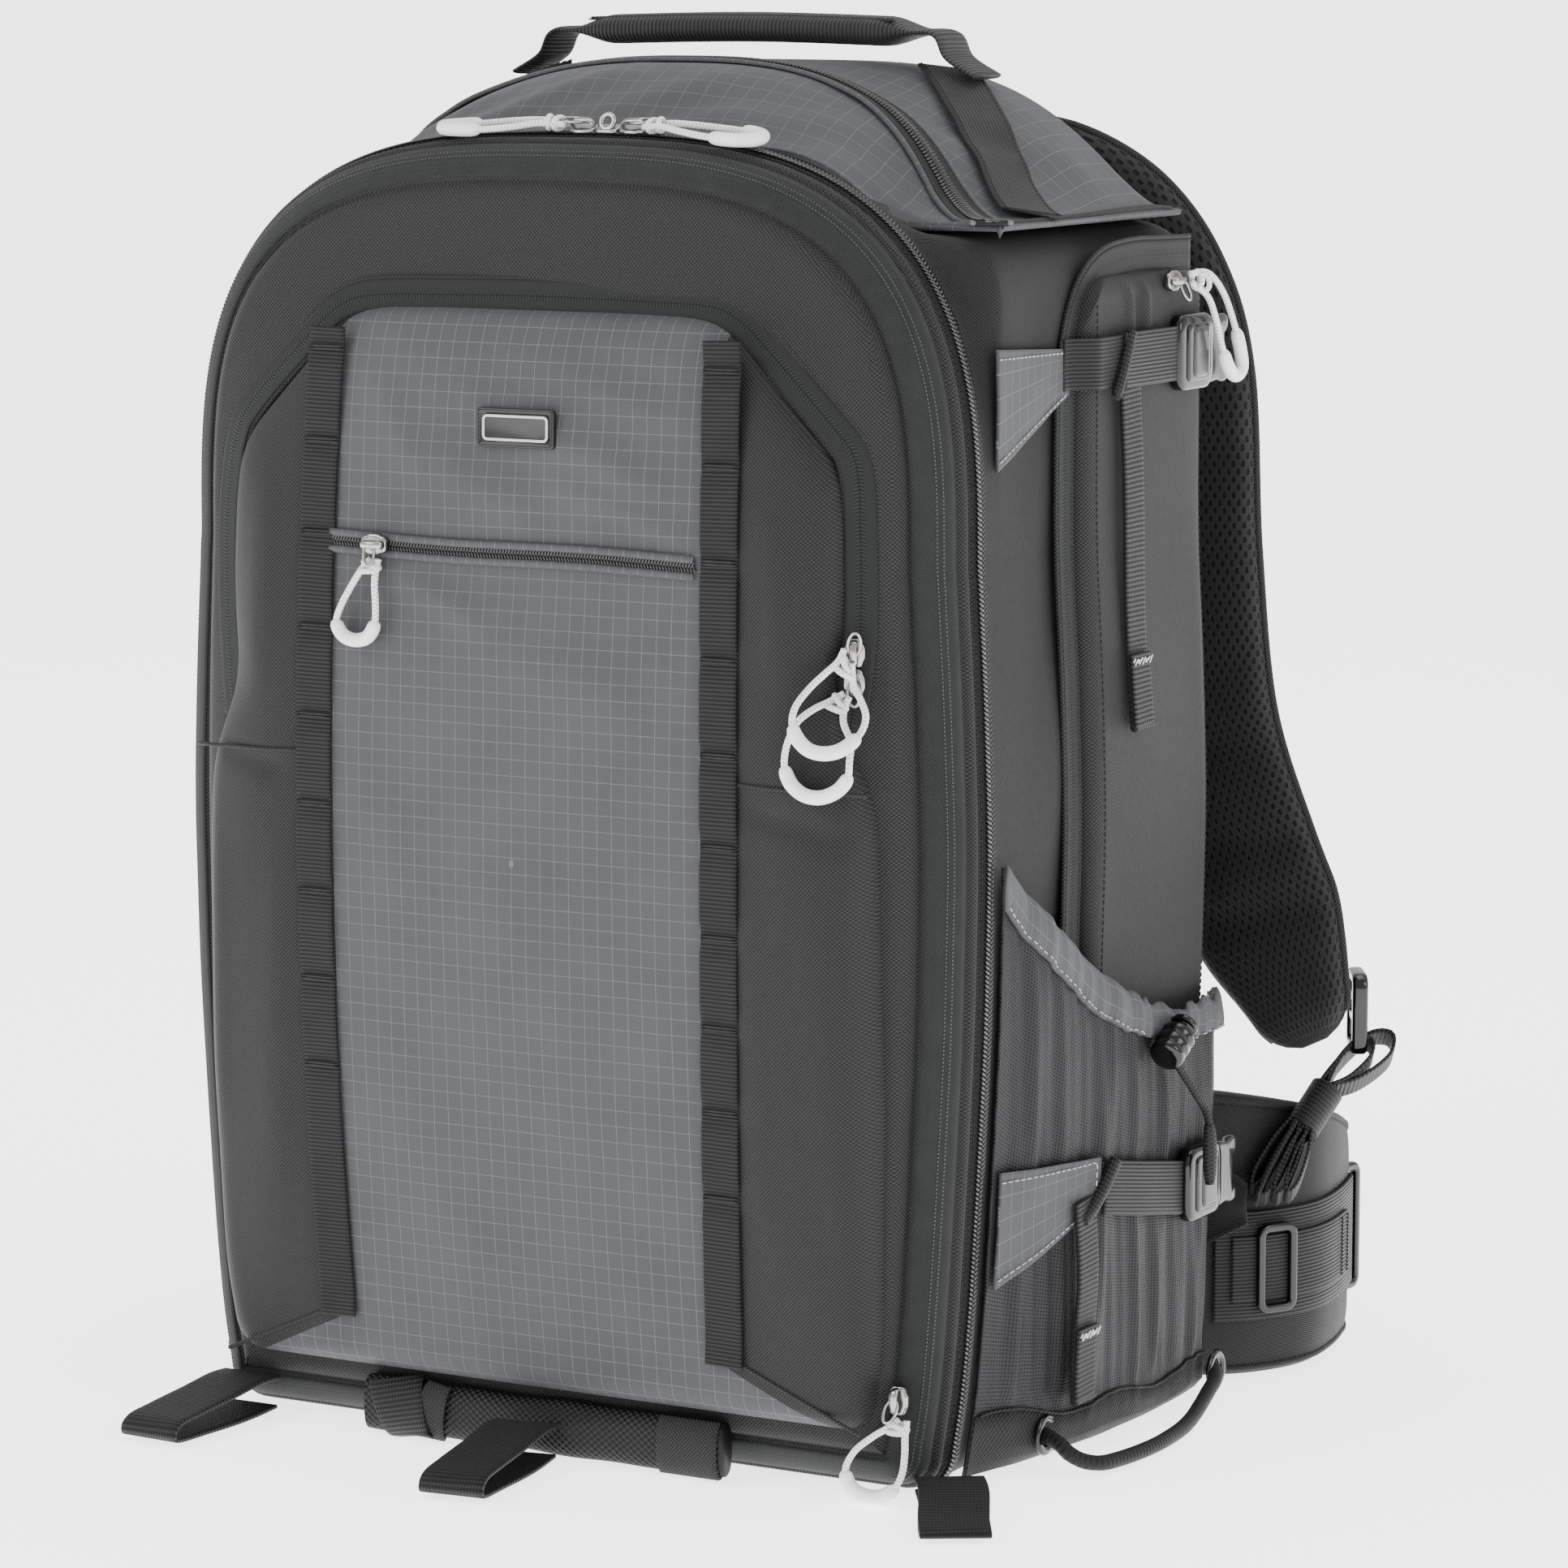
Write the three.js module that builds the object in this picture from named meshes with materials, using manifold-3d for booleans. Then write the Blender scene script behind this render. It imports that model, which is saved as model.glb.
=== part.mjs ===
// A camera backpack of 550 mm: a padded clamshell body with a raised front pocket, a domed top pocket,
// stretch bottle pockets, a carry handle, shoulder straps and a closed hip belt.
// Millimetres, +Z up. The front faces -Y. The origin is the middle of the base, on the floor.

import * as THREE from 'three';
import { mergeVertices } from 'three/addons/utils/BufferGeometryUtils.js';
import Module from 'manifold-3d';

const manifold = await Module();
manifold.setup();

// Main body
const clearance = 0.3;
const bodyHalfWidth = 174;
const archHeight = 504;
const archStart = 349;
const archRoundness = 2.95;
const roofHeight = 470;
const roofSquareness = 60;
const baseCorner = 16;
const bodyFront = -91.3;
const archBack = -88;
const roofFront = -76;
const bodyBack = 95;
const bodyWall = 8;
const backEdge = 12;

// Half width of the body up its sides, as shares of the arch's start height and of the half width
const sideRows = [
  { height: 0.0, half: 0.9 },
  { height: 0.07, half: 0.932 },
  { height: 0.18, half: 0.955 },
  { height: 0.34, half: 0.975 },
  { height: 0.5, half: 0.992 },
  { height: 0.7, half: 1.0 },
  { height: 0.86, half: 0.988 },
  { height: 1.0, half: 0.971 },
];

// Zip between body and front flap
const zipWidth = 6.8;
const zipDepth = 5;

// Front flap
const flapWall = 4;
const flapSide = 9;
const flapTape = 14;
const flapInset = 17;
const flapBulge = 16;

// Front pocket
const pocketHalfWidth = 148;
const pocketTop = 441;
const pocketBottom = 26;
const pocketRaise = 14;
const pocketWall = 2;
const pocketSeam = 0.8;

// Half outline of the front pocket, from its top middle round to its bottom middle,
// as shares of its half width and of its height
const pocketRows = [
  { half: 0, height: 1 },
  { half: 0.27, height: 1 },
  { half: 0.5, height: 0.998 },
  { half: 0.58, height: 0.988 },
  { half: 0.63, height: 0.968 },
  { half: 0.878, height: 0.874 },
  { half: 0.9, height: 0.83 },
  { half: 0.905, height: 0.74 },
  { half: 0.885, height: 0.65 },
  { half: 0.93, height: 0.615 },
  { half: 0.985, height: 0.57 },
  { half: 1, height: 0.3 },
  { half: 0.985, height: 0.08 },
  { half: 0.95, height: 0 },
  { half: 0.5, height: 0 },
  { half: 0, height: 0 },
];

// Webbing on the front pocket and the label
const daisyWidth = 16;
const daisyThickness = 1.6;
const daisyTop = 432;
const daisyBottom = 48;
const daisySpread = 86;
const daisyBow = 3;
const labelWidth = 34;
const labelHeight = 15;
const labelThickness = 1.6;
const labelPlace = { x: 1, z: 397 };

// Folded mesh pouch under the front pocket
const pouchHalfWidth = 80;
const pouchDepth = 11;
const pouchLow = 1.5;
const pouchHigh = 23;

// Domed top pocket
const domeHalfWidth = 166;
const domeHeight = 61;
const domeWall = 2;
const domeSeam = 0.8;
const domeFront = -85;
const domeShoulder = 80;
const domeSweep = 14;
const domeBack = 84;

// Carry handle and its yoke straps
const handleSpan = 92;
const handleY = 37;
const handleTop = 549;
const gripThickness = 12;
const gripWidth = 27;
const handleStrap = 24;
const handleStrapThickness = 3;
const yokeWidth = 24;
const yokeThickness = 1.6;
const yokeFoot = { x: 158, y: -34 };

// Raised side pockets
const sidePocket = { front: -20, back: 85, low: 140, high: 451, corner: 26 };
const sidePocketRaise = 7;
const sidePocketWall = 2;
const sidePocketStep = 45;

// Bottle pockets
const bottleFront = -88;
const bottleBack = 94;
const bottleBulge = 18;
const bottleWall = 2;
const bottleHemFront = 237;
const bottleHemBack = 162;

// How far the bottle pocket stands off along the body's depth, as shares of its depth and of its bulge
const bottleRows = [
  { along: 0.0, bulge: 0.0 },
  { along: 0.12, bulge: 0.42 },
  { along: 0.25, bulge: 0.7 },
  { along: 0.36, bulge: 0.88 },
  { along: 0.5, bulge: 1.0 },
  { along: 0.8, bulge: 1.0 },
  { along: 0.92, bulge: 0.9 },
  { along: 0.97, bulge: 0.6 },
  { along: 1.0, bulge: 0.0 },
];

// The bottle pocket from its floor up to its hem, as shares of the hem height and of the bulge
const bottleHeights = [
  { up: 0.022, bulge: 0.0 },
  { up: 0.018, bulge: 1.05 },
  { up: 0.05, bulge: 1.3 },
  { up: 0.15, bulge: 1.2 },
  { up: 0.45, bulge: 1.0 },
  { up: 0.8, bulge: 0.9 },
  { up: 1.0, bulge: 0.76 },
];

// Side compression straps, their tails, patches and buckles
const sideStrapWidth = 20;
const sideStrapThickness = 1.8;
const upperStrap = { height: 419, front: -21, back: 48 };
const lowerStrap = { height: 106, drop: 12, front: -27, back: 38 };
const strapTail = { upperY: 12, upperLow: 277, lowerY: -38, lowerLow: 24, width: 17 };
const sideBuckle = { long: 46, high: 30, thick: 7, window: 3.6 };
const patchThickness = 1.5;
const patchLong = 58;
const patchShort = 12;
const patchHigh = 44;

// Cord lock on the bottle pocket's hem
const lockRadius = 7;
const lockLength = 15;
const lockWall = 2;
const lockPlace = { y: 19, z: 154 };
const buttonStem = 3.6;
const buttonHead = 5.6;
const buttonHeadLength = 3;
const buttonTravel = 3;

// Padding on the back, shoulder straps and their webbing
const backPanel = { width: 262, low: 34, high: 434, thickness: 12, corner: 40 };
const shoulderWidth = 66;
const shoulderThickness = 15;
const ladderWidth = 26;
const ladderLength = 34;
const ladderThickness = 7;
const ladderTurn = 1.06;
const adjusterWidth = 20;
const adjusterThickness = 2;

// Hip belt
const hipThickness = 17;
const hipReach = 207;
const hipLow = 0.4;
const hipHigh = 118;
const hipEndHigh = 90;
const waistWidth = 38;
const waistThickness = 2.4;
const waistHeight = 46;
const waistBow = 56;
const waistBuckle = { long: 84, high: 50, thick: 11 };

// Webbing loops at the front edge of the base, and the drawcords near the floor
const loopWidth = 27;
const loopThickness = 1.8;
const loopReach = 66;
const loopHigh = 15;
const bungeeRadius = 3;

// Zip sliders and the cord of their pulls
const sliderLong = 11;
const sliderWide = 8;
const sliderThick = 5;
const pullRadius = 1.3;
const gripRadius = 3;

// Routes of the free cords, points chosen by hand
const cordRoutes = {
  pull_main_left: [
    [-5, -94, 508], [-14, -95, 509.4], [-24, -93.6, 509.4], [-36, -92.6, 508.6],
    [-47, -92.4, 507.6], [-55, -94.4, 507], [-58, -98.6, 506.6], [-56, -103, 506],
    [-48, -105.2, 505.8], [-37, -105, 506], [-26, -103, 507], [-16, -100.4, 508.4],
    [-5, -98, 508],
  ],
  pull_main_right: [
    [29, -94, 507.6], [38, -94.6, 509], [48, -93.4, 508.6], [59, -92.4, 507.6],
    [69, -92.4, 506.6], [77, -94.4, 505.4], [80, -98.6, 504.6], [78, -103, 503.8],
    [70, -105.2, 503.8], [59, -105, 504.8], [48, -103.4, 506.4], [38, -100.8, 508],
    [29, -98, 507.6],
  ],
  pull_pocket_upper: [
    [136.2, -137.9, 321.2], [135.2, -140.9, 317], [132.4, -145.9, 312.9], [128.9, -150.4, 308.2],
    [126.3, -156.1, 302.2], [125.9, -158.6, 296.5], [128.5, -159.6, 290.7], [134.1, -160.1, 286.6],
    [140.6, -158.6, 285.8], [145.9, -155.6, 287.8], [148.5, -148.4, 292.4], [148.9, -144.9, 298.1],
    [145.2, -141.9, 303.6], [141, -139.9, 308.9], [139.4, -138.1, 316.2],
  ],
  pull_pocket_lower: [
    [135.8, -137.2, 305], [131.7, -140.9, 302.2], [128.8, -147.4, 300], [125.1, -152.2, 296.1],
    [121.8, -152.2, 290.7], [119.6, -152.2, 284.4], [119.3, -152.2, 278.4], [122, -152.2, 272.5],
    [127.6, -152.2, 268.8], [134.6, -152.2, 268.5], [141.3, -152.2, 271.5], [145.4, -152.2, 276.5],
    [146.1, -152.2, 282.5], [144, -147.4, 288.9], [139.3, -143.9, 294.7], [137.2, -140, 299],
    [138.2, -137.8, 304],
  ],
  pull_front_pocket: [
    [-61.5, -148.6, 345.4], [-65, -150.2, 341], [-69.5, -151, 334], [-73.5, -151.4, 327],
    [-75.5, -151.4, 321], [-72.5, -151.4, 316], [-67, -151.4, 314.4], [-61.5, -151.4, 316],
    [-58.4, -151.4, 321], [-58, -151.2, 328], [-58.6, -150.8, 336], [-58.6, -149.6, 342],
    [-58.2, -148.6, 345.4],
  ],
  pull_base: [
    [152.3, -124, 32.4], [149, -125.5, 29.5], [143, -127, 25.5], [136, -128, 19.5],
    [132.5, -129, 12.5], [134.5, -129.6, 6.5], [140, -130, 3.6], [147, -130, 3.6],
    [153, -129.6, 7], [156, -128.6, 13], [156.5, -127.4, 20], [155.7, -125.6, 27],
    [155.6, -124, 32.4],
  ],
  pull_side: [
    [183, 54.8, 449.4], [186.2, 62, 450], [187.6, 69, 446.5], [188.6, 76, 439.5],
    [189, 83, 429.5], [189, 89, 419.5], [189, 91, 411.5], [188.6, 86, 408.5],
    [188.4, 79.5, 412.5], [188.2, 74, 421], [188, 69, 431], [186.8, 63.5, 440.5],
    [183.3, 55.6, 446.4],
  ],
  hem_cord: [
    [195.4, 22.4, 147.2], [196.6, 25.8, 142.6], [198, 29.6, 137.6], [199.4, 33.4, 132.4],
    [200.4, 37.5, 127.6], [201.8, 39, 123], [202.2, 40, 117], [202.2, 40.4, 110],
    [202.2, 40.6, 103], [202.2, 40.6, 96],
  ],
  bungee: [
    [176.1, -51, 13.4], [184, -54, 11.4], [189, -55, 8.2], [194, -52, 5.2],
    [198.5, -46, 3.8], [201, -36, 3.4], [203, -24, 3.4], [204, -10, 3.4],
    [203.5, 4, 3.4], [202, 18, 3.4], [199.5, 32, 3.9], [196.5, 46, 5.4],
    [193.5, 60, 7.6], [190.8, 72, 9.6], [186.2, 81, 11.4],
  ],
};
const pullGrip = { from: 0.34, to: 0.72 };
const hemTab = { from: 0.58, to: 1.0, radius: 3.6 };
const hemCordRadius = 1.5;

// Shared finishes
const clothBlack = { color: 0x1b1b1d, roughness: 0.85, metalness: 0 };
const clothGrey = { color: 0x4c4d52, roughness: 0.8, metalness: 0 };
const meshBlack = { color: 0x161518, roughness: 0.95, metalness: 0 };
const webBlack = { color: 0x121214, roughness: 0.8, metalness: 0 };
const plasticBlack = { color: 0x1a1b1d, roughness: 0.35, metalness: 0 };
const nickel = { color: 0xb9b9b6, roughness: 0.3, metalness: 1 };
const cordWhite = { color: 0xe6e6e4, roughness: 0.6, metalness: 0 };
const cordBlack = { color: 0x151517, roughness: 0.8, metalness: 0 };
const rubberBlack = { color: 0x0e0e0f, roughness: 0.5, metalness: 0 };
const zipBlack = { color: 0x202422, roughness: 0.5, metalness: 0 };

const backpack = new THREE.Group();

// Small numeric helpers
const clamp01 = (value) => Math.min(1, Math.max(0, value));
const smooth = (value) => clamp01(value) ** 2 * (3 - 2 * clamp01(value));
const mix = (a, b, share) => a + (b - a) * share;
const vec = (x, y, z) => new THREE.Vector3(x, y, z);

// Straight-line reading of a table: rows sorted by one column, read at a value, giving another column
function readTable(rows, byColumn, column, value) {
  const last = rows.length - 1;
  if (value <= rows[0][byColumn]) return rows[0][column];
  if (value >= rows[last][byColumn]) return rows[last][column];
  const next = rows.findIndex((row) => row[byColumn] >= value);
  const low = rows[next - 1];
  const high = rows[next];
  return mix(low[column], high[column], (value - low[byColumn]) / (high[byColumn] - low[byColumn]));
}

// One closed solid from points and triangles; all its faces are turned out together
function closedSolid(points, faces) {
  let volume = 0;
  for (const [a, b, c] of faces) {
    volume += points[a].dot(points[b].clone().cross(points[c])) / 6;
  }
  const turned = volume < 0 ? faces.map(([a, b, c]) => [a, c, b]) : faces;
  const geometry = new THREE.BufferGeometry();
  geometry.setAttribute('position', new THREE.Float32BufferAttribute(points.flatMap((p) => p.toArray()), 3));
  geometry.setIndex(turned.flat());
  return geometry;
}

// Skin over closed rings of equal length, capped by fans at both ends
function loftRings(rings) {
  const count = rings[0].length;
  const points = rings.flat();
  const faces = [];
  for (let row = 0; row < rings.length - 1; row += 1) {
    for (let i = 0; i < count; i += 1) {
      const a = row * count + i;
      const b = row * count + ((i + 1) % count);
      faces.push([a, b, b + count], [a, b + count, a + count]);
    }
  }
  const middle = (ring) => ring.reduce((sum, p) => sum.add(p), vec(0, 0, 0)).divideScalar(count);
  const first = points.push(middle(rings[0])) - 1;
  const last = points.push(middle(rings[rings.length - 1])) - 1;
  const lastRow = (rings.length - 1) * count;
  for (let i = 0; i < count; i += 1) {
    const next = (i + 1) % count;
    faces.push([first, next, i]);
    faces.push([last, lastRow + i, lastRow + next]);
  }
  return closedSolid(points, faces);
}

// Band whose rings close on each other, like a hoop with a wall
function loftBand(rings) {
  const count = rings[0].length;
  const points = rings.flat();
  const faces = [];
  for (let row = 0; row < rings.length; row += 1) {
    const nextRow = (row + 1) % rings.length;
    for (let i = 0; i < count; i += 1) {
      const next = (i + 1) % count;
      const a = row * count + i;
      const b = row * count + next;
      const c = nextRow * count + next;
      const d = nextRow * count + i;
      faces.push([a, b, c], [a, c, d]);
    }
  }
  return closedSolid(points, faces);
}

// Sheet with a wall: a surface of two shares from 0 to 1, thickened against its normal
function sheetSolid(surface, stepsU, stepsV, thickness) {
  const outer = [];
  const inner = [];
  const reach = 0.002;
  for (let i = 0; i <= stepsU; i += 1) {
    for (let j = 0; j <= stepsV; j += 1) {
      const u = i / stepsU;
      const v = j / stepsV;
      const point = surface(u, v);
      const alongU = surface(Math.min(1, u + reach), v).sub(surface(Math.max(0, u - reach), v));
      const alongV = surface(u, Math.min(1, v + reach)).sub(surface(u, Math.max(0, v - reach)));
      const normal = alongU.cross(alongV).normalize();
      outer.push(point);
      inner.push(point.clone().addScaledVector(normal, -thickness));
    }
  }
  const points = [...outer, ...inner];
  const size = outer.length;
  const at = (i, j) => i * (stepsV + 1) + j;
  const faces = [];
  for (let i = 0; i < stepsU; i += 1) {
    for (let j = 0; j < stepsV; j += 1) {
      const a = at(i, j);
      const b = at(i + 1, j);
      const c = at(i + 1, j + 1);
      const d = at(i, j + 1);
      faces.push([a, b, c], [a, c, d], [size + a, size + c, size + b], [size + a, size + d, size + c]);
    }
  }
  const wall = (a, b) => faces.push([b, a, size + a], [b, size + a, size + b]);
  for (let i = 0; i < stepsU; i += 1) {
    wall(at(i, 0), at(i + 1, 0));
    wall(at(i + 1, stepsV), at(i, stepsV));
  }
  for (let j = 0; j < stepsV; j += 1) {
    wall(at(0, j + 1), at(0, j));
    wall(at(stepsU, j), at(stepsU, j + 1));
  }
  return closedSolid(points, faces);
}

// Closed section carried along a path: half sizes across and through, round by an exponent
function carrySection(path, across, through, sides, roundness) {
  const rings = path.map((station) => {
    const ring = [];
    for (let i = 0; i < sides; i += 1) {
      const angle = ((i + 0.5) / sides) * Math.PI * 2;
      const round = (value) => Math.sign(value) * Math.abs(value) ** roundness;
      const scale = station.scale ?? 1;
      ring.push(station.at.clone()
        .addScaledVector(station.side, across * scale * round(Math.cos(angle)))
        .addScaledVector(station.face, (station.through ?? through) * round(Math.sin(angle))));
    }
    return ring;
  });
  return loftRings(rings);
}

// Stations along a smooth curve through points, each with its side and face directions
function stationsAlong(points, steps, face, extra = () => ({})) {
  const curve = new THREE.CatmullRomCurve3(points);
  const stations = [];
  for (let i = 0; i <= steps; i += 1) {
    const share = i / steps;
    const tangent = curve.getTangent(share);
    const side = tangent.clone().cross(face(share)).normalize();
    const square = side.clone().cross(tangent).normalize();
    stations.push({ at: curve.getPoint(share), side, face: square, ...extra(share) });
  }
  return stations;
}

// Flat plate from an outline, extruded and centred on its thickness
function plate(outline, holes, depth, bevel = 0) {
  const shape = new THREE.Shape(outline);
  shape.holes = holes.map((hole) => new THREE.Path(hole));
  const geometry = new THREE.ExtrudeGeometry(shape, {
    depth: depth - 2 * bevel,
    bevelEnabled: bevel > 0,
    bevelThickness: bevel,
    bevelSize: bevel,
    bevelOffset: -bevel,
    bevelSegments: 1,
    curveSegments: 5,
  });
  geometry.translate(0, 0, bevel - depth / 2);
  return geometry;
}

// Outline points of a rectangle with round corners
function roundRectangle(width, height, corner, steps = 3) {
  const points = [];
  const centres = [[1, 1, 0], [-1, 1, 1], [-1, -1, 2], [1, -1, 3]];
  for (const [sx, sy, quarter] of centres) {
    for (let i = 0; i <= steps; i += 1) {
      const angle = ((quarter + i / steps) * Math.PI) / 2;
      points.push(new THREE.Vector2(
        sx * (width / 2 - corner) + corner * Math.cos(angle),
        sy * (height / 2 - corner) + corner * Math.sin(angle),
      ));
    }
  }
  return points;
}

// The same outline with its long straight runs cut into shorter steps
function shortSteps(outline, longest) {
  return outline.flatMap((point, i) => {
    const next = outline[(i + 1) % outline.length];
    const count = Math.ceil(point.distanceTo(next) / longest);
    return Array.from({ length: count }, (_, step) => point.clone().lerp(next, step / count));
  });
}

// Tube along a route of points
function tubeAlong(points, radius, steps, sides, from = 0, to = 1) {
  const whole = new THREE.CatmullRomCurve3(points.map((p) => vec(...p)), false, 'centripetal');
  const cut = [];
  for (let i = 0; i <= steps; i += 1) cut.push(whole.getPointAt(mix(from, to, i / steps)));
  const circle = [];
  for (let i = 0; i < sides; i += 1) {
    const angle = (i / sides) * Math.PI * 2;
    circle.push(new THREE.Vector2(radius * Math.cos(angle), radius * Math.sin(angle)));
  }
  return new THREE.ExtrudeGeometry(new THREE.Shape(circle), {
    steps,
    bevelEnabled: false,
    extrudePath: new THREE.CatmullRomCurve3(cut, false, 'centripetal'),
  });
}

// Solids joined, cut or kept in common
function toSolid(geometry) {
  const bare = geometry.clone();
  bare.deleteAttribute('normal');
  bare.deleteAttribute('uv');
  const merged = mergeVertices(bare, 1e-4);
  return new manifold.Manifold(new manifold.Mesh({
    numProp: 3,
    vertProperties: new Float32Array(merged.attributes.position.array),
    triVerts: new Uint32Array(merged.index.array),
  }));
}

function toGeometry(solid) {
  const mesh = solid.getMesh();
  const geometry = new THREE.BufferGeometry();
  geometry.setAttribute('position', new THREE.BufferAttribute(new Float32Array(mesh.vertProperties), 3));
  geometry.setIndex(new THREE.BufferAttribute(new Uint32Array(mesh.triVerts), 1));
  return geometry;
}

const joined = (...geometries) => toGeometry(geometries.map(toSolid).reduce((sum, next) => sum.add(next)));

// The same shape on the other side of the pack
function mirrored(geometry) {
  const bare = geometry.clone();
  bare.deleteAttribute('normal');
  bare.deleteAttribute('uv');
  const merged = mergeVertices(bare, 1e-4);
  const points = [];
  const place = merged.attributes.position;
  for (let i = 0; i < place.count; i += 1) points.push(vec(-place.getX(i), place.getY(i), place.getZ(i)));
  const faces = [];
  for (let i = 0; i < merged.index.count; i += 3) {
    faces.push([merged.index.getX(i), merged.index.getX(i + 1), merged.index.getX(i + 2)]);
  }
  return closedSolid(points, faces);
}

function addPiece(name, geometry, finish) {
  const mesh = new THREE.Mesh(geometry, new THREE.MeshStandardMaterial(finish));
  mesh.name = name;
  backpack.add(mesh);
}

function addPair(name, geometry, finish) {
  addPiece(`${name}_right`, geometry, finish);
  addPiece(`${name}_left`, mirrored(geometry), finish);
}

// Half width of the body at a height on its side
function sideHalf(z) {
  return bodyHalfWidth * readTable(sideRows, 'height', 'half', z / archStart);
}

// How far the front arch has turned into the square roof, from 0 at the zip to 1
const squareShare = (y) => smooth((y - archBack) / (roofFront - archBack));
const crestAt = (y) => mix(archHeight, roofHeight, squareShare(y));
const roundnessAt = (y) => archRoundness * (roofSquareness / archRoundness) ** squareShare(y);

// Height of the body's top over a place
function bodyTop(x, y) {
  const share = clamp01(Math.abs(x) / sideHalf(archStart));
  return archStart + (crestAt(y) - archStart) * (1 - share ** roundnessAt(y)) ** (1 / roundnessAt(y));
}

// Outline of the body across its depth: base, round base corners, sides, then the arch or roof
function bodyOutline(y) {
  const half = [];
  const baseHalf = sideHalf(baseCorner);
  half.push([0.45 * baseHalf, 0]);
  for (const angle of [0, 30, 60, 90]) {
    const turn = (angle * Math.PI) / 180;
    half.push([baseHalf - baseCorner * (1 - Math.sin(turn)), baseCorner * (1 - Math.cos(turn))]);
  }
  for (const row of sideRows.slice(1, -1)) half.push([row.half * bodyHalfWidth, row.height * archStart]);
  const width = sideHalf(archStart);
  const rise = crestAt(y) - archStart;
  const power = roundnessAt(y);
  for (const angle of [0, 13, 25, 33, 38, 46, 57, 72]) {
    const turn = (angle * Math.PI) / 180;
    const reach = ((Math.cos(turn) / width) ** power + (Math.sin(turn) / rise) ** power) ** (-1 / power);
    half.push([reach * Math.cos(turn), archStart + reach * Math.sin(turn)]);
  }
  const other = half.map(([x, z]) => [-x, z]).reverse();
  return [...half, [0, crestAt(y)], ...other];
}

// An outline drawn in towards the body's middle by a distance, and set at a depth
const bodyMiddle = archHeight / 2;
function drawnIn(outline, distance, depth) {
  return outline.map(([x, z]) => {
    const px = x * (1 - distance / bodyHalfWidth);
    const pz = bodyMiddle + (z - bodyMiddle) * (1 - distance / bodyMiddle);
    return vec(px, typeof depth === 'function' ? depth(px, pz) : depth, pz);
  });
}

// Face of the flap: a shallow pillow
const flapEdge = bodyFront - 2 * clearance - zipWidth;
const flapRim = flapEdge - flapSide - flapTape + 3;
function flapFace(x, z) {
  const acrossShare = clamp01(Math.abs(x) / (bodyHalfWidth - flapInset + 3));
  const upShare = clamp01(Math.abs(z - bodyMiddle + 7) / bodyMiddle);
  return flapRim - flapBulge * (1 - acrossShare ** 9) * (1 - upShare ** 2);
}

// Face of the front pocket, in front of the flap
const pocketFace = (x, z) => flapFace(x, z) - pocketRaise;

// Side wall of the body above the archStart, where pockets and straps lie
const sideWall = (z) => (z < archStart ? sideHalf(z) : sideHalf(archStart));

// Padded body shell, open at the front
function bodyShell() {
  const depths = [bodyFront, archBack, mix(archBack, roofFront, 0.35), mix(archBack, roofFront, 0.7), roofFront];
  const outer = [
    drawnIn(bodyOutline(bodyBack), backEdge, bodyBack),
    drawnIn(bodyOutline(bodyBack), backEdge * 0.3, bodyBack - backEdge * 0.3),
    drawnIn(bodyOutline(bodyBack), 0, bodyBack - backEdge),
    ...depths.slice().reverse().map((y) => drawnIn(bodyOutline(y), 0, y)),
  ];
  const inner = [
    ...[bodyFront, archBack, roofFront].map((y) => drawnIn(bodyOutline(y), bodyWall, y)),
    drawnIn(bodyOutline(bodyBack), bodyWall + 1, bodyBack - backEdge),
    drawnIn(bodyOutline(bodyBack), bodyWall + 5, bodyBack - bodyWall),
  ];
  return loftRings([...outer, ...inner]);
}

// Zip ring between shell and flap
function zipRing() {
  const outline = bodyOutline(bodyFront);
  const back = bodyFront - clearance;
  const front = back - zipWidth;
  return loftBand([
    drawnIn(outline, 0, back),
    drawnIn(outline, 0, front),
    drawnIn(outline, zipDepth, front),
    drawnIn(outline, zipDepth, back),
  ]);
}

// Front flap: a lid with taped edges, open to the back
function frontFlap() {
  const outline = bodyOutline(bodyFront);
  const shoulder = flapEdge - flapSide;
  const innerFace = (x, z) => flapFace(x, z) + flapWall;
  return loftRings([
    drawnIn(outline, 90, flapFace),
    drawnIn(outline, 40, flapFace),
    drawnIn(outline, flapInset, flapFace),
    drawnIn(outline, 8, flapRim + 4.5),
    drawnIn(outline, 2, shoulder),
    drawnIn(outline, 0, flapEdge),
    drawnIn(outline, flapWall, flapEdge),
    drawnIn(outline, flapWall + 2, shoulder),
    drawnIn(outline, flapWall + 9, flapRim + 6.5),
    drawnIn(outline, flapInset + 4, innerFace),
    drawnIn(outline, 40, innerFace),
    drawnIn(outline, 90, innerFace),
  ]);
}

// Outline of the front pocket drawn in by a distance
const pocketMiddle = (pocketTop + pocketBottom) / 2;
function pocketOutline(distance, depth) {
  const half = pocketRows.map((row) => [row.half * pocketHalfWidth, mix(pocketBottom, pocketTop, row.height)]);
  const other = half.slice(1, -1).map(([x, z]) => [-x, z]).reverse();
  return [...half, ...other].map(([x, z]) => {
    const px = x * (1 - distance / pocketHalfWidth);
    const pz = pocketMiddle + (z - pocketMiddle) * (1 - distance / (pocketMiddle - pocketBottom));
    return vec(px, depth(px, pz), pz);
  });
}

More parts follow.
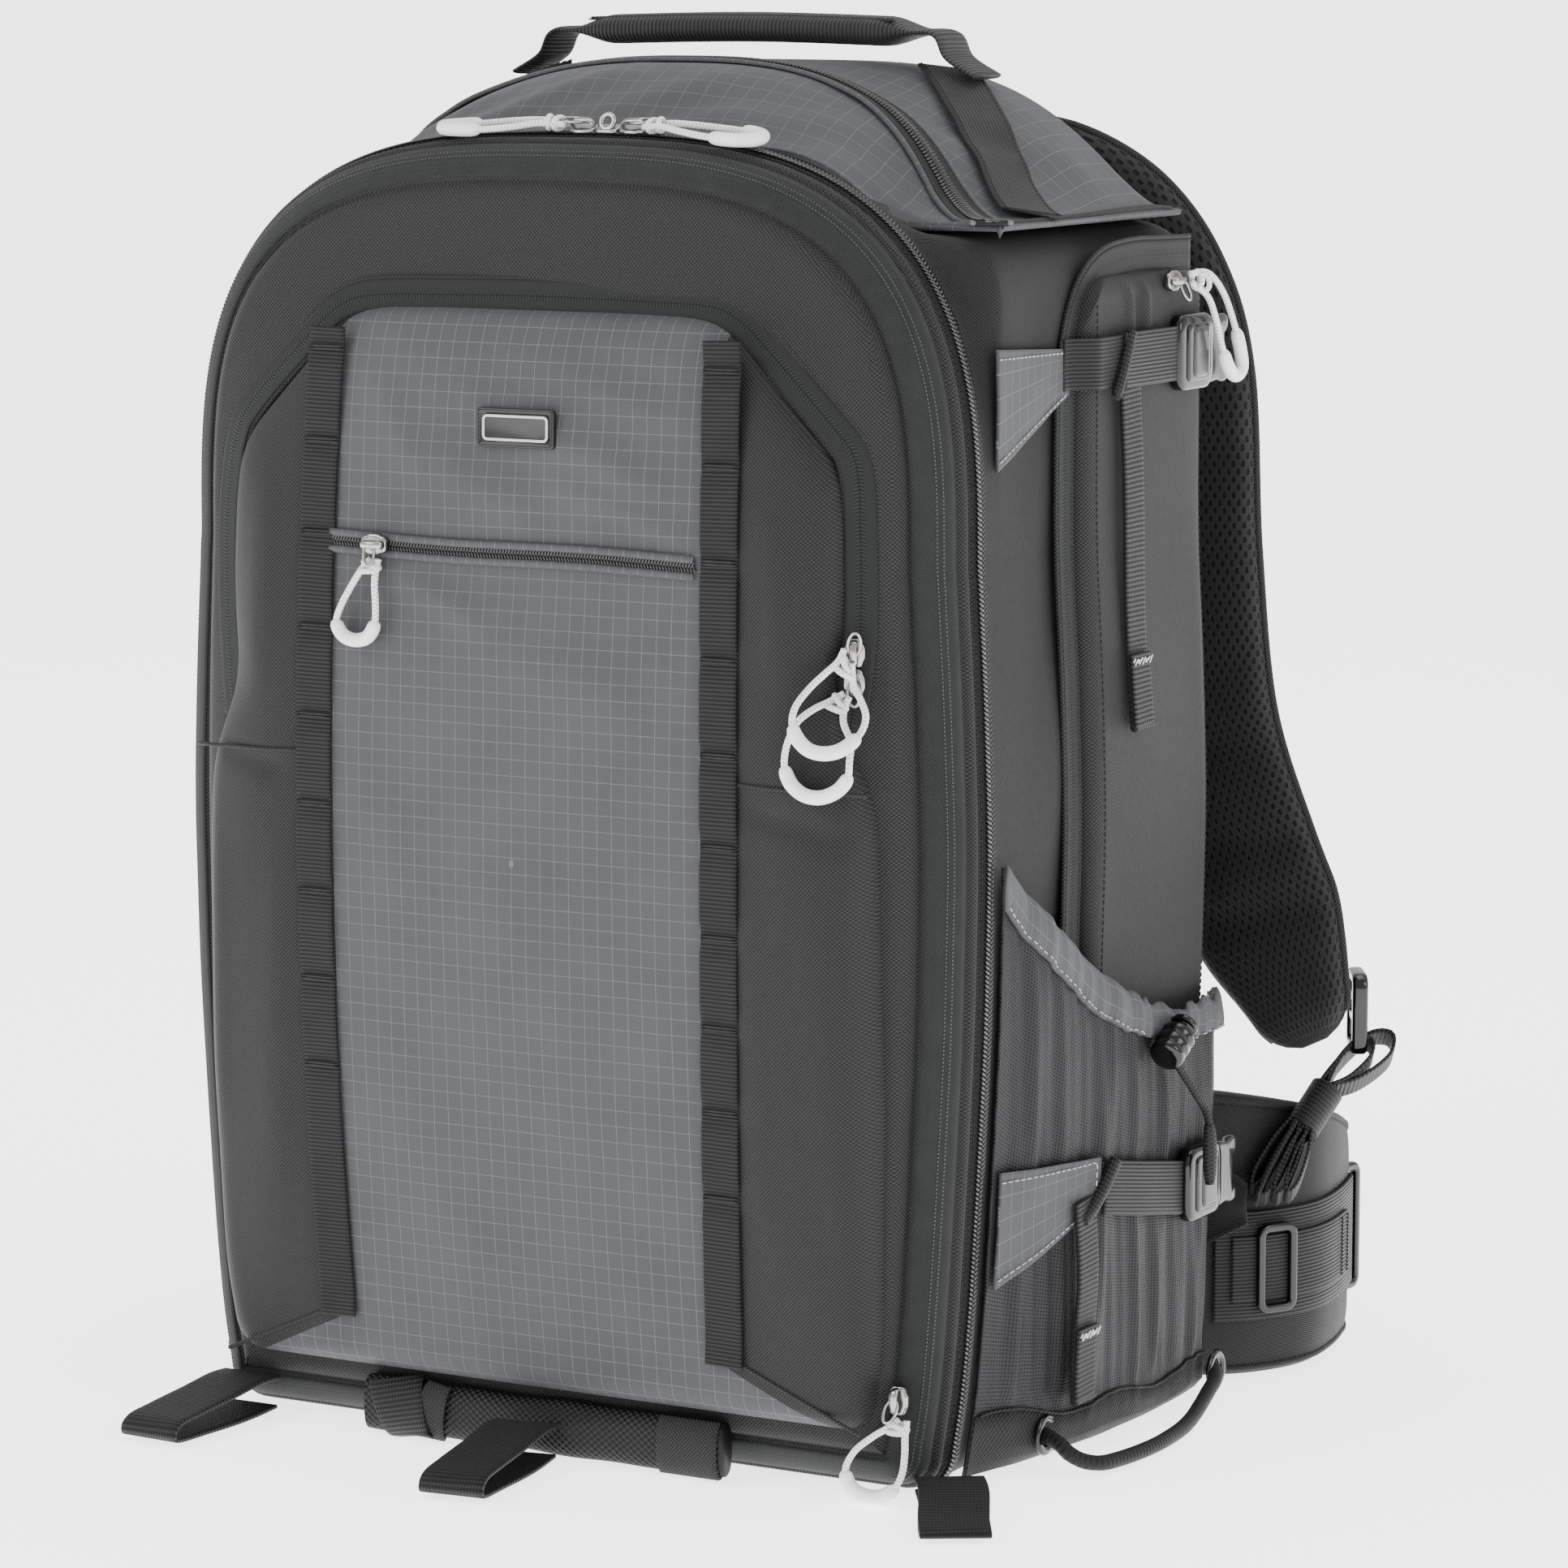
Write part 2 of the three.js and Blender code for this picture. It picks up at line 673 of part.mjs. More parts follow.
function frontPocket() {
  const raised = (share) => (x, z) => flapFace(x, z) - pocketSeam - share * (pocketRaise - pocketSeam);
  const inside = (share) => (x, z) => raised(share)(x, z) + pocketWall;
  return loftRings([
    pocketOutline(70, raised(1)),
    pocketOutline(22, raised(1)),
    pocketOutline(8, raised(0.9)),
    pocketOutline(1.5, raised(0.5)),
    pocketOutline(0, raised(0)),
    pocketOutline(pocketWall, raised(0)),
    pocketOutline(pocketWall + 3, inside(0.5)),
    pocketOutline(10, inside(0.9)),
    pocketOutline(24, inside(1)),
    pocketOutline(70, inside(1)),
  ]);
}

// Webbing strip up the front pocket
function daisyChain(side) {
  const middle = (v) => side * (daisySpread + daisyBow * Math.sin(Math.PI * v));
  const surface = (u, v) => {
    const x = middle(v) + (u - 0.5) * daisyWidth;
    const z = mix(daisyBottom, daisyTop, v);
    return vec(x, pocketFace(x, z) - clearance - 0.3 - daisyThickness, z);
  };
  return sheetSolid(surface, 1, 12, daisyThickness);
}

function labelPatch() {
  const surface = (u, v) => {
    const x = labelPlace.x + (u - 0.5) * labelWidth;
    const z = labelPlace.z + (v - 0.5) * labelHeight;
    return vec(x, pocketFace(x, z) - clearance - 0.2 - labelThickness, z);
  };
  return sheetSolid(surface, 2, 1, labelThickness);
}

// Folded pouch: a flattened roll under the front pocket
function tripodPouch() {
  const stations = [];
  const count = 10;
  for (let i = 0; i <= count; i += 1) {
    const x = mix(-pouchHalfWidth, pouchHalfWidth, i / count);
    const middle = (pouchLow + pouchHigh) / 2;
    const depth = flapFace(x, middle) - clearance - pouchDepth / 2;
    stations.push({ at: vec(x, depth, middle), side: vec(0, 0, 1), face: vec(0, -1, 0) });
  }
  return carrySection(stations, (pouchHigh - pouchLow) / 2, pouchDepth / 2, 10, 0.75);
}

// Top of the domed pocket over a place
function domeTop(x, y) {
  const backShare = smooth((y + 15) / 60);
  const power = mix(2.7, 4.1, backShare);
  const fall = mix(1.5, 1.3, backShare);
  const share = clamp01(Math.abs(x) / domeHalfWidth);
  const foot = domeSeam + domeWall;
  return roofHeight + foot + (domeHeight - foot) * (1 - share ** power) ** fall;
}

// Front edge of the dome: on the zip in the middle, swept back to the side seams
function domeFrontEdge(x) {
  return domeFront + domeSweep * smooth((Math.abs(x) - domeShoulder) / (domeHalfWidth - domeShoulder));
}

function topPocket() {
  const surface = (u, v) => {
    const x = domeHalfWidth * Math.sin((u - 0.5) * Math.PI);
    const front = domeFrontEdge(x);
    const y = mix(front, domeBack, v);
    const rise = smooth((y - front) / 62);
    const fall = 1 - smooth((y - domeBack + 24) / 24);
    const rim = Math.max(bodyTop(x, front), roofHeight) + domeSeam + domeWall;
    const back = roofHeight + domeSeam + domeWall;
    const bulge = mix(rim, domeTop(x, y), rise);
    return vec(x, y, mix(back, bulge, fall));
  };
  return sheetSolid(surface, 14, 10, domeWall);
}

// Carry handle: webbing legs that swell into a padded grip
function carryHandle() {
  const foot = domeTop(handleSpan, handleY) + clearance + 1.2 + yokeThickness + handleStrapThickness / 2;
  const gripMiddle = handleTop - gripThickness / 2;
  const points = [
    vec(-handleSpan - 12, handleY, foot - 4),
    vec(-handleSpan, handleY, foot + 3),
    vec(-handleSpan + 6, handleY, foot + 12),
    vec(-handleSpan + 22, handleY, gripMiddle - 1.5),
    vec(0, handleY, gripMiddle),
    vec(handleSpan - 22, handleY, gripMiddle - 1.5),
    vec(handleSpan - 6, handleY, foot + 12),
    vec(handleSpan, handleY, foot + 3),
    vec(handleSpan + 12, handleY, foot - 4),
  ];
  const swell = (share) => smooth((0.5 - Math.abs(share - 0.5) - 0.15) / 0.06);
  const stations = stationsAlong(points, 18, () => vec(0, 0, 1), (share) => ({
    through: mix(handleStrapThickness, gripThickness, swell(share)) / 2,
    scale: mix(handleStrap, gripWidth, swell(share)) / gripWidth,
  })).map((station) => {
    const tangent = vec(0, 1, 0);
    return { ...station, side: tangent };
  });
  return carrySection(stations, gripWidth / 2, gripThickness / 2, 8, 0.6);
}

// Yoke strap from the handle's foot down to the side seam
function yokeStrap() {
  const surface = (u, v) => {
    const across = (v - 0.5) * yokeWidth;
    const along = vec(yokeFoot.x - handleSpan + 4, yokeFoot.y - handleY, 0);
    const sideways = vec(-along.y, along.x, 0).normalize();
    const x = handleSpan - 4 + along.x * u + sideways.x * across;
    const y = handleY + along.y * u + sideways.y * across;
    return vec(x, y, domeTop(x, y) + 1 + clearance + yokeThickness);
  };
  return sheetSolid(surface, 8, 2, yokeThickness);
}

// Raised side pocket: outline in depth and height, lifted off the side wall
function sidePocketShell() {
  const { front, back, low, high, corner } = sidePocket;
  const outline = shortSteps(roundRectangle(back - front, high - low, corner, 2), sidePocketStep);
  const middleY = (front + back) / 2;
  const middleZ = (low + high) / 2;
  const ring = (distance, lift) => outline.map((p) => {
    const y = middleY + p.x * (1 - distance / ((back - front) / 2));
    const z = middleZ + p.y * (1 - distance / ((high - low) / 2));
    return vec(sideWall(z) + 2 * clearance + lift, y, z);
  });
  return loftRings([
    ring(30, sidePocketRaise),
    ring(10, sidePocketRaise),
    ring(2.5, sidePocketRaise * 0.7),
    ring(0, 0.2),
    ring(sidePocketWall, 0.2),
    ring(sidePocketWall + 3, sidePocketRaise * 0.7 - sidePocketWall),
    ring(13, sidePocketRaise - sidePocketWall),
    ring(30, sidePocketRaise - sidePocketWall),
  ]);
}

// Outside of the bottle pocket at a depth and a share of its height
function bottleHem(y) {
  const share = clamp01((y - bottleFront) / (bottleBack - bottleFront));
  return mix(bottleHemFront, bottleHemBack, Math.sin((Math.min(share / 0.78, 1) * Math.PI) / 2) ** 0.9);
}
function bottleX(y, z) {
  const along = readTable(bottleRows, 'along', 'bulge', (y - bottleFront) / (bottleBack - bottleFront));
  const up = readTable(bottleHeights.slice(1), 'up', 'bulge', z / bottleHem(y));
  return sideWall(z) + clearance + bottleWall + 0.2 + bottleBulge * along * up;
}
function bottlePocket() {
  const surface = (u, v) => {
    const y = mix(bottleFront, bottleBack, u);
    const step = v * (bottleHeights.length - 1);
    const index = Math.min(bottleHeights.length - 2, Math.floor(step));
    const low = bottleHeights[index];
    const high = bottleHeights[index + 1];
    const up = mix(low.up, high.up, step - index);
    const bulgeUp = mix(low.bulge, high.bulge, step - index);
    const along = readTable(bottleRows, 'along', 'bulge', u);
    const z = up * bottleHem(y);
    return vec(sideWall(z) + clearance + bottleWall + 0.2 + bottleBulge * along * bulgeUp, y, z);
  };
  return sheetSolid(surface, 12, 7, bottleWall);
}

// Compression straps: webbing standing a little off what lies beneath it
function upperStrapBand() {
  const surface = (u, v) => {
    const y = mix(upperStrap.front, upperStrap.back, u);
    const z = upperStrap.height + (v - 0.5) * sideStrapWidth;
    const climb = (sidePocketRaise + 0.8) * smooth((y - upperStrap.front + 3) / 5);
    return vec(sideWall(z) + 2 * clearance + climb + sideStrapThickness, y, z);
  };
  return sheetSolid(surface, 12, 1, sideStrapThickness);
}
const lowerStrapHeight = (y) => lowerStrap.height
  - lowerStrap.drop * clamp01((y - lowerStrap.front) / (lowerStrap.back - lowerStrap.front));
const lowerStrapX = (y, z) => bottleX(y, z) + 2 * clearance + 0.4 + sideStrapThickness;
function lowerStrapBand() {
  const surface = (u, v) => {
    const y = mix(lowerStrap.front, lowerStrap.back, u);
    const z = lowerStrapHeight(y) + (v - 0.5) * sideStrapWidth;
    return vec(lowerStrapX(y, lowerStrapHeight(y)), y, z);
  };
  return sheetSolid(surface, 10, 1, sideStrapThickness);
}

// Loose tail that hangs from a strap
function tailBand(middleY, top, low, faceX) {
  const surface = (u, v) => {
    const y = middleY + (u - 0.5) * strapTail.width;
    const z = mix(low, top, v);
    return vec(faceX(z) + sideStrapThickness, y, z);
  };
  return sheetSolid(surface, 1, 6, sideStrapThickness);
}

// Cloth patch sewn at the root of a strap: an outline in depth and height
function clothPatch(frontY, top, faceX) {
  const surface = (u, v) => {
    const y = frontY + u * patchLong;
    const depth = mix(patchHigh, patchShort + 10, u);
    const z = top - (1 - v) * depth - 3 * u;
    return vec(faceX(y, z) + patchThickness, y, z);
  };
  return sheetSolid(surface, 5, 3, patchThickness);
}

// Fastened buckle of a side strap: a body with a window at each end
function buckleBody({ long, high, thick, window }) {
  const slot = (x) => roundRectangle(window, high * 0.66, 1, 1).map((p) => new THREE.Vector2(p.x + x, p.y)).reverse();
  return plate(roundRectangle(long, high, 4, 2), [slot(-long / 2 + 7), slot(long / 2 - 7)], thick);
}

// Cord lock: a barrel with a bore for its sprung button
function lockBarrel() {
  const profile = [
    new THREE.Vector2(0, 0),
    new THREE.Vector2(lockRadius - 1, 0),
    new THREE.Vector2(lockRadius, 1),
    new THREE.Vector2(lockRadius, lockLength - 1),
    new THREE.Vector2(lockRadius - 1, lockLength),
    new THREE.Vector2(buttonStem + clearance + 0.2, lockLength),
    new THREE.Vector2(buttonStem + clearance + 0.2, lockWall + buttonTravel),
    new THREE.Vector2(0, lockWall + buttonTravel),
  ];
  return new THREE.LatheGeometry(profile, 10);
}
function lockButton() {
  const start = lockWall + buttonTravel + buttonTravel + clearance;
  const neck = lockLength + buttonTravel + clearance;
  const profile = [
    new THREE.Vector2(0, start),
    new THREE.Vector2(buttonStem, start),
    new THREE.Vector2(buttonStem, neck),
    new THREE.Vector2(buttonHead - 0.6, neck),
    new THREE.Vector2(buttonHead, neck + 0.6),
    new THREE.Vector2(buttonHead, neck + buttonHeadLength - 0.6),
    new THREE.Vector2(buttonHead - 0.8, neck + buttonHeadLength),
    new THREE.Vector2(0, neck + buttonHeadLength),
  ];
  return new THREE.LatheGeometry(profile, 10);
}

// Padded back panel
function backPad() {
  const { width, low, high, thickness, corner } = backPanel;
  const geometry = plate(roundRectangle(width, high - low, corner, 3), [], thickness, 3);
  geometry.rotateX(Math.PI / 2);
  geometry.translate(0, bodyBack + clearance + thickness / 2, (low + high) / 2);
  return geometry;
}

// Shoulder strap: a foam band from the top of the back panel down and out to its ladder lock
const shoulderRoute = [
  vec(64, 96.5 + shoulderThickness / 2, 440),
  vec(68, 112 + shoulderThickness / 2, 462),
  vec(84, 126, 474),
  vec(104, 141, 462),
  vec(122, 149, 436),
  vec(132, 152, 400),
  vec(136, 152, 330),
  vec(145, 150, 262),
  vec(166, 146, 208),
  vec(190, 141, 162),
  vec(203, 138, 136),
];
function shoulderStrap() {
  const stations = stationsAlong(shoulderRoute, 17, (share) => vec(0, 1, mix(0.5, 0, smooth(share / 0.25))),
    (share) => ({ scale: 1 - 0.42 * smooth((share - 0.86) / 0.14) }));
  return carrySection(stations, shoulderWidth / 2, shoulderThickness / 2, 8, 0.5);
}

// Ladder lock at the strap's tip
const strapTip = shoulderRoute[shoulderRoute.length - 1];
const ladderAt = vec(strapTip.x + 10, strapTip.y + shoulderThickness / 2 + 12.5, strapTip.z + 11);
function ladderLock() {
  const slot = (y) => roundRectangle(adjusterWidth + 1, 4, 1, 1)
    .map((p) => new THREE.Vector2(p.x, p.y + y)).reverse();
  const geometry = plate(roundRectangle(ladderWidth, ladderLength, 4, 2), [slot(-8.5), slot(8.5)], ladderThickness);
  geometry.rotateX(Math.PI / 2);
  geometry.rotateZ(-ladderTurn);
  return geometry;
}

// Triangular wing sewn to the lower back corner, which takes the adjuster webbing
const wing = { root: vec(150, 95.4, 0), tip: vec(189, 104, 74), low: 44, high: 112, thickness: 2.4 };
function strapWing() {
  const surface = (u, v) => {
    const z = mix(mix(wing.low, wing.high, v), mix(wing.tip.z - 8, wing.tip.z + 8, v), u);
    return vec(mix(wing.root.x, wing.tip.x, u), mix(wing.root.y, wing.tip.y, u), z);
  };
  return sheetSolid(surface, 5, 4, wing.thickness);
}

// Adjuster webbing with its spare length folded into a tied bundle
function adjusterStrap() {
  const top = vec(ladderAt.x, ladderAt.y, ladderAt.z - ladderLength / 2 - 6.8);
  const foot = vec(wing.tip.x + 4, wing.tip.y + 7, wing.tip.z + 2);
  const outside = vec(6, -2, 0);
  const points = [top, top.clone().lerp(foot, 0.35).add(outside), top.clone().lerp(foot, 0.7).add(outside), foot];
  const stations = stationsAlong(points, 10, () => vec(0.9, 0.4, 0), (share) => ({
    through: mix(adjusterThickness / 2, 8, Math.sin(Math.PI * clamp01(share * 1.1)) ** 2),
    scale: mix(1, 0.9, Math.sin(Math.PI * share)),
  }));
  return carrySection(stations, adjusterWidth / 2, adjusterThickness / 2, 8, 0.7);
}

// Hip pad: a foam wing that stands on the floor beside the back
const hipRoute = [
  { along: 0.0, x: 165, y: 109.3 },
  { along: 0.2, x: 181, y: 124 },
  { along: 0.45, x: 191, y: 146 },
  { along: 0.7, x: 190, y: 172 },
  { along: 1.0, x: 182, y: 207 },
];
const hipX = (share) => readTable(hipRoute, 'along', 'x', share);
const hipRouteEnd = hipRoute[hipRoute.length - 1].y;
const hipY = (share) => readTable(hipRoute, 'along', 'y', share) + (hipReach - hipRouteEnd) * share;
function hipPad() {
  const count = 12;
  const rings = [];
  for (let i = 0; i <= count; i += 1) {
    const share = i / count;
    const end = Math.sqrt(1 - clamp01((share - 0.9) / 0.1) ** 2 * 0.75);
    const top = mix(hipHigh, hipEndHigh, share) * mix(0.9, 1, end);
    const low = hipLow;
    const thick = (hipThickness / 2) * end;
    const before = Math.max(0, share - 0.02);
    const after = Math.min(1, share + 0.02);
    const outward = vec(hipY(after) - hipY(before), -(hipX(after) - hipX(before)), 0).normalize();
    const ring = [];
    const corner = 7;
    const section = [[1, low + corner], [1, top - corner], [0.6, top - 2], [0, top], [-0.6, top - 2],
      [-1, top - corner], [-1, low + corner], [-0.6, low + 1.5], [0, low], [0.6, low + 1.5]];
    for (const [out, z] of section) {
      ring.push(vec(hipX(share) + outward.x * out * thick, hipY(share) + outward.y * out * thick, z));
    }
    rings.push(ring);
  }
  return loftRings(rings);
}

// Waist webbing: from one pad's end round behind the pack to the other, broken by the buckle
function waistBand() {
  const startX = hipX(1) + 1;
  const surface = (u, v) => {
    const angle = u * Math.PI;
    const x = startX * Math.cos(angle);
    const y = hipReach + 2 * clearance + waistBow * Math.sin(angle) ** 0.8;
    return vec(x, y, waistHeight + (v - 0.5) * waistWidth);
  };
  return sheetSolid(surface, 24, 1, waistThickness);
}
function waistBuckleBody() {
  const { long, high, thick } = waistBuckle;
  const geometry = plate(roundRectangle(long, high, 8), [], thick, 2);
  geometry.rotateX(Math.PI / 2);
  geometry.translate(0, hipReach + 3 * clearance + waistBow + thick / 2, waistHeight);
  return geometry;
}

// Webbing loop: out from the base seam, round, and back under itself
function webbingLoop(root, direction, high) {
  const side = vec(-direction.y, direction.x, 0).normalize();
  const profile = [
    { along: 0.0, up: high },
    { along: 0.25, up: high * 0.97 },
    { along: 0.5, up: high * 0.78 },
    { along: 0.75, up: high * 0.6 },
    { along: 0.94, up: high * 0.5 },
    { along: 1.0, up: high * 0.27 },
    { along: 0.94, up: clearance },
    { along: 0.6, up: clearance },
    { along: 0.3, up: 2 * clearance },
    { along: 0.04, up: 4 * clearance },
  ];
  const surface = (u, v) => {
    const step = u * (profile.length - 1);
    const index = Math.min(profile.length - 2, Math.floor(step));
    const along = mix(profile[index].along, profile[index + 1].along, step - index) * loopReach;
    const up = mix(profile[index].up, profile[index + 1].up, step - index);
    return root.clone()
      .addScaledVector(direction, along)
      .addScaledVector(side, (v - 0.5) * loopWidth)
      .add(vec(0, 0, up));
  };
  return sheetSolid(surface, 9, 1, loopThickness);
}

// Zip sliders: bridges over the coil, up to three in a row
function sliderBody(count) {
  return plate(roundRectangle(sliderLong * count, sliderWide, 2.4, 1), [], sliderThick, 0.8);
}

// Pull cord with its moulded grip
function pullCord(route) {
  const cord = tubeAlong(route, pullRadius, 12, 8);
  const grip = tubeAlong(route, gripRadius, 5, 8, pullGrip.from, pullGrip.to);
  return joined(cord, grip);
}

// Body, zip and front
addPiece('bag_shell', bodyShell(), clothBlack);
addPiece('main_zip', zipRing(), zipBlack);
addPiece('front_flap', frontFlap(), clothBlack);
addPiece('front_pocket', frontPocket(), clothGrey);
addPiece('daisy_chain_right', daisyChain(1), webBlack);
addPiece('daisy_chain_left', daisyChain(-1), webBlack);
addPiece('label_patch', labelPatch(), rubberBlack);
addPiece('tripod_pouch', tripodPouch(), meshBlack);

// Top
addPiece('top_pocket', topPocket(), clothGrey);
addPiece('carry_handle', carryHandle(), webBlack);
addPair('yoke_strap', yokeStrap(), webBlack);

// Sides
addPair('side_pocket', sidePocketShell(), clothBlack);
addPair('bottle_pocket', bottlePocket(), meshBlack);
addPair('upper_strap', upperStrapBand(), webBlack);
addPair('lower_strap', lowerStrapBand(), webBlack);

const upperTailX = (z) => sideWall(z) + 3 * clearance + sidePocketRaise + 0.6 + sideStrapThickness;
addPiece('upper_strap_tail', tailBand(strapTail.upperY, upperStrap.height + sideStrapWidth / 2,
  strapTail.upperLow, upperTailX), webBlack);
const lowerTailTop = lowerStrapHeight(strapTail.lowerY) + sideStrapWidth / 2;
const lowerTailX = (z) => Math.max(bottleX(strapTail.lowerY + 8.5, z), bottleX(strapTail.lowerY + 8.5, 62))
  + 3.3 * clearance + patchThickness;
addPiece('lower_strap_tail', tailBand(strapTail.lowerY, lowerTailTop, strapTail.lowerLow, lowerTailX), webBlack);

const upperPatchX = (y, z) => sideWall(z) + clearance;
addPiece('upper_patch', clothPatch(bottleFront + 6, upperStrap.height + 9, upperPatchX), clothGrey);
const lowerPatchX = (y, z) => bottleX(y, z) + 2 * clearance;
addPiece('lower_patch', clothPatch(bottleFront + 2, 120, lowerPatchX), clothGrey);

const upperBuckle = buckleBody(sideBuckle);
upperBuckle.rotateX(Math.PI / 2);
upperBuckle.rotateZ(Math.PI / 2);
const upperBuckleX = sideWall(archStart) + sidePocketRaise + sideBuckle.thick / 2 + 4 * clearance;
upperBuckle.translate(upperBuckleX, upperStrap.back + clearance + sideBuckle.long / 2, upperStrap.height);
addPiece('upper_buckle', upperBuckle, plasticBlack);

const lowerBuckle = buckleBody(sideBuckle);
lowerBuckle.rotateX(Math.PI / 2);
lowerBuckle.rotateZ(Math.PI / 2);
const lowerBuckleY = lowerStrap.back + clearance + sideBuckle.long / 2;
const lowerBuckleZ = lowerStrapHeight(lowerStrap.back);
const lowerBuckleX = bottleX(0, 75) + sideBuckle.thick / 2 + 6 * clearance;
lowerBuckle.translate(lowerBuckleX, lowerBuckleY, lowerBuckleZ);
addPiece('lower_buckle', lowerBuckle, plasticBlack);

// Cord lock, its button and the cord that leaves it
const lockGroup = new THREE.Group();
lockGroup.position.set(bottleX(lockPlace.y, lockPlace.z - 14) + lockRadius - clearance,
  lockPlace.y, lockPlace.z);
lockGroup.rotation.set(-Math.PI / 3, 0, 0);
backpack.add(lockGroup);
for (const [name, geometry] of [['cord_lock', lockBarrel()], ['cord_lock_button', lockButton()]]) {
  geometry.translate(0, -lockLength / 2, 0);
  geometry.rotateX(Math.PI / 2);
  const mesh = new THREE.Mesh(geometry, new THREE.MeshStandardMaterial(plasticBlack));
  mesh.name = name;
  lockGroup.add(mesh);
}
addPiece('hem_cord', joined(
  tubeAlong(cordRoutes.hem_cord, hemCordRadius, 8, 8),
  tubeAlong(cordRoutes.hem_cord, hemTab.radius, 4, 8, hemTab.from, hemTab.to),
), cordBlack);

// Back, shoulder straps and hip belt
addPiece('back_panel', backPad(), meshBlack);
addPair('shoulder_strap', shoulderStrap(), meshBlack);
const ladder = ladderLock();
ladder.translate(ladderAt.x, ladderAt.y, ladderAt.z);
addPair('ladder_lock', ladder, plasticBlack);
addPair('strap_wing', strapWing(), clothBlack);
addPair('adjuster_strap', adjusterStrap(), webBlack);
addPair('hip_pad', hipPad(), clothBlack);
addPiece('waist_webbing', waistBand(), webBlack);
addPiece('waist_buckle', waistBuckleBody(), plasticBlack);

// Loops and drawcord at the base
const baseFront = flapRim - 3;
const pouchFront = flapFace(0, pouchLow) - pouchDepth - 3.6;
addPiece('loop_centre', webbingLoop(vec(-4, pouchFront, 0), vec(0.12, -0.993, 0), loopHigh), webBlack);
addPiece('loop_right', webbingLoop(vec(162.6, baseFront + 18.6, 0), vec(0.5, -0.866, 0), loopHigh / 2), webBlack);
addPiece('loop_left', webbingLoop(vec(-140, baseFront + 1.8, 0), vec(-0.05, -0.999, 0), loopHigh), webBlack);
const bungee = tubeAlong(cordRoutes.bungee, bungeeRadius, 12, 8);
addPair('bungee', bungee, cordBlack);

// Sliders and pulls
function addSlider(name, count, at, turn) {
  const geometry = sliderBody(count);
  geometry.rotateX(turn.x ?? 0);
  geometry.rotateY(turn.y ?? 0);
  geometry.rotateZ(turn.z ?? 0);
  geometry.translate(...at);
  addPiece(name, geometry, nickel);
}
const quarter = Math.PI / 2;
const onFace = sliderThick / 2 + clearance;
addSlider('main_sliders', 3, [12, bodyFront - clearance - zipWidth / 2, bodyTop(12, bodyFront) + onFace], {});
addSlider('front_sliders', 2, [138, flapFace(134, 304) - onFace, 314], { x: quarter, y: quarter });
addSlider('pocket_slider', 1, [-60, pocketFace(-60, 351) - onFace - clearance, 351], { x: quarter });
addSlider('base_slider', 1, [151.5, flapFace(151.5, 39.5) - onFace - clearance, 39.5], { x: quarter, y: quarter });
const sideSliderX = sideWall(archStart) + clearance + sidePocketRaise + onFace;
addSlider('side_slider', 1, [sideSliderX, 50, sidePocket.high - sliderWide / 2], { x: quarter, z: quarter });
for (const name of ['pull_main_left', 'pull_main_right', 'pull_pocket_upper', 'pull_pocket_lower',
  'pull_front_pocket', 'pull_base', 'pull_side']) {
  addPiece(name, pullCord(cordRoutes[name]), cordWhite);
}

export default backpack;
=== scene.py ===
import bpy
import numpy as np
from mathutils import Matrix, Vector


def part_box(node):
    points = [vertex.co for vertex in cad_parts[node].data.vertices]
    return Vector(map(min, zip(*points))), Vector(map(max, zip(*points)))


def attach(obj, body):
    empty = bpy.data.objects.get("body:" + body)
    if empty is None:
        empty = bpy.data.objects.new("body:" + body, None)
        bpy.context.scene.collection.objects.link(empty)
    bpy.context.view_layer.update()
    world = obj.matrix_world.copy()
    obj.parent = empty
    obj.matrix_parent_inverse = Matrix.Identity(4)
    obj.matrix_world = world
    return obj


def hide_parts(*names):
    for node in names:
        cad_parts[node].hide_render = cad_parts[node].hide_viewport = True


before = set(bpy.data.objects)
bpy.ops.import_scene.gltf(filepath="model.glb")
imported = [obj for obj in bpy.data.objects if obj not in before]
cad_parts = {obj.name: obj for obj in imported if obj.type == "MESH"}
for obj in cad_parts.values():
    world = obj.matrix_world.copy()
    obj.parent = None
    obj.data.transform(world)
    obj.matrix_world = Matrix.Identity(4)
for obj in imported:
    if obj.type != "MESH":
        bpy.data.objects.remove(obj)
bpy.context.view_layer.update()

# Studio: the camera of the photograph, a pale floor and soft light.
# The camera stands about 2.4 m off, turned 29 degrees to the pack's right and a little above it.
camera_place = (1.1410, -1.9959, 0.5761)
camera_right = (0.8746, 0.4848, 0.0)
camera_up = (-0.0691, 0.1247, 0.9898)
camera_back = (0.4799, -0.8657, 0.1426)
camera_data = bpy.data.cameras.new("photo_camera")
camera_data.lens = 134.16
camera_data.sensor_width = 36.0
camera_data.clip_end = 300.0
camera = bpy.data.objects.new("photo_camera", camera_data)
turn = Matrix((camera_right, camera_up, camera_back)).transposed()
camera.matrix_world = Matrix.Translation(camera_place) @ turn.to_4x4()
bpy.context.scene.collection.objects.link(camera)
bpy.context.scene.camera = camera

floor_mesh = bpy.data.meshes.new("studio_floor")
floor_mesh.from_pydata([(-90, -90, -0.0006), (90, -90, -0.0006), (90, 90, -0.0006), (-90, 90, -0.0006)],
                       [], [(0, 1, 2, 3)])
floor_material = bpy.data.materials.new("studio_floor")
floor_material.use_nodes = True
floor_shader = floor_material.node_tree.nodes["Principled BSDF"]
floor_shader.inputs["Base Color"].default_value = (0.93, 0.93, 0.93, 1)
floor_shader.inputs["Roughness"].default_value = 0.9
floor_shader.inputs["Emission Color"].default_value = (1, 1, 1, 1)
floor_shader.inputs["Emission Strength"].default_value = 2.6
floor_mesh.materials.append(floor_material)
studio_floor = bpy.data.objects.new("studio_floor", floor_mesh)
bpy.context.scene.collection.objects.link(studio_floor)

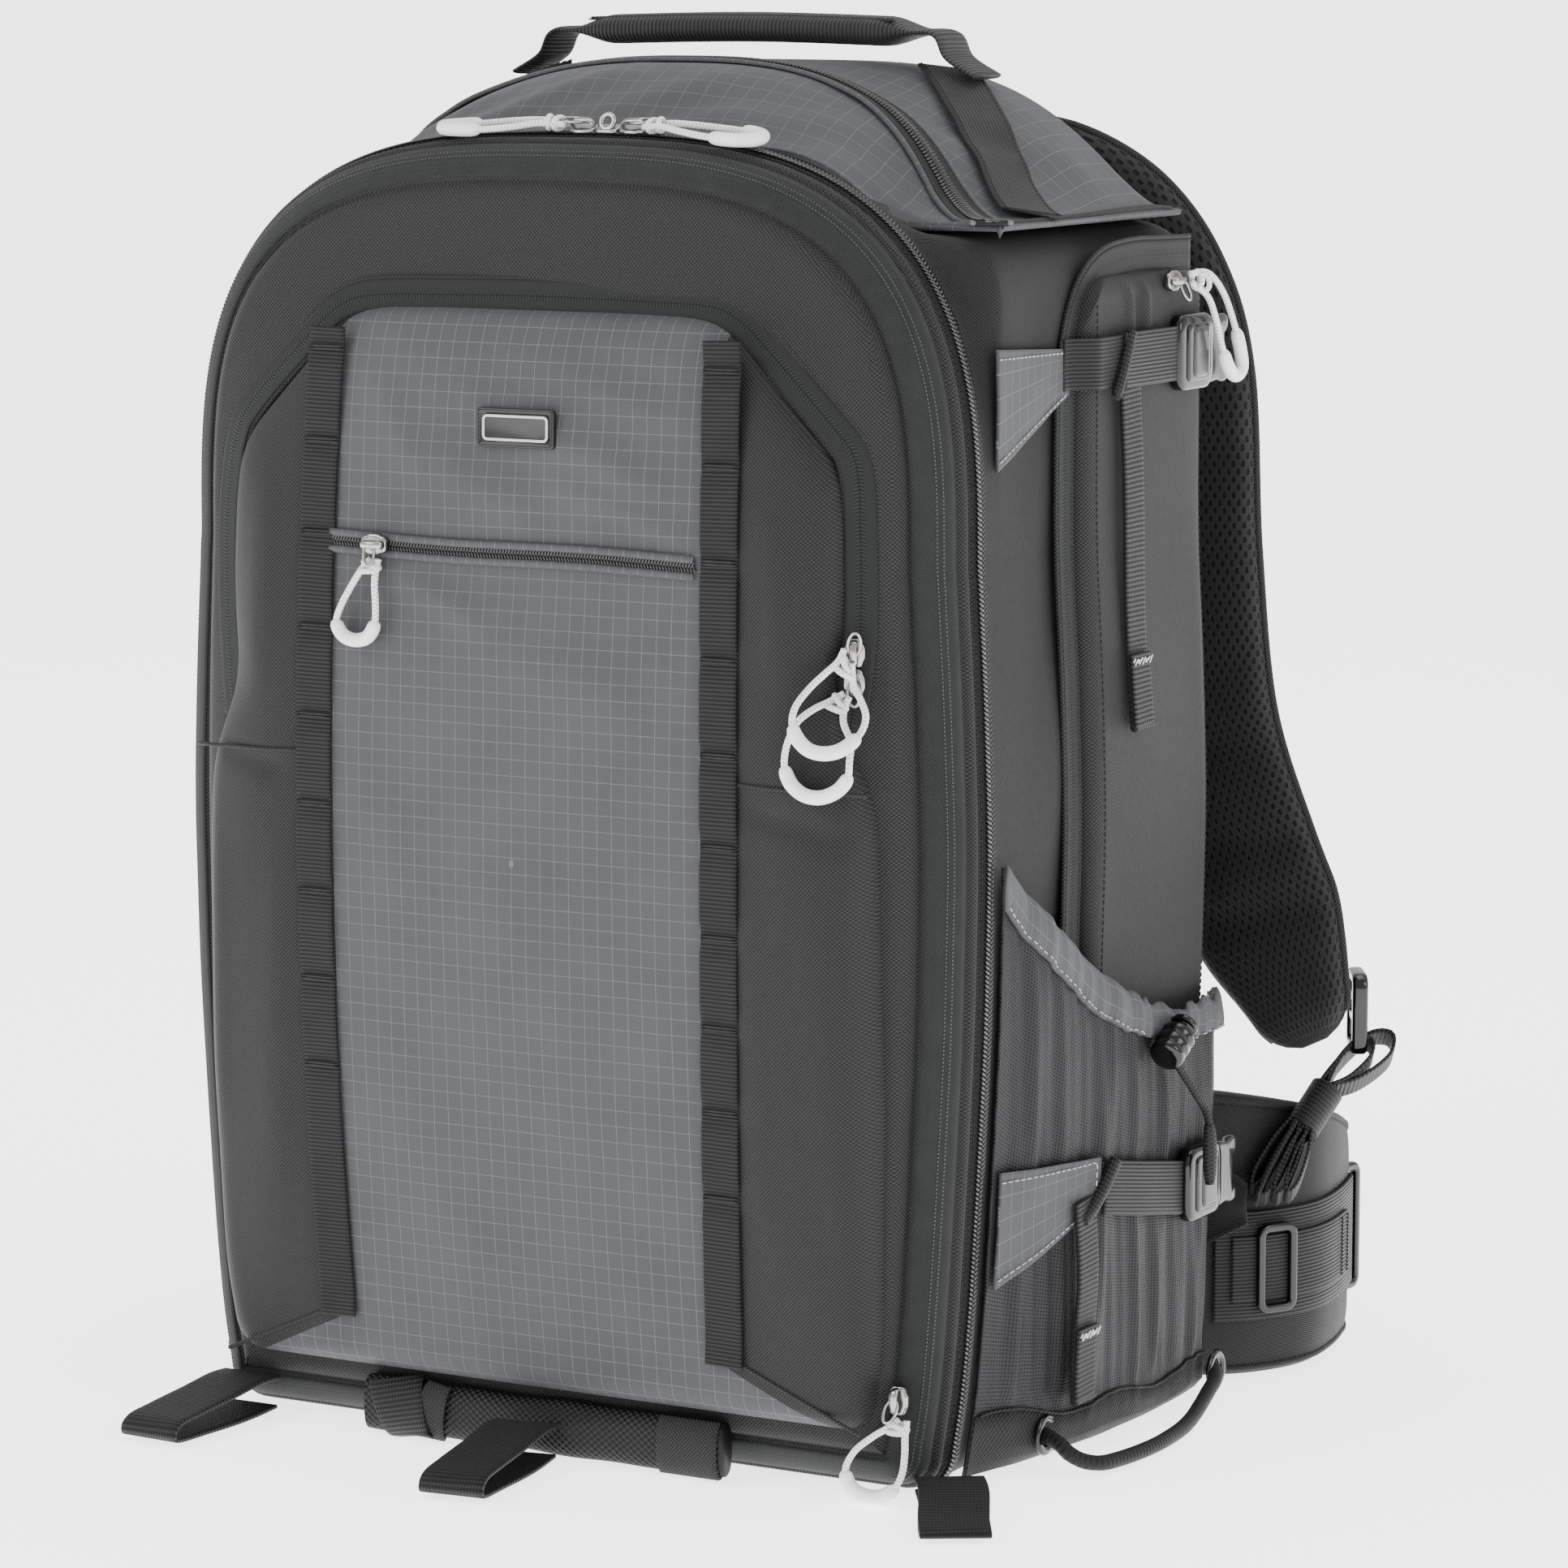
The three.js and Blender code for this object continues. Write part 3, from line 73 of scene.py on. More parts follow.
world = bpy.data.worlds.new("studio")
world.use_nodes = True
world.node_tree.nodes["Background"].inputs["Color"].default_value = (1, 1, 1, 1)
world.node_tree.nodes["Background"].inputs["Strength"].default_value = 1.0
bpy.context.scene.world = world


def soft_light(name, place, aim, size, power):
    """Square area light at a place, turned so that it shines at the aim point."""
    data = bpy.data.lights.new(name, "AREA")
    data.size = size
    data.energy = power
    light = bpy.data.objects.new(name, data)
    away = np.array(place) - np.array(aim)
    away = away / np.linalg.norm(away)
    side = np.cross((0, 0, 1), away)
    side = side / np.linalg.norm(side)
    up = np.cross(away, side)
    light.matrix_world = Matrix.Translation(place) @ Matrix((side, up, away)).transposed().to_4x4()
    bpy.context.scene.collection.objects.link(light)


soft_light("key", (-1.6, -2.4, 2.3), (0, 0, 0.3), 1.6, 62)
soft_light("side", (2.6, -0.3, 1.5), (0, 0, 0.3), 1.3, 30)
soft_light("top", (0.2, 0.4, 2.8), (0, 0, 0.4), 1.8, 30)

# Zip pulls and drawcords: thin braided cord, white on the pulls, whose ends carry a smooth moulded grip.
# Each cord is a round tube along the chosen points of its route, which leave a slider and come back to it.


def smooth_path(points, count):
    """Catmull-Rom curve through the points, then evenly spaced along its length."""
    p = np.asarray(points, float)
    p = np.vstack([2 * p[0] - p[1], p, 2 * p[-1] - p[-2]])
    step = np.linspace(0, len(p) - 3, 40 * (len(p) - 3) + 1)
    i = np.minimum(step.astype(int), len(p) - 4)
    t = (step - i)[:, None]
    a, b, c, d = p[i], p[i + 1], p[i + 2], p[i + 3]
    dense = 0.5 * (2 * b + (c - a) * t + (2 * a - 5 * b + 4 * c - d) * t ** 2 + (3 * b - a - 3 * c + d)
                   * t ** 3)
    return even_path(dense, count)


def even_path(points, count):
    """The same polyline, sampled at equal steps of its length."""
    run = path_run(points)
    want = np.linspace(0, run[-1], count)
    return np.stack([np.interp(want, run, points[:, k]) for k in range(points.shape[1])], axis=1)


def path_run(points):
    """Length along a polyline at each of its points."""
    return np.concatenate([[0], np.cumsum(np.linalg.norm(np.diff(points, axis=0), axis=1))])


def unit(vectors):
    """Vectors scaled to length one."""
    return vectors / np.maximum(np.linalg.norm(vectors, axis=-1, keepdims=True), 1e-9)


def put_mesh(name, points, faces, face_uv, material, body="bag", ends=()):
    """Closed mesh from points in millimetres, four-sided faces with a UV per corner, and flat ends.

    The volume that the faces enclose tells which way they face; if it comes out negative, all are turned
    round.
    """
    quads = points[faces]
    enclosed = np.sum(quads[:, 0] * (np.cross(quads[:, 1], quads[:, 2]) + np.cross(quads[:, 2], quads[:, 3])))
    for end in ends:
        fan = points[np.asarray(end)]
        enclosed += np.sum(fan[:1] * np.cross(fan[1:-1], fan[2:]))
    if enclosed < 0:
        faces, face_uv = faces[:, ::-1], face_uv[:, ::-1]
        ends = [np.asarray(end)[::-1] for end in ends]
    mesh = bpy.data.meshes.new(name)
    corners = np.concatenate([faces.reshape(-1)] + [np.asarray(e) for e in ends]).astype(np.int32)
    sizes = np.concatenate([np.full(len(faces), 4)] + [[len(e)] for e in ends]).astype(np.int32)
    starts = np.concatenate([[0], np.cumsum(sizes)[:-1]]).astype(np.int32)
    mesh.vertices.add(len(points))
    mesh.vertices.foreach_set("co", (points * 0.001).astype(np.float32).reshape(-1))
    mesh.loops.add(len(corners))
    mesh.loops.foreach_set("vertex_index", corners)
    mesh.polygons.add(len(sizes))
    mesh.polygons.foreach_set("loop_start", starts)
    mesh.polygons.foreach_set("loop_total", sizes)
    mesh.polygons.foreach_set("use_smooth", np.ones(len(sizes), dtype=bool))
    layer = mesh.uv_layers.new(name="cloth")
    uv = np.zeros((len(corners), 2), np.float32)
    uv[: len(faces) * 4] = face_uv.reshape(-1, 2)
    layer.data.foreach_set("uv", uv.reshape(-1))
    mesh.update(calc_edges=True)
    mesh.validate()
    piece = bpy.data.objects.new(name, mesh)
    bpy.context.scene.collection.objects.link(piece)
    mesh.materials.append(material)
    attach(piece, body)
    return piece


def grid_faces(rows, columns, wrap_rows, wrap_columns):
    """Corner numbers of the quads of a grid, wrapped or open each way, and the same without the wrap."""
    i, j = np.meshgrid(np.arange(rows - 1 + wrap_rows), np.arange(columns - 1 + wrap_columns), indexing="ij")
    i, j = i.reshape(-1), j.reshape(-1)
    di = np.array([0, 1, 1, 0])
    dj = np.array([0, 0, 1, 1])
    row = (i[:, None] + di) % rows
    column = (j[:, None] + dj) % columns
    wide = columns + wrap_columns
    return row * columns + column, (i[:, None] + di) * wide + (j[:, None] + dj)


def surface(name, grid, material, uv=None, wrap_rows=False, wrap_columns=False, capped=False,
            body="bag"):
    """Quad surface over a grid of points; without a UV, each face is mapped flat from its nearest axis."""
    rows, columns = grid.shape[:2]
    faces, plain = grid_faces(rows, columns, wrap_rows, wrap_columns)
    points = grid.reshape(-1, 3)
    ends = []
    if capped:
        ends = [np.arange(columns), (rows - 1) * columns + np.arange(columns)[::-1]]
    face_uv = box_uv(points, faces) if uv is None else uv.reshape(-1, 2)[plain]
    return put_mesh(name, points, faces, face_uv, material, body, ends)


def box_uv(points, faces):
    """Flat map from the axis nearest to each face: the other two coordinates, in millimetres."""
    q = points[faces]
    normal = np.abs(np.cross(q[:, 2] - q[:, 0], q[:, 3] - q[:, 1]))
    axis = normal.argmax(axis=1)
    pick = np.array([[1, 2], [0, 2], [0, 1]])[axis]
    return np.take_along_axis(q, np.repeat(pick[:, None, :], 4, axis=1), axis=2)


def sweep(name, path, reference, section, material, scale=None, closed=False, body="bag"):
    """Closed section carried along a path: first coordinate along the side, second along the face direction.

    The face direction is the reference, squared to the path; the side is path times face.
    """
    ahead = np.roll(path, -1, 0) - np.roll(path, 1, 0) if closed else np.gradient(path, axis=0)
    ahead = unit(ahead)
    side = unit(np.cross(ahead, reference))
    face = np.cross(side, ahead)
    shape = np.asarray(section, float)
    grow = np.ones((len(path), 2)) if scale is None else np.asarray(scale, float).reshape(len(path), -1)
    grow = np.broadcast_to(grow, (len(path), 2))
    grid = (path[:, None] + side[:, None] * (shape[None, :, 0:1] * grow[:, None, 0:1])
            + face[:, None] * (shape[None, :, 1:2] * grow[:, None, 1:2]))
    loop = path if not closed else np.vstack([path, path[:1]])
    around = path_run(np.vstack([shape, shape[:1]]))
    u, v = np.meshgrid(path_run(loop), around, indexing="ij")
    return surface(name, grid, material, uv=np.stack([u, v], axis=-1), wrap_rows=closed,
                   wrap_columns=True, capped=not closed, body=body)


def circle(radius, sides):
    """Points of a circle, for a round section."""
    angle = np.arange(sides) / sides * 2 * np.pi
    return np.stack([np.cos(angle), np.sin(angle)], axis=1) * radius


def math_node(tree, operation, a, b=None, c=None):
    """One arithmetic node; an argument is a number or another node's output."""
    node = tree.nodes.new("ShaderNodeMath")
    node.operation = operation
    for k, value in enumerate((a, b, c)):
        if value is None:
            continue
        if isinstance(value, (int, float)):
            node.inputs[k].default_value = value
        else:
            tree.links.new(value, node.inputs[k])
    return node.outputs[0]


def wave(tree, coordinate, pitch, shift=0.0):
    """Sine of a coordinate, one turn for each pitch."""
    return math_node(tree, "SINE", math_node(tree, "MULTIPLY_ADD", coordinate, 2 * np.pi / pitch, shift))


def colour_mix(tree, share, first, second):
    """Two colours mixed by a share."""
    node = tree.nodes.new("ShaderNodeMix")
    node.data_type = "RGBA"
    node.clamp_factor = True
    tree.links.new(share, node.inputs[0])
    for socket, value in ((node.inputs[6], first), (node.inputs[7], second)):
        if isinstance(value, tuple):
            socket.default_value = (*value, 1)
        else:
            tree.links.new(value, socket)
    return node.outputs[2]


def new_material(name, roughness, specular=0.2, sheen=0.0, metallic=0.0):
    """Empty principled material; returns it with its tree, its shader, and the UV's two coordinates."""
    material = bpy.data.materials.new(name)
    material.use_nodes = True
    tree = material.node_tree
    shader = tree.nodes["Principled BSDF"]
    shader.inputs["Roughness"].default_value = roughness
    shader.inputs["Specular IOR Level"].default_value = specular
    shader.inputs["Metallic"].default_value = metallic
    shader.inputs["Sheen Weight"].default_value = sheen
    shader.inputs["Sheen Roughness"].default_value = 0.5
    source = tree.nodes.new("ShaderNodeUVMap")
    source.uv_map = "cloth"
    parts = tree.nodes.new("ShaderNodeSeparateXYZ")
    tree.links.new(source.outputs[0], parts.inputs[0])
    return material, tree, shader, parts.outputs[0], parts.outputs[1]


def cloudy(tree, size, detail=2.0):
    """Soft noise over the object, from 0 to 1, with blotches of a size in millimetres."""
    place = tree.nodes.new("ShaderNodeTexCoord")
    noise = tree.nodes.new("ShaderNodeTexNoise")
    noise.inputs["Scale"].default_value = 1000.0 / size
    noise.inputs["Detail"].default_value = detail
    tree.links.new(place.outputs["Object"], noise.inputs["Vector"])
    return noise.outputs["Fac"]


def raised(tree, shader, height, distance):
    """Bump from a height between 0 and 1 and its depth in millimetres."""
    bump = tree.nodes.new("ShaderNodeBump")
    bump.inputs["Strength"].default_value = 1.0
    bump.inputs["Distance"].default_value = distance * 0.001
    tree.links.new(height, bump.inputs["Height"])
    tree.links.new(bump.outputs[0], shader.inputs["Normal"])


def braid(name, dark, light, pitch, around):
    """Braided cord: two crossing sets of slanting strands, from the UV along and around."""
    material, tree, shader, along, across = new_material(name, 0.62, sheen=0.04)
    slant = math_node(tree, "MULTIPLY", across, pitch / around)
    one = wave(tree, math_node(tree, "ADD", along, slant), pitch)
    two = wave(tree, math_node(tree, "SUBTRACT", along, slant), pitch)
    height = math_node(tree, "MULTIPLY_ADD", math_node(tree, "MAXIMUM", one, two), 0.5, 0.5)
    tree.links.new(colour_mix(tree, height, dark, light), shader.inputs["Base Color"])
    raised(tree, shader, height, 0.25)
    return material


white_cord = braid("white_cord", (0.42, 0.42, 0.43), (0.86, 0.86, 0.85), 1.5, 4.1)
black_cord = braid("black_cord", (0.0017, 0.0017, 0.0017), (0.0126, 0.0126, 0.0134), 1.7, 4.6)
elastic_cord = braid("elastic_cord", (0.0017, 0.0017, 0.0017), (0.0092, 0.0092, 0.0101), 2.2, 9.4)

white_grip, tree, shader, along, across = new_material("white_grip", 0.38, specular=0.5)
grip_tone = colour_mix(tree, cloudy(tree, 14), (0.72, 0.72, 0.72), (0.84, 0.84, 0.83))
tree.links.new(grip_tone, shader.inputs["Base Color"])
shader.inputs["Subsurface Weight"].default_value = 0.08
shader.inputs["Subsurface Radius"].default_value = (0.002, 0.002, 0.002)

nickel, tree, shader, along, across = new_material("nickel", 0.24, metallic=1.0)
nickel_tone = colour_mix(tree, cloudy(tree, 6, 4), (0.24, 0.235, 0.23), (0.42, 0.41, 0.40))
tree.links.new(nickel_tone, shader.inputs["Base Color"])
raised(tree, shader, cloudy(tree, 1.5, 4), 0.05)

pull_routes = {"pull_main_left": [(-0.005, -0.094, 0.508), (-0.014, -0.095, 0.5094),
                                  (-0.024, -0.0936, 0.5094), (-0.036, -0.0926, 0.5086),
                                  (-0.047, -0.0924, 0.5076), (-0.055, -0.0944, 0.507),
                                  (-0.058, -0.0986, 0.5066), (-0.056, -0.103, 0.506),
                                  (-0.048, -0.1052, 0.5058), (-0.037, -0.105, 0.506),
                                  (-0.026, -0.103, 0.507), (-0.016, -0.1004, 0.5084),
                                  (-0.005, -0.098, 0.508),], "pull_main_right": [(0.029, -0.094, 0.5076),
        (0.038, -0.0946, 0.509), (0.048, -0.0934, 0.5086), (0.059, -0.0924, 0.5076),
        (0.069, -0.0924, 0.5066), (0.077, -0.0944, 0.5054), (0.08, -0.0986, 0.5046),
        (0.078, -0.103, 0.5038), (0.07, -0.1052, 0.5038), (0.059, -0.105, 0.5048),
        (0.048, -0.1034, 0.5064), (0.038, -0.1008, 0.508), (0.029, -0.098, 0.5076),],
               "pull_pocket_upper": [(0.1362, -0.1379, 0.3212), (0.1352, -0.1409, 0.317),
                                     (0.1324, -0.1459, 0.3129), (0.1289, -0.1504, 0.3082),
                                     (0.1263, -0.1561, 0.3022), (0.1259, -0.1586, 0.2965),
                                     (0.1285, -0.1596, 0.2907), (0.1341, -0.1601, 0.2866),
                                     (0.1406, -0.1586, 0.2858), (0.1459, -0.1556, 0.2878),
                                     (0.1485, -0.1484, 0.2924), (0.1489, -0.1449, 0.2981),
                                     (0.1452, -0.1419, 0.3036), (0.141, -0.1399, 0.3089),
                                     (0.1394, -0.1381, 0.3162),], "pull_pocket_lower": [(0.1358, -0.1372,
        0.305), (0.1317, -0.1409, 0.3022), (0.1288, -0.1474, 0.3), (0.1251, -0.1522, 0.2961),
        (0.1218, -0.1522, 0.2907), (0.1196, -0.1522, 0.2844), (0.1193, -0.1522, 0.2784),
        (0.122, -0.1522, 0.2725), (0.1276, -0.1522, 0.2688), (0.1346, -0.1522, 0.2685),
        (0.1413, -0.1522, 0.2715), (0.1454, -0.1522, 0.2765), (0.1461, -0.1522, 0.2825),
        (0.144, -0.1474, 0.2889), (0.1393, -0.1439, 0.2947), (0.1372, -0.14, 0.299),
        (0.1382, -0.1378, 0.304),], "pull_front_pocket": [(-0.0615, -0.1486, 0.3454),
                                                          (-0.065, -0.1502, 0.341),
                                                          (-0.0695, -0.151, 0.334),
                                                          (-0.0735, -0.1514, 0.327),
                                                          (-0.0755, -0.1514, 0.321),
                                                          (-0.0725, -0.1514, 0.316),
                                                          (-0.067, -0.1514, 0.3144),
                                                          (-0.0615, -0.1514, 0.316),
                                                          (-0.0584, -0.1514, 0.321),
                                                          (-0.058, -0.1512, 0.328),
                                                          (-0.0586, -0.1508, 0.336),
                                                          (-0.0586, -0.1496, 0.342),
                                                          (-0.0582, -0.1486, 0.3454),],
               "pull_base": [(0.1523, -0.124, 0.0324), (0.149, -0.1255, 0.0295), (0.143, -0.127, 0.0255),
                             (0.136, -0.128, 0.0195), (0.1325, -0.129, 0.0125), (0.1345, -0.1296, 0.0065),
                             (0.14, -0.13, 0.0036), (0.147, -0.13, 0.0036), (0.153, -0.1296, 0.007),
                             (0.156, -0.1286, 0.013), (0.1565, -0.1274, 0.02), (0.1557, -0.1256, 0.027),
                             (0.1556, -0.124, 0.0324),], "pull_side": [(0.183, 0.0548, 0.4494),
        (0.1862, 0.062, 0.45), (0.1876, 0.069, 0.4465), (0.1886, 0.076, 0.4395), (0.189, 0.083, 0.4295),
        (0.189, 0.089, 0.4195), (0.189, 0.091, 0.4115), (0.1886, 0.086, 0.4085), (0.1884, 0.0795, 0.4125),
        (0.1882, 0.074, 0.421), (0.188, 0.069, 0.431), (0.1868, 0.0635, 0.4405),
        (0.1833, 0.0556, 0.4464),],}
pull_planes = {
    "pull_main_left": (0, 0.2, 1), "pull_main_right": (0, 0.2, 1), "pull_pocket_upper": (0.2, -1, 0.1),
    "pull_pocket_lower": (0.2, -1, 0.1), "pull_front_pocket": (0, -1, 0), "pull_base": (0, -1, 0),
    "pull_side": (1, 0, 0),
}
pull_radius = 1.3
grip_radius = 2.7
grip_share = (0.36, 0.70)
for pull_name, points in pull_routes.items():
    route = smooth_path(np.array(points) * 1000, 90)
    length = path_run(route)[-1] * 0.001
    plane = np.array(pull_planes[pull_name], float)
    cord = sweep(pull_name + "_cord", route, plane, circle(pull_radius, 12), white_cord)
    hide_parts(pull_name)
    first, last = (int(share * 89) for share in grip_share)
    held = even_path(route[first:last + 1], 40)
    run = np.linspace(0, 1, 40)
    swell = np.sqrt(np.clip(1 - (2 * np.abs(run - 0.5)) ** 14, 0.12, 1))
    grip = sweep(pull_name + "_grip", held, plane, circle(grip_radius, 20), white_grip,
                 scale=swell)
    knots = []
    for near, lean in ((3, 0.5), (6, -0.5)):
        middle = (route[near] + route[-1 - near]) / 2
        apart = np.linalg.norm(route[near] - route[-1 - near]) / 2 + 1.5
        across_way = unit(route[near] - route[-1 - near] + 1e-6)
        depth_way = unit(plane - across_way * np.dot(plane, across_way))
        up_way = np.cross(across_way, depth_way)
        angle = np.linspace(0, 2 * np.pi, 33)[:-1, None]
        ring = (middle + across_way * np.cos(angle) * min(apart, 3.2) + depth_way * np.sin(angle) * 2.2
                + up_way * np.cos(angle) * lean * 1.6)
        knots.append(sweep(f"{pull_name}_knot_{near}", ring, up_way, circle(1.1, 10), white_cord,
                           closed=True))

hem_route = smooth_path(np.array([
    (0.1954, 0.0224, 0.1472), (0.1966, 0.0258, 0.1426), (0.198, 0.0296, 0.1376), (0.1994, 0.0334, 0.1324),
    (0.2004, 0.0375, 0.1276), (0.2018, 0.039, 0.123), (0.2022, 0.04, 0.117), (0.2022, 0.0404, 0.11),
    (0.2022, 0.0406, 0.103), (0.2022, 0.0406, 0.096),
]) * 1000, 60)
hem_drawcord = sweep("hem_drawcord", hem_route, np.array([1.0, 0, 0]), circle(1.5, 12), black_cord)
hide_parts("hem_cord")
tab_path = even_path(hem_route[34:], 40)
run = np.linspace(0, 1, 40)
tab_swell = np.stack([0.55 + 0.45 * np.sin(np.pi * np.clip(run * 1.1, 0, 1)) ** 0.5,
                      0.6 + 0.4 * np.sin(np.pi * run) ** 0.5], axis=1)
tab = sweep("hem_cord_tab", tab_path, np.array([1.0, 0, 0]), circle(1.0, 18) * (3.6, 2.6), black_cord,
            scale=tab_swell)

bungee_route = np.array([
    (0.1761, -0.051, 0.0134), (0.184, -0.054, 0.0114), (0.189, -0.055, 0.0082), (0.194, -0.052, 0.0052),
    (0.1985, -0.046, 0.0038), (0.201, -0.036, 0.0034), (0.203, -0.024, 0.0034), (0.204, -0.01, 0.0034),
    (0.2035, 0.004, 0.0034), (0.202, 0.018, 0.0034), (0.1995, 0.032, 0.0039), (0.1965, 0.046, 0.0054),
    (0.1935, 0.06, 0.0076), (0.1908, 0.072, 0.0096), (0.1862, 0.081, 0.0114),
]) * 1000
for side_name, mirror in (("right", 1.0), ("left", -1.0)):
    route = smooth_path(bungee_route * (mirror, 1, 1), 90)
    bungee = sweep("bungee_cord_" + side_name, route, np.array([mirror, 0.0, 0.3]), circle(3.0, 14),
                   elastic_cord)
    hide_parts("bungee_" + side_name)

# Body: the padded shell of black ballistic nylon, with flat base, soft side walls and an arched front edge
# that turns into the square roof under the top pocket. One skin is lofted from front edge to back.
body_half = 174.0
arch_start = 349.0
side_heights = np.array([0.0, 0.07, 0.18, 0.34, 0.5, 0.7, 0.86, 1.0]) * arch_start
side_halves = np.array([0.9, 0.932, 0.955, 0.975, 0.992, 1.0, 0.988, 0.971]) * body_half


def smooth_step(value):
    """Rises from 0 to 1 with flat ends."""
    t = np.clip(value, 0, 1)
    return t * t * (3 - 2 * t)


def side_half(z):
    """Half width of the body at a height: the table read with softened corners."""
    near = np.linspace(-18, 18, 9)
    return np.mean([np.interp(np.asarray(z) + shift, side_heights, side_halves) for shift in near], axis=0)


def body_outline(count, crest=504.0, power=2.95, corner=16.0, top_half=168.95):
    """Outline across the depth: base, round corners, sides, and a superellipse arch above; even steps."""
    base = float(side_half(corner))
    angle = np.linspace(0, np.pi / 2, 14)
    rise = np.linspace(corner, arch_start, 60)
    turn = np.linspace(0, np.pi / 2, 160)
    reach = ((np.cos(turn) / top_half) ** power + (np.sin(turn) / (crest - arch_start)) ** power) ** (-1
            / power)
    x = np.concatenate([[0], base - corner + corner * np.sin(angle), side_half(rise)[1:-1],
                        reach * np.cos(turn)])
    z = np.concatenate([[0], corner - corner * np.cos(angle), rise[1:-1], arch_start + reach * np.sin(turn)])
    half = even_path(np.stack([x, z], axis=1), count // 2 + 1)
    return np.vstack([half, half[1:-1][::-1] * (-1, 1)])


def inset_outline(outline, distance):
    """Outline moved inwards along its own normals."""
    ahead = unit(np.roll(outline, -1, 0) - np.roll(outline, 1, 0))
    return outline + np.stack([-ahead[:, 1], ahead[:, 0]], axis=1) * distance


def at_depth(outline, depth):
    """Points in space from an outline and its depth."""
    return np.stack([outline[:, 0], np.broadcast_to(depth, len(outline)), outline[:, 1]], axis=1)


def soften_left(points):
    """The slack left front corner of the roof sinks inwards and down."""
    x, y, z = points[..., 0], points[..., 1], points[..., 2]
    share = (smooth_step((-x - 95) / 65) * smooth_step((z - 415) / 55) * smooth_step((40 - y) / 90))
    return points + np.stack([15 * share, 0 * share, -11 * share], axis=-1)


def ballistic(name, dark, light, pitch=1.55, roughness=0.62, sheen=0.04, blotch=0.16):
    """Coarse basket weave: bright thread crowns on a diagonal grid, slight wear and blotches."""
    material, tree, shader, u, v = new_material(name, roughness, specular=0.18, sheen=sheen)
    crown = math_node(tree, "MULTIPLY", wave(tree, u, pitch), wave(tree, v, pitch))
    weave = math_node(tree, "MULTIPLY_ADD", crown, 0.5, 0.5)
    worn = math_node(tree, "MULTIPLY_ADD", cloudy(tree, 38, 3), blotch, 1 - blotch / 2)
    bright = math_node(tree, "MULTIPLY", math_node(tree, "POWER", weave, 1.6), worn)
    bright = math_node(tree, "MULTIPLY", bright, math_node(tree, "MULTIPLY_ADD", cloudy(tree, 0.9, 1), 0.9,
                                                           0.55))
    tree.links.new(colour_mix(tree, bright, dark, light), shader.inputs["Base Color"])
    raised(tree, shader, weave, 0.28)
    return material


def ripstop_pattern(tree, u, v, dark, light, line, cell):
    """Fine twill with a grid of raised dotted lines; gives colour and height."""
    twill = math_node(tree, "MULTIPLY_ADD", wave(tree, math_node(tree, "ADD", u, v), 0.75), 0.5, 0.5)
    lines = []
    for one, other in ((u, v), (v, u)):
        place = math_node(tree, "PINGPONG", one, cell / 2)
        edge = math_node(tree, "LESS_THAN", place, 0.16)
        dotted = math_node(tree, "MULTIPLY_ADD", wave(tree, other, 1.1), 0.35, 0.65)
        lines.append(math_node(tree, "MULTIPLY", edge, dotted))
    grid = math_node(tree, "MAXIMUM", lines[0], lines[1])
    worn = math_node(tree, "MULTIPLY_ADD", cloudy(tree, 30, 3), 0.5, 0.25)
    ground = colour_mix(tree, math_node(tree, "MULTIPLY", math_node(tree, "MULTIPLY_ADD", twill, 0.5, 0.5),
                                        worn), dark, light)
    height = math_node(tree, "MULTIPLY_ADD", grid, 0.8, math_node(tree, "MULTIPLY", twill, 0.3))
    return colour_mix(tree, grid, ground, line), height


def ripstop(name, dark, light, line, cell=6.2, roughness=0.55):
    """Grey ripstop nylon: twill ground, light grid lines."""
    material, tree, shader, u, v = new_material(name, roughness, specular=0.2, sheen=0.05)
    colour, height = ripstop_pattern(tree, u, v, dark, light, line, cell)
    tree.links.new(colour, shader.inputs["Base Color"])
    raised(tree, shader, height, 0.16)
    return material


black_cloth = ballistic("black_cloth", (0.0030, 0.0030, 0.0033), (0.0320, 0.0320, 0.0335))
side_cloth = ballistic("side_cloth", (0.0025, 0.0025, 0.0028), (0.0215, 0.0212, 0.0221), pitch=1.25)
grey_dark, grey_light, grey_line = (0.0310, 0.0320, 0.0345), (0.0760, 0.0785, 0.0840), (0.1300, 0.1330,
        0.1390)
grey_cloth = ripstop("grey_cloth", grey_dark, grey_light, grey_line)

count = 480
arch = body_outline(count)
roof = body_outline(count, crest=470.0, power=13.0)
rings = []
for depth in (-91.3, -89.5, -88.0, -86.0, -84.0, -82.0, -80.0, -78.0, -76.0):
    share = smooth_step((depth + 88.0) / 12.0)
    rings.append(at_depth(arch * (1 - share) + roof * share, depth))
for depth in np.linspace(-68, 78, 26):
    rings.append(at_depth(roof, depth))
for share in np.linspace(0, 1, 8):
    rings.append(at_depth(inset_outline(roof, 12 * (1 - np.cos(share * np.pi / 2))),
                          83 + 12 * np.sin(share * np.pi / 2)))
rings.append(at_depth(inset_outline(roof, 14), 95.0))
shell_grid = soften_left(np.stack(rings))
x, y, z = shell_grid[..., 0], shell_grid[..., 1], shell_grid[..., 2]
wall = smooth_step((z - 30) / 60) * smooth_step((450 - z) / 60) * smooth_step((y + 80)
        / 30) * smooth_step((80 - y) / 30)
slack = 0.9 * np.sin(z / 31 + y / 47) + 0.7 * np.sin(z / 17 - y / 23) * np.sin(y / 29)
shell_grid[..., 0] += np.sign(x) * wall * (slack - 1.2)
shell = surface("padded_shell", shell_grid, side_cloth, wrap_columns=True, capped=True)
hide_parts("bag_shell")

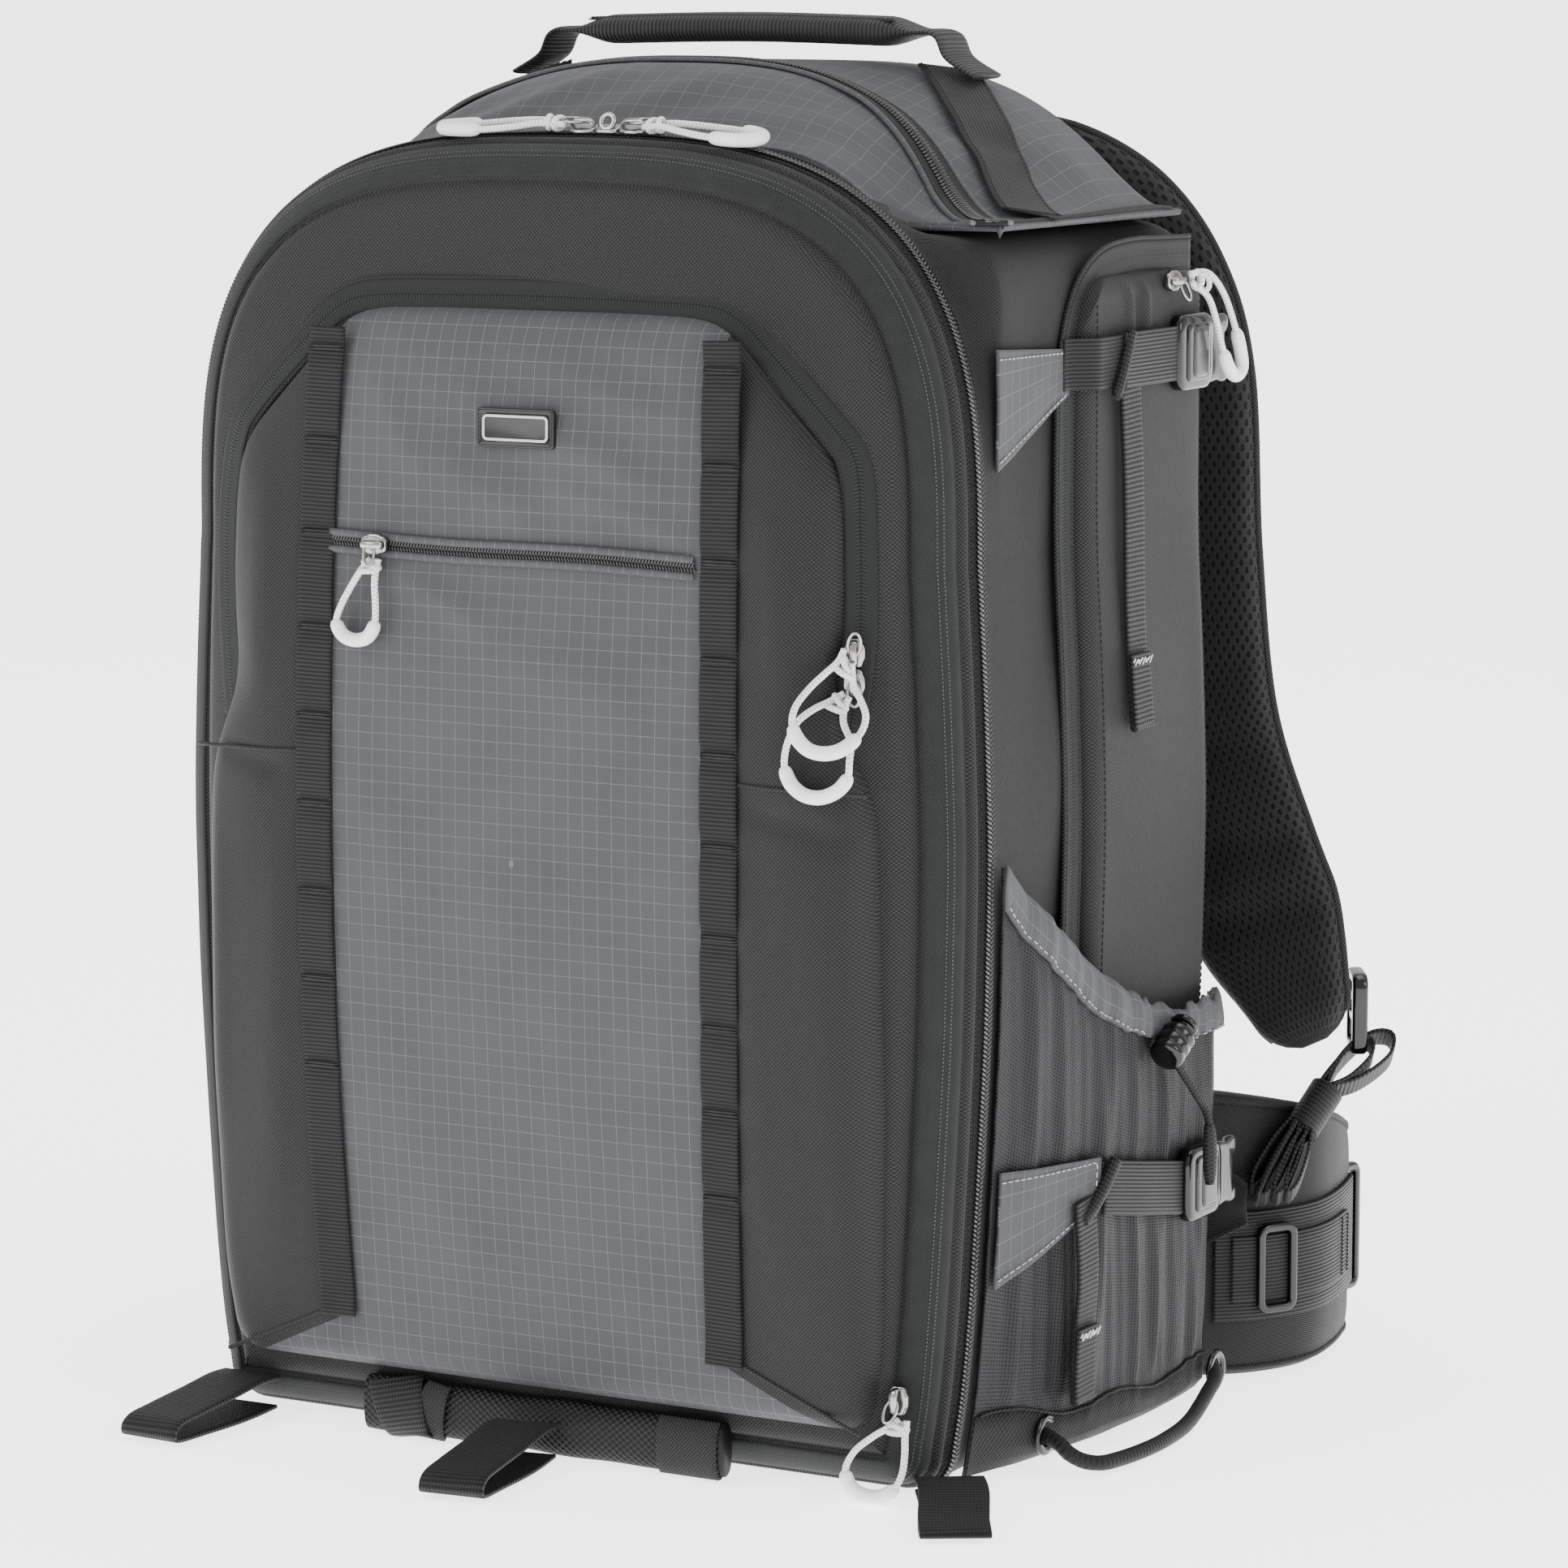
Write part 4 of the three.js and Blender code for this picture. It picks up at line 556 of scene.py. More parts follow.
# Main zip: a heavy glossy coil right round the front edge, on dark tape, stitched down on both sides.
# The tape is a closed band; the coil is two rows of small slanting bars placed along the outline.
zip_coil, tree, shader, u, v = new_material("zip_coil", 0.22, specular=0.6)
coil_tone = colour_mix(tree, cloudy(tree, 5), (0.0025, 0.0025, 0.0025), (0.0092, 0.0092, 0.0097))
tree.links.new(coil_tone, shader.inputs["Base Color"])
raised(tree, shader, cloudy(tree, 1.2), 0.03)

zip_tape, tree, shader, u, v = new_material("zip_tape", 0.7, specular=0.15, sheen=0.05)
bone_fold = math_node(tree, "PINGPONG", v, 1.1)
bone = wave(tree, math_node(tree, "ADD", u, math_node(tree, "MULTIPLY", bone_fold, 1.0)), 1.0)
bone_height = math_node(tree, "MULTIPLY_ADD", bone, 0.5, 0.5)
bone_share = math_node(tree, "MULTIPLY", bone_height,
                       math_node(tree, "MULTIPLY_ADD", cloudy(tree, 8), 0.6, 0.5))
tape_tone = colour_mix(tree, bone_share, (0.0050, 0.0059, 0.0059), (0.0277, 0.0307, 0.0302))
tree.links.new(tape_tone, shader.inputs["Base Color"])
raised(tree, shader, bone_height, 0.15)


def bar(length, radius, sides=6):
    """Small capsule along its first axis: four rings and two flat ends, with its quads."""
    along = np.array([-0.5, -0.32, 0.32, 0.5]) * length
    size = np.array([0.55, 1.0, 1.0, 0.55]) * radius
    ring = circle(1.0, sides)
    points = np.stack([np.repeat(along, sides), np.outer(size, ring[:, 0]).reshape(-1),
                       np.outer(size, ring[:, 1]).reshape(-1)], axis=1)
    faces, plain = grid_faces(4, sides, False, True)
    ends = np.array([[0, 5, 4, 3], [0, 3, 2, 1]])
    last = 3 * sides
    return points, np.vstack([faces, ends, last + ends[:, ::-1]])


def strew(name, centres, first, second, shape, material, body="bag"):
    """Copies of a small shape at centres, each turned to its own first and second axis."""
    points, faces = shape
    first = unit(np.broadcast_to(first, centres.shape))
    third = unit(np.cross(first, second))
    second = np.cross(third, first)
    placed = (centres[:, None] + first[:, None] * points[None, :, 0:1] + second[:, None]
              * points[None, :, 1:2] + third[:, None] * points[None, :, 2:3]).reshape(-1, 3)
    shift = np.arange(len(centres))[:, None, None] * len(points)
    all_faces = (faces[None] + shift).reshape(-1, 4)
    return put_mesh(name, placed, all_faces, box_uv(placed, all_faces), material, body)


def coil(name, path, outward, pitch, half_width, radius, material=None, lean=0.35):
    """Two rows of slanting bars along a path, standing on its outward side."""
    steps = max(4, int(path_run(path)[-1] / pitch))
    even = even_path(np.concatenate([path, outward], axis=1), steps)
    place, out = even[:, :3], unit(even[:, 3:])
    ahead = unit(np.gradient(place, axis=0))
    side = unit(np.cross(out, ahead))
    centres = np.vstack([place + side * half_width * 0.5,
                         place - side * half_width * 0.5 + ahead * pitch * 0.5])
    first = np.vstack([side + ahead * lean, -side + ahead * lean])
    return strew(name, centres, first, np.vstack([out, out]), bar(half_width * 1.25, radius),
                 material or zip_coil)


def stitches(name, path, outward, pitch, length, radius, material):
    """Row of short threads along a path."""
    steps = max(2, int(path_run(path)[-1] / pitch))
    even = even_path(np.concatenate([path, np.broadcast_to(outward, path.shape)], axis=1), steps)
    ahead = unit(np.gradient(even[:, :3], axis=0))
    return strew(name, even[:, :3], ahead, unit(even[:, 3:]), bar(length, radius), material)


tape_rings = [(0.2, -91.6), (-0.3, -93.0), (-0.3, -97.0), (0.2, -98.4), (5.0, -98.4), (5.0, -91.6)]
tape_grid = np.stack([at_depth(inset_outline(arch, d), y) for d, y in tape_rings])
tape_grid[..., 2] = np.maximum(tape_grid[..., 2], 0.2)
around = path_run(np.vstack([arch, arch[:1]]))
tape_uv = np.stack(np.meshgrid(np.array([0, 1.5, 5.5, 7, 12, 18.8, 24.0]), around, indexing="ij")[::-1],
                   axis=-1)
main_tape = surface("main_zip_tape", tape_grid, zip_tape, uv=tape_uv, wrap_rows=True,
                    wrap_columns=True)
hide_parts("main_zip")
open_run = arch[47:-46]
outward_run = inset_outline(arch, -1)[47:-46] - open_run
coil_path = at_depth(inset_outline(arch, -0.9)[47:-46], -95.0)
coil("main_zip_coil", coil_path, at_depth(outward_run, 0.0), 1.75, 2.9, 0.78, lean=0.55)

thread_black, tree, shader, u, v = new_material("thread_black", 0.6)
thread_tone = colour_mix(tree, cloudy(tree, 3), (0.0050, 0.0050, 0.0055), (0.0210, 0.0210, 0.0218))
tree.links.new(thread_tone, shader.inputs["Base Color"])
thread_grey, tree, shader, u, v = new_material("thread_grey", 0.6, sheen=0.05)
thread_tone = colour_mix(tree, cloudy(tree, 3), (0.1176, 0.1176, 0.1218), (0.50, 0.50, 0.52))
tree.links.new(thread_tone, shader.inputs["Base Color"])
for row, depth in (("back", -90.2), ("front", -100.2)):
    line = at_depth(inset_outline(arch, 0.1)[47:-46], depth)
    stitches("main_zip_stitch_" + row, line, at_depth(outward_run, 0.0), 2.6, 1.9, 0.28, thread_black)

# Front flap: the stiff padded lid. From the zip inwards it has a groove, a rolled edge, the dark tape of a
# second zip, and then the soft pillow of ballistic nylon. One loft follows that profile round the outline.
flap_rim = -118.7
flap_bulge = 16.0


def flap_face(x, z):
    """Shallow pillow of the flap: flat across, falling off near the sides and towards top and base."""
    across = np.clip(np.abs(x) / 160.0, 0, 1)
    up = np.clip(np.abs(z - 245.0) / 252.0, 0, 1)
    return flap_rim - flap_bulge * (1 - across ** 9) * (1 - up ** 2)


flap_profile = np.array([
    (3.2, -98.5), (1.2, -98.7), (0.9, -99.3), (2.0, -99.9), (2.3, -100.6), (1.2, -101.2), (0.5, -102.4),
    (0.6, -104.0), (1.5, -105.2), (2.9, -105.7), (3.4, -106.3), (3.4, -107.4), (4.4, -109.8), (6.0, -112.4),
    (8.2, -115.0), (10.6, -117.0), (13.0, -118.4), (14.8, -119.1), (15.8, -118.7), (16.3, -118.6)])
flap_rings = [at_depth(inset_outline(arch, d), y) for d, y in flap_profile]
edge = inset_outline(arch, 16.6)
flap_middle = np.array([0.0, 250.0])
for share in np.concatenate([np.linspace(0, 0.16, 26), np.linspace(0.16, 0.985, 40)[1:]]):
    ring = edge + (flap_middle - edge) * share
    inside = np.linalg.norm(ring - edge, axis=1)
    roll = np.sqrt(np.clip(1 - (1 - np.clip(inside / 7.0, 0, 1)) ** 2, 0, 1))
    face = flap_face(ring[:, 0], ring[:, 1])
    sag = 0.8 * np.sin(ring[:, 0] / 33) * np.sin(ring[:, 1] / 41) * smooth_step((inside - 4) / 30)
    flap_rings.append(at_depth(ring, -118.4 + (face + sag + 118.4 - 1.2) * roll))
flap_grid = np.stack(flap_rings)
flap = surface("front_lid", flap_grid, black_cloth, wrap_columns=True, capped=True)
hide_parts("front_flap")


def outline_band(name, outline, profile, lift, material):
    """Thin closed band over an outline: a profile of inset and depth, lifted outwards, with a wall of 0.9
    mm."""
    line = np.asarray(profile, float)
    ahead = unit(np.gradient(line, axis=0))
    out = np.stack([ahead[:, 1], -ahead[:, 0]], axis=1)
    section = np.vstack([line + out * lift, (line + out * (lift - 0.9))[::-1]])
    grid = np.stack([at_depth(inset_outline(outline, d), y) for d, y in section])
    around = path_run(np.vstack([outline, outline[:1]]))
    through = path_run(np.vstack([section, section[:1]]))
    uv = np.stack(np.meshgrid(through, around, indexing="ij")[::-1], axis=-1)
    return surface(name, grid, material, uv=uv, wrap_rows=True, wrap_columns=True)


tape_line = flap_profile[11:18]
lid_tape = outline_band("lid_tape", arch, tape_line, 0.55, zip_tape)
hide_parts("front_flap")
for row, (d, y) in enumerate(((5.4, -112.2), (7.0, -114.4))):
    line = at_depth(inset_outline(arch, d)[45:-44], y)
    away = at_depth(outward_run, 0.0)
    stitches(f"lid_tape_seam_{row}", line, np.array([0.0, -1.0, 0.0]), 1.5, 1.1, 0.42, zip_coil)

# Front pocket: a soft raised panel inside a U-shaped zip. Its middle is grey ripstop that flares out at the
# base, its sides are black ballistic nylon. One skin is lofted from its seam to its middle, with folds.
pocket_half, pocket_low, pocket_high = 148.0, 26.0, 441.0
pocket_raise = 14.0
pocket_rows = np.array([
    (0, 1), (0.27, 1), (0.5, 0.998), (0.58, 0.988), (0.63, 0.968), (0.878, 0.874), (0.9, 0.83), (0.905, 0.74),
    (0.885, 0.65), (0.93, 0.615), (0.985, 0.57), (1, 0.3), (0.985, 0.08), (0.95, 0), (0.5, 0), (0, 0)])
daisy_spread, daisy_bow, daisy_low, daisy_high = 86.0, 3.0, 48.0, 432.0


def daisy_middle(z):
    """Distance of a webbing strip from the middle, bowed outwards half way up."""
    return daisy_spread + daisy_bow * np.sin(np.pi
                                             * np.clip((z - daisy_low) / (daisy_high - daisy_low), 0, 1))


def fold(x, z, start, end, width, depth):
    """Long soft ridge from a start to an end point: a rounded hump across, fading to both ends."""
    start, end = np.array(start, float), np.array(end, float)
    span = end - start
    length = np.hypot(*span)
    along = ((x - start[0]) * span[0] + (z - start[1]) * span[1]) / length ** 2
    across = ((x - start[0]) * span[1] - (z - start[1]) * span[0]) / length
    fade = smooth_step(np.minimum(along, 1 - along) / 0.3 + 0.15)
    return depth * fade * np.exp(-(across / width) ** 2)


pocket_folds = [
    ((-30, 410), (74, 372), 7, 1.7), ((-10, 428), (80, 398), 6, 1.1), ((-60, 392), (10, 364), 9, 1.2),
    ((10, 380), (82, 356), 5, 1.2), ((-70, 424), (-40, 372), 7, 0.9), ((30, 436), (72, 420), 6, 0.9),
    ((-62, 344), (-10, 322), 6, 1.5), ((-30, 330), (60, 290), 13, 1.3), ((-74, 300), (-50, 210), 9, 0.9),
    ((70, 310), (62, 160), 10, 0.8), ((-20, 240), (40, 120), 18, 0.9), ((-60, 160), (-20, 60), 14, 0.8),
    ((104, 380), (118, 300), 7, 1.0), ((128, 250), (138, 90), 8, 1.4), ((100, 240), (106, 80), 7, 0.9),
    ((-112, 380), (-118, 280), 8, 1.1), ((-104, 250), (-112, 90), 8, 1.2), ((-136, 240), (-140, 110), 6, 1.0),
    ((96, 262), (146, 250), 5, -1.2), ((-140, 270), (-100, 262), 5, -1.2)]


def pocket_face(x, z):
    """Depth of the front pocket's face: flap face, raise, folds, and furrows where the webbing pulls it
    in."""
    y = flap_face(x, z) - pocket_raise
    for start, end, width, depth in pocket_folds:
        y = y - fold(x, z, start, end, width, depth)
    furrow = np.exp(-((np.abs(x) - daisy_middle(z)) / 7.0) ** 2) * smooth_step((z - 40) / 20)
    crown = np.cos(np.clip(x / 76.0, -1, 1) * np.pi / 2) * smooth_step((z - 40)
            / 60) * smooth_step((348 - z) / 40)
    upper = np.cos(np.clip(x / 76.0, -1, 1) * np.pi / 2) * smooth_step((z - 352)
            / 20) * smooth_step((438 - z) / 30)
    outer = np.exp(-((np.abs(x) - 116) / 16.0) ** 2) * smooth_step((z - 40) / 60) * smooth_step((400 - z)
            / 60)
    return y + 1.6 * furrow - 1.2 * crown - 0.8 * upper - 1.6 * outer + 1.2


pocket_points = np.stack([pocket_rows[:, 0] * pocket_half,
                          pocket_low + (pocket_high - pocket_low) * pocket_rows[:, 1]], axis=1)
pocket_right = even_path(pocket_points, 241)
soft = np.ones(9) / 9
padded = np.vstack([pocket_right[1:5][::-1] * (-1, 1), pocket_right, pocket_right[-5:-1][::-1] * (-1, 1)])
pocket_right = np.stack([np.convolve(padded[:, 0], soft, "valid"),
                         np.convolve(padded[:, 1], soft, "valid")], axis=1)
pocket_outline = np.vstack([pocket_right, pocket_right[1:-1][::-1] * (-1, 1)])
pocket_middle = np.array([0.0, (pocket_low + pocket_high) / 2])
pocket_scale = np.array([1 / pocket_half, 1 / ((pocket_high - pocket_low) / 2)])
distances = np.concatenate([[0, 0, 0.4, 1.2, 2.4, 4, 6, 8.5, 11], np.linspace(14, 147.6, 64)])
pocket_grid = []
# Rings near the seam keep their distance from it; past the rim they shrink evenly to the middle.
pocket_rim = 14.0
pocket_reach = 134.5
for row, d in enumerate(distances):
    ring = pocket_middle + (pocket_outline - pocket_middle) * (1 - min(d, pocket_rim) * pocket_scale)
    ring = pocket_middle + (ring - pocket_middle) * (1 - max(d - pocket_rim, 0.0) / pocket_reach)
    base = flap_face(ring[:, 0], ring[:, 1])
    face = pocket_face(ring[:, 0], ring[:, 1])
    upper = smooth_step((ring[:, 1] - 230) / 60)
    quick = np.sqrt(np.clip(1 - (1 - np.clip(d / 10.0, 0, 1)) ** 2, 0, 1))
    slow = np.sqrt(np.clip(1 - (1 - np.clip(d / 34.0, 0, 1)) ** 2, 0, 1)) * 0.75 + 0.25 * smooth_step(d / 3.0)
    share = quick * (1 - upper) + slow * upper
    depth = base + 0.6 + (face - base - 0.6) * share if row else base + 3.0
    pocket_grid.append(at_depth(ring, depth))
pocket_grid = np.stack(pocket_grid)
pocket_uv = pocket_grid[:, list(range(pocket_grid.shape[1])) + [0]][:, :, [0, 2]]

panel_cloth, tree, shader, u, v = new_material("panel_cloth", 0.58, specular=0.2, sheen=0.04)
ripstop_colour, ripstop_height = ripstop_pattern(tree, u, v, grey_dark, grey_light, grey_line, 6.2)
crown = math_node(tree, "MULTIPLY", wave(tree, u, 1.55), wave(tree, v, 1.55))
weave = math_node(tree, "MULTIPLY_ADD", crown, 0.5, 0.5)
bright = math_node(tree, "MULTIPLY", math_node(tree, "POWER", weave, 1.6),
                   math_node(tree, "MULTIPLY_ADD", cloudy(tree, 0.9, 1), 0.9, 0.55))
ballistic_colour = colour_mix(tree, bright, (0.0025, 0.0025, 0.0028), (0.0245, 0.0245, 0.0258))
beside = math_node(tree, "LESS_THAN", math_node(tree, "ABSOLUTE", u), 84.0)
slope = math_node(tree, "MULTIPLY_ADD", math_node(tree, "SUBTRACT", math_node(tree, "ABSOLUTE", u), 80.0),
                  -0.47, 50.0)
below = math_node(tree, "LESS_THAN", v, slope)
grey_share = math_node(tree, "MAXIMUM", beside, below)
tree.links.new(colour_mix(tree, grey_share, ballistic_colour, ripstop_colour), shader.inputs["Base Color"])
both = math_node(tree, "ADD", math_node(tree, "MULTIPLY", ripstop_height, grey_share),
                 math_node(tree, "MULTIPLY", weave, math_node(tree, "SUBTRACT", 1.0, grey_share)))
raised(tree, shader, both, 0.18)
pocket = surface("pocket_panel", pocket_grid, panel_cloth, uv=pocket_uv, wrap_columns=True,
                 capped=True)
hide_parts("front_pocket")


def on_pocket(x, z, lift=0.0):
    """Points on the front pocket's face, lifted forward."""
    x, z = np.broadcast_arrays(np.asarray(x, float), np.asarray(z, float))
    return np.stack([x, pocket_face(x, z) - lift, z], axis=-1)


def strip(width, thick, corner=0.35):
    """Section of webbing: a flat band with round edges."""
    w, t = width / 2, thick / 2
    c = min(corner, t * 0.9)
    right = [(w, -t + c), (w, t - c), (w - c, t)]
    top = [(k, t) for k in np.linspace(w - c, -w + c, 9)[1:-1]]
    left = [(-w + c, t), (-w, t - c), (-w, -t + c), (-w + c, -t)]
    low = [(k, -t) for k in np.linspace(-w + c, w - c, 9)[1:-1]]
    return np.array(right + top + left + low + [(w - c, -t)])


# Pocket trims: the U zip with its tape and coil, the slit zip of the middle panel under its fold, and
# the seam lines where the side panels start. Bands lie on the flap, thin rolls of cloth make the folds.
flat_zip, tree, shader, u, v = new_material("flat_zip", 0.6, specular=0.15, sheen=0.05)
middle = math_node(tree, "ABSOLUTE", math_node(tree, "SUBTRACT", v, 6.0))
teeth = math_node(tree, "MULTIPLY_ADD", wave(tree,
                                             math_node(tree, "ADD", u, math_node(tree, "MULTIPLY", middle,
        0.4)), 1.35), 0.5, 0.5)
chain = math_node(tree, "LESS_THAN", middle, 1.9)
split = math_node(tree, "GREATER_THAN", middle, 0.28)
chain_height = math_node(tree, "MULTIPLY", math_node(tree, "MULTIPLY", teeth, split), chain)
ground = math_node(tree, "MULTIPLY_ADD", wave(tree,
                                              math_node(tree, "ADD", u, math_node(tree, "PINGPONG", v,
        1.0)), 1.0), 0.25, 0.35)
flat_share = math_node(tree, "ADD", math_node(tree, "MULTIPLY", ground,
                                              math_node(tree, "SUBTRACT", 1.0, chain)),
                       math_node(tree, "MULTIPLY", chain_height, 0.8))
tree.links.new(colour_mix(tree, flat_share, (0.0034, 0.0038, 0.0038), (0.0252, 0.0277, 0.0273)),
               shader.inputs["Base Color"])
raised(tree, shader, math_node(tree, "MULTIPLY_ADD", chain_height, 0.8,
                               math_node(tree, "MULTIPLY", ground, 0.3)), 0.4)


def ribbon(name, points, faces_out, width, thick, material, closed=False):
    """Band with round edges along points, its face turned to the given outward directions."""
    ahead = unit(np.gradient(points, axis=0)) if not closed else unit(np.roll(points, -1, 0)
            - np.roll(points, 1, 0))
    out = np.broadcast_to(faces_out, points.shape)
    side = unit(np.cross(ahead, out))
    face = np.cross(side, ahead)
    section = strip(width, thick)
    grid = points[:, None] + side[:, None] * section[None, :, 0:1] + face[:, None] * section[None, :, 1:2]
    run = path_run(points)
    uv = np.stack(np.meshgrid(run, np.append(section[:, 0], section[0, 0]) + width / 2, indexing="ij"),
                  axis=-1)
    return surface(name, grid, material, uv=uv, wrap_columns=True, capped=True)


forward = np.array([0.0, -1.0, 0.0])
u_shape = np.array([(136, 292), (137, 303), (139, 327), (138.5, 360), (136, 388), (126, 402), (96, 431),
                    (84, 440), (72, 443.5), (40, 444.5), (0, 445), (-40, 444.5), (-72, 443.5), (-86, 440),
                    (-98, 431), (-126, 403), (-135, 388), (-139, 360), (-139, 330), (-137, 300),
                    (-135, 280)], float)
u_line = smooth_path(u_shape, 300)
u_depth = flap_face(u_line[:, 0], u_line[:, 1])
u_points = np.stack([u_line[:, 0], u_depth - 1.7, u_line[:, 1]], axis=1)
u_ahead = unit(np.gradient(u_points, axis=0))
u_out = unit(np.stack([np.sign(u_line[:, 0]) * 0.0, -np.ones(300), np.zeros(300)], axis=1)
             + 0.35 * np.stack([u_line[:, 0] / 150, np.zeros(300), (u_line[:, 1] - 250) / 300], axis=1))
u_zip = ribbon("pocket_zip", u_points, u_out, 12.0, 1.2, flat_zip)
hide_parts("front_pocket")
inner = u_points - np.stack([u_ahead[:, 2], 0 * u_ahead[:, 0], -u_ahead[:, 0]], axis=1) * 6.2 + forward * 0.6
outer = u_points + np.stack([u_ahead[:, 2], 0 * u_ahead[:, 0], -u_ahead[:, 0]], axis=1) * 6.4
outer[:, 1] = flap_face(outer[:, 0], outer[:, 2]) - 0.4
sweep("pocket_zip_fold", inner, forward, circle(1.3, 10), black_cloth)
sweep("flap_zip_fold", outer, forward, circle(0.9, 10), black_cloth)

slit_x = np.linspace(-82, 77, 90)
slit_z = 351.0 - 2.0 * smooth_step(slit_x / 80 * 0.5 + 0.5) + 0.6 * np.sin(slit_x / 21)
ribbon("slit_tape", on_pocket(slit_x, slit_z, 0.2), forward, 6.0, 1.0, flat_zip)
coil("slit_coil", on_pocket(slit_x, slit_z + 0.2, 0.9), np.broadcast_to(forward, (90, 3)), 1.3, 1.9, 0.5)
fold_section = circle(1.0, 12)
sweep("slit_fold_upper", on_pocket(slit_x, slit_z + 3.0, 1.0), forward, fold_section * (1.5, 1.1),
      grey_cloth)
sweep("slit_fold_lower", on_pocket(slit_x, slit_z - 3.3, 0.8), forward, fold_section * (1.5, 1.3),
      grey_cloth)

seams = {"right": np.stack([np.linspace(95, 147, 40), np.linspace(270.0, 268.5, 40)], axis=1),
         "left": np.stack([np.linspace(-95, -147, 40), np.linspace(270.0, 268.5, 40)], axis=1),
         "flare_right": np.stack([np.linspace(92, 141, 40), np.linspace(44, 22.0, 40) + 5.5], axis=1),
         "flare_left": np.stack([np.linspace(-92, -141, 40), np.linspace(44, 22.0, 40) + 5.5], axis=1)}
for seam_name, line in seams.items():
    sweep("pocket_seam_" + seam_name, on_pocket(line[:, 0], line[:, 1], 0.05), forward, circle(0.8, 8),
          black_cloth)

# Daisy chains: two strips of ribbed black webbing up the pocket, tacked down every 35 mm or so.
# Between tacks the strip stands off a little; each tack is a dense row of thread across it.
webbing, tree, shader, u, v = new_material("ribbed_webbing", 0.62, specular=0.18, sheen=0.04)
rib = math_node(tree, "MULTIPLY_ADD", wave(tree, u, 1.55), 0.5, 0.5)
fine = math_node(tree, "MULTIPLY_ADD", wave(tree, v, 0.9), 0.15, 0.85)
rib_share = math_node(tree, "MULTIPLY", math_node(tree, "MULTIPLY", rib, fine),
                      math_node(tree, "MULTIPLY_ADD", cloudy(tree, 12), 0.6, 0.6))
tree.links.new(colour_mix(tree, rib_share, (0.0025, 0.0025, 0.0025), (0.0176, 0.0176, 0.0185)),
               shader.inputs["Base Color"])
raised(tree, shader, rib, 0.35)

right_tacks = np.array([421.0, 386, 351, 315, 280, 246, 212, 178, 146, 113])
left_tacks = np.array([424.0, 389, 354, 318, 284, 250, 216, 182, 148])
for side_name, mirror, tacks in (("right", 1.0, right_tacks), ("left", -1.0, left_tacks)):
    z = np.linspace(daisy_low, daisy_high, 260)
    near = np.abs(z[:, None] - tacks[None]).min(axis=1)
    loose = smooth_step(near / 9.0)
    middle = mirror * daisy_middle(z)
    points = on_pocket(middle, z, 0.0)
    points[:, 1] = pocket_face(middle, z) - 1.5 - 0.9 * loose
    piece = ribbon("daisy_" + side_name, points, forward, 15.6, 1.4, webbing)
    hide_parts("daisy_chain_" + side_name)
    tack_middle = mirror * daisy_middle(tacks)
    for row, shift in (("a", -0.55), ("b", 0.55)):
        tack_points = np.stack([tack_middle, pocket_face(tack_middle, tacks) - 2.5, tacks + shift], axis=1)
        strew(f"daisy_tack_{side_name}_{row}", tack_points, np.array([1.0, 0, 0]), np.array([0, 0, 1.0]),
              bar(15.0, 0.62), thread_black)

# Label: a plain black rubber patch with a pale raised frame, sewn to the panel. Nothing is written on it.
rubber, tree, shader, u, v = new_material("rubber_black", 0.38, specular=0.45)
rubber_tone = colour_mix(tree, cloudy(tree, 2, 4), (0.0025, 0.0025, 0.0025), (0.0067, 0.0067, 0.0071))
tree.links.new(rubber_tone, shader.inputs["Base Color"])
raised(tree, shader, cloudy(tree, 0.6, 3), 0.06)
pale_rubber, tree, shader, u, v = new_material("rubber_pale", 0.5)
pale_tone = colour_mix(tree, cloudy(tree, 2, 4), (0.42, 0.42, 0.43), (0.60, 0.60, 0.61))
tree.links.new(pale_tone, shader.inputs["Base Color"])


def round_rectangle(width, height, corner, steps=6):
    """Points round a rectangle with round corners."""
    angle = (np.arange(4)[:, None] + np.linspace(0, 1, steps)[None]) * np.pi / 2
    centre = np.array([(1, 1), (-1, 1), (-1, -1), (1, -1)]) * (width / 2 - corner, height / 2 - corner)
    return (centre[:, None] + corner * np.stack([np.cos(angle), np.sin(angle)], axis=-1)).reshape(-1, 2)


def patch_stack(name, middle, across, up, layers, material, body="bag"):
    """Stack of outlines along a direction: each layer is a lift and the points of its outline."""
    out = unit(np.cross(across, up))
    grid = np.stack([middle + out * lift + np.outer(ring[:, 0], across) + np.outer(ring[:, 1], up)
                     for lift, ring in layers])
    return surface(name, grid, material, wrap_columns=True, capped=True, body=body)


label_middle = on_pocket(1.0, 397.0)
label_across = np.array([1.0, 0.0, 0.0])
label_up = unit(on_pocket(1.0, 403.0) - on_pocket(1.0, 391.0))
rim = [(0.0, round_rectangle(33.6, 14.6, 1.4)), (1.5, round_rectangle(33.6, 14.6, 1.4)),
       (1.9, round_rectangle(32.8, 13.8, 1.2)), (1.9, round_rectangle(31.0, 12.0, 1.0)),
       (1.4, round_rectangle(30.4, 11.4, 1.0))]
label = patch_stack("label_patch_plate", label_middle, label_across, label_up, rim, rubber)
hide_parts("label_patch")
frame_line = round_rectangle(27.6, 8.8, 1.6, 10)
frame_points = label_middle + np.outer(frame_line[:, 0], label_across) + np.outer(frame_line[:, 1], label_up)
frame_points = frame_points + unit(np.cross(label_across, label_up)) * 1.6
sweep("label_frame", frame_points, unit(np.cross(label_across, label_up)), np.array([
    (0.5, 0), (0.45, 0.28), (-0.45, 0.28), (-0.5, 0)]), pale_rubber, closed=True)
stitch_line = round_rectangle(32.0, 13.0, 1.2, 8)
stitch_points = label_middle + np.outer(stitch_line[:, 0], label_across) + np.outer(stitch_line[:, 1],
        label_up)
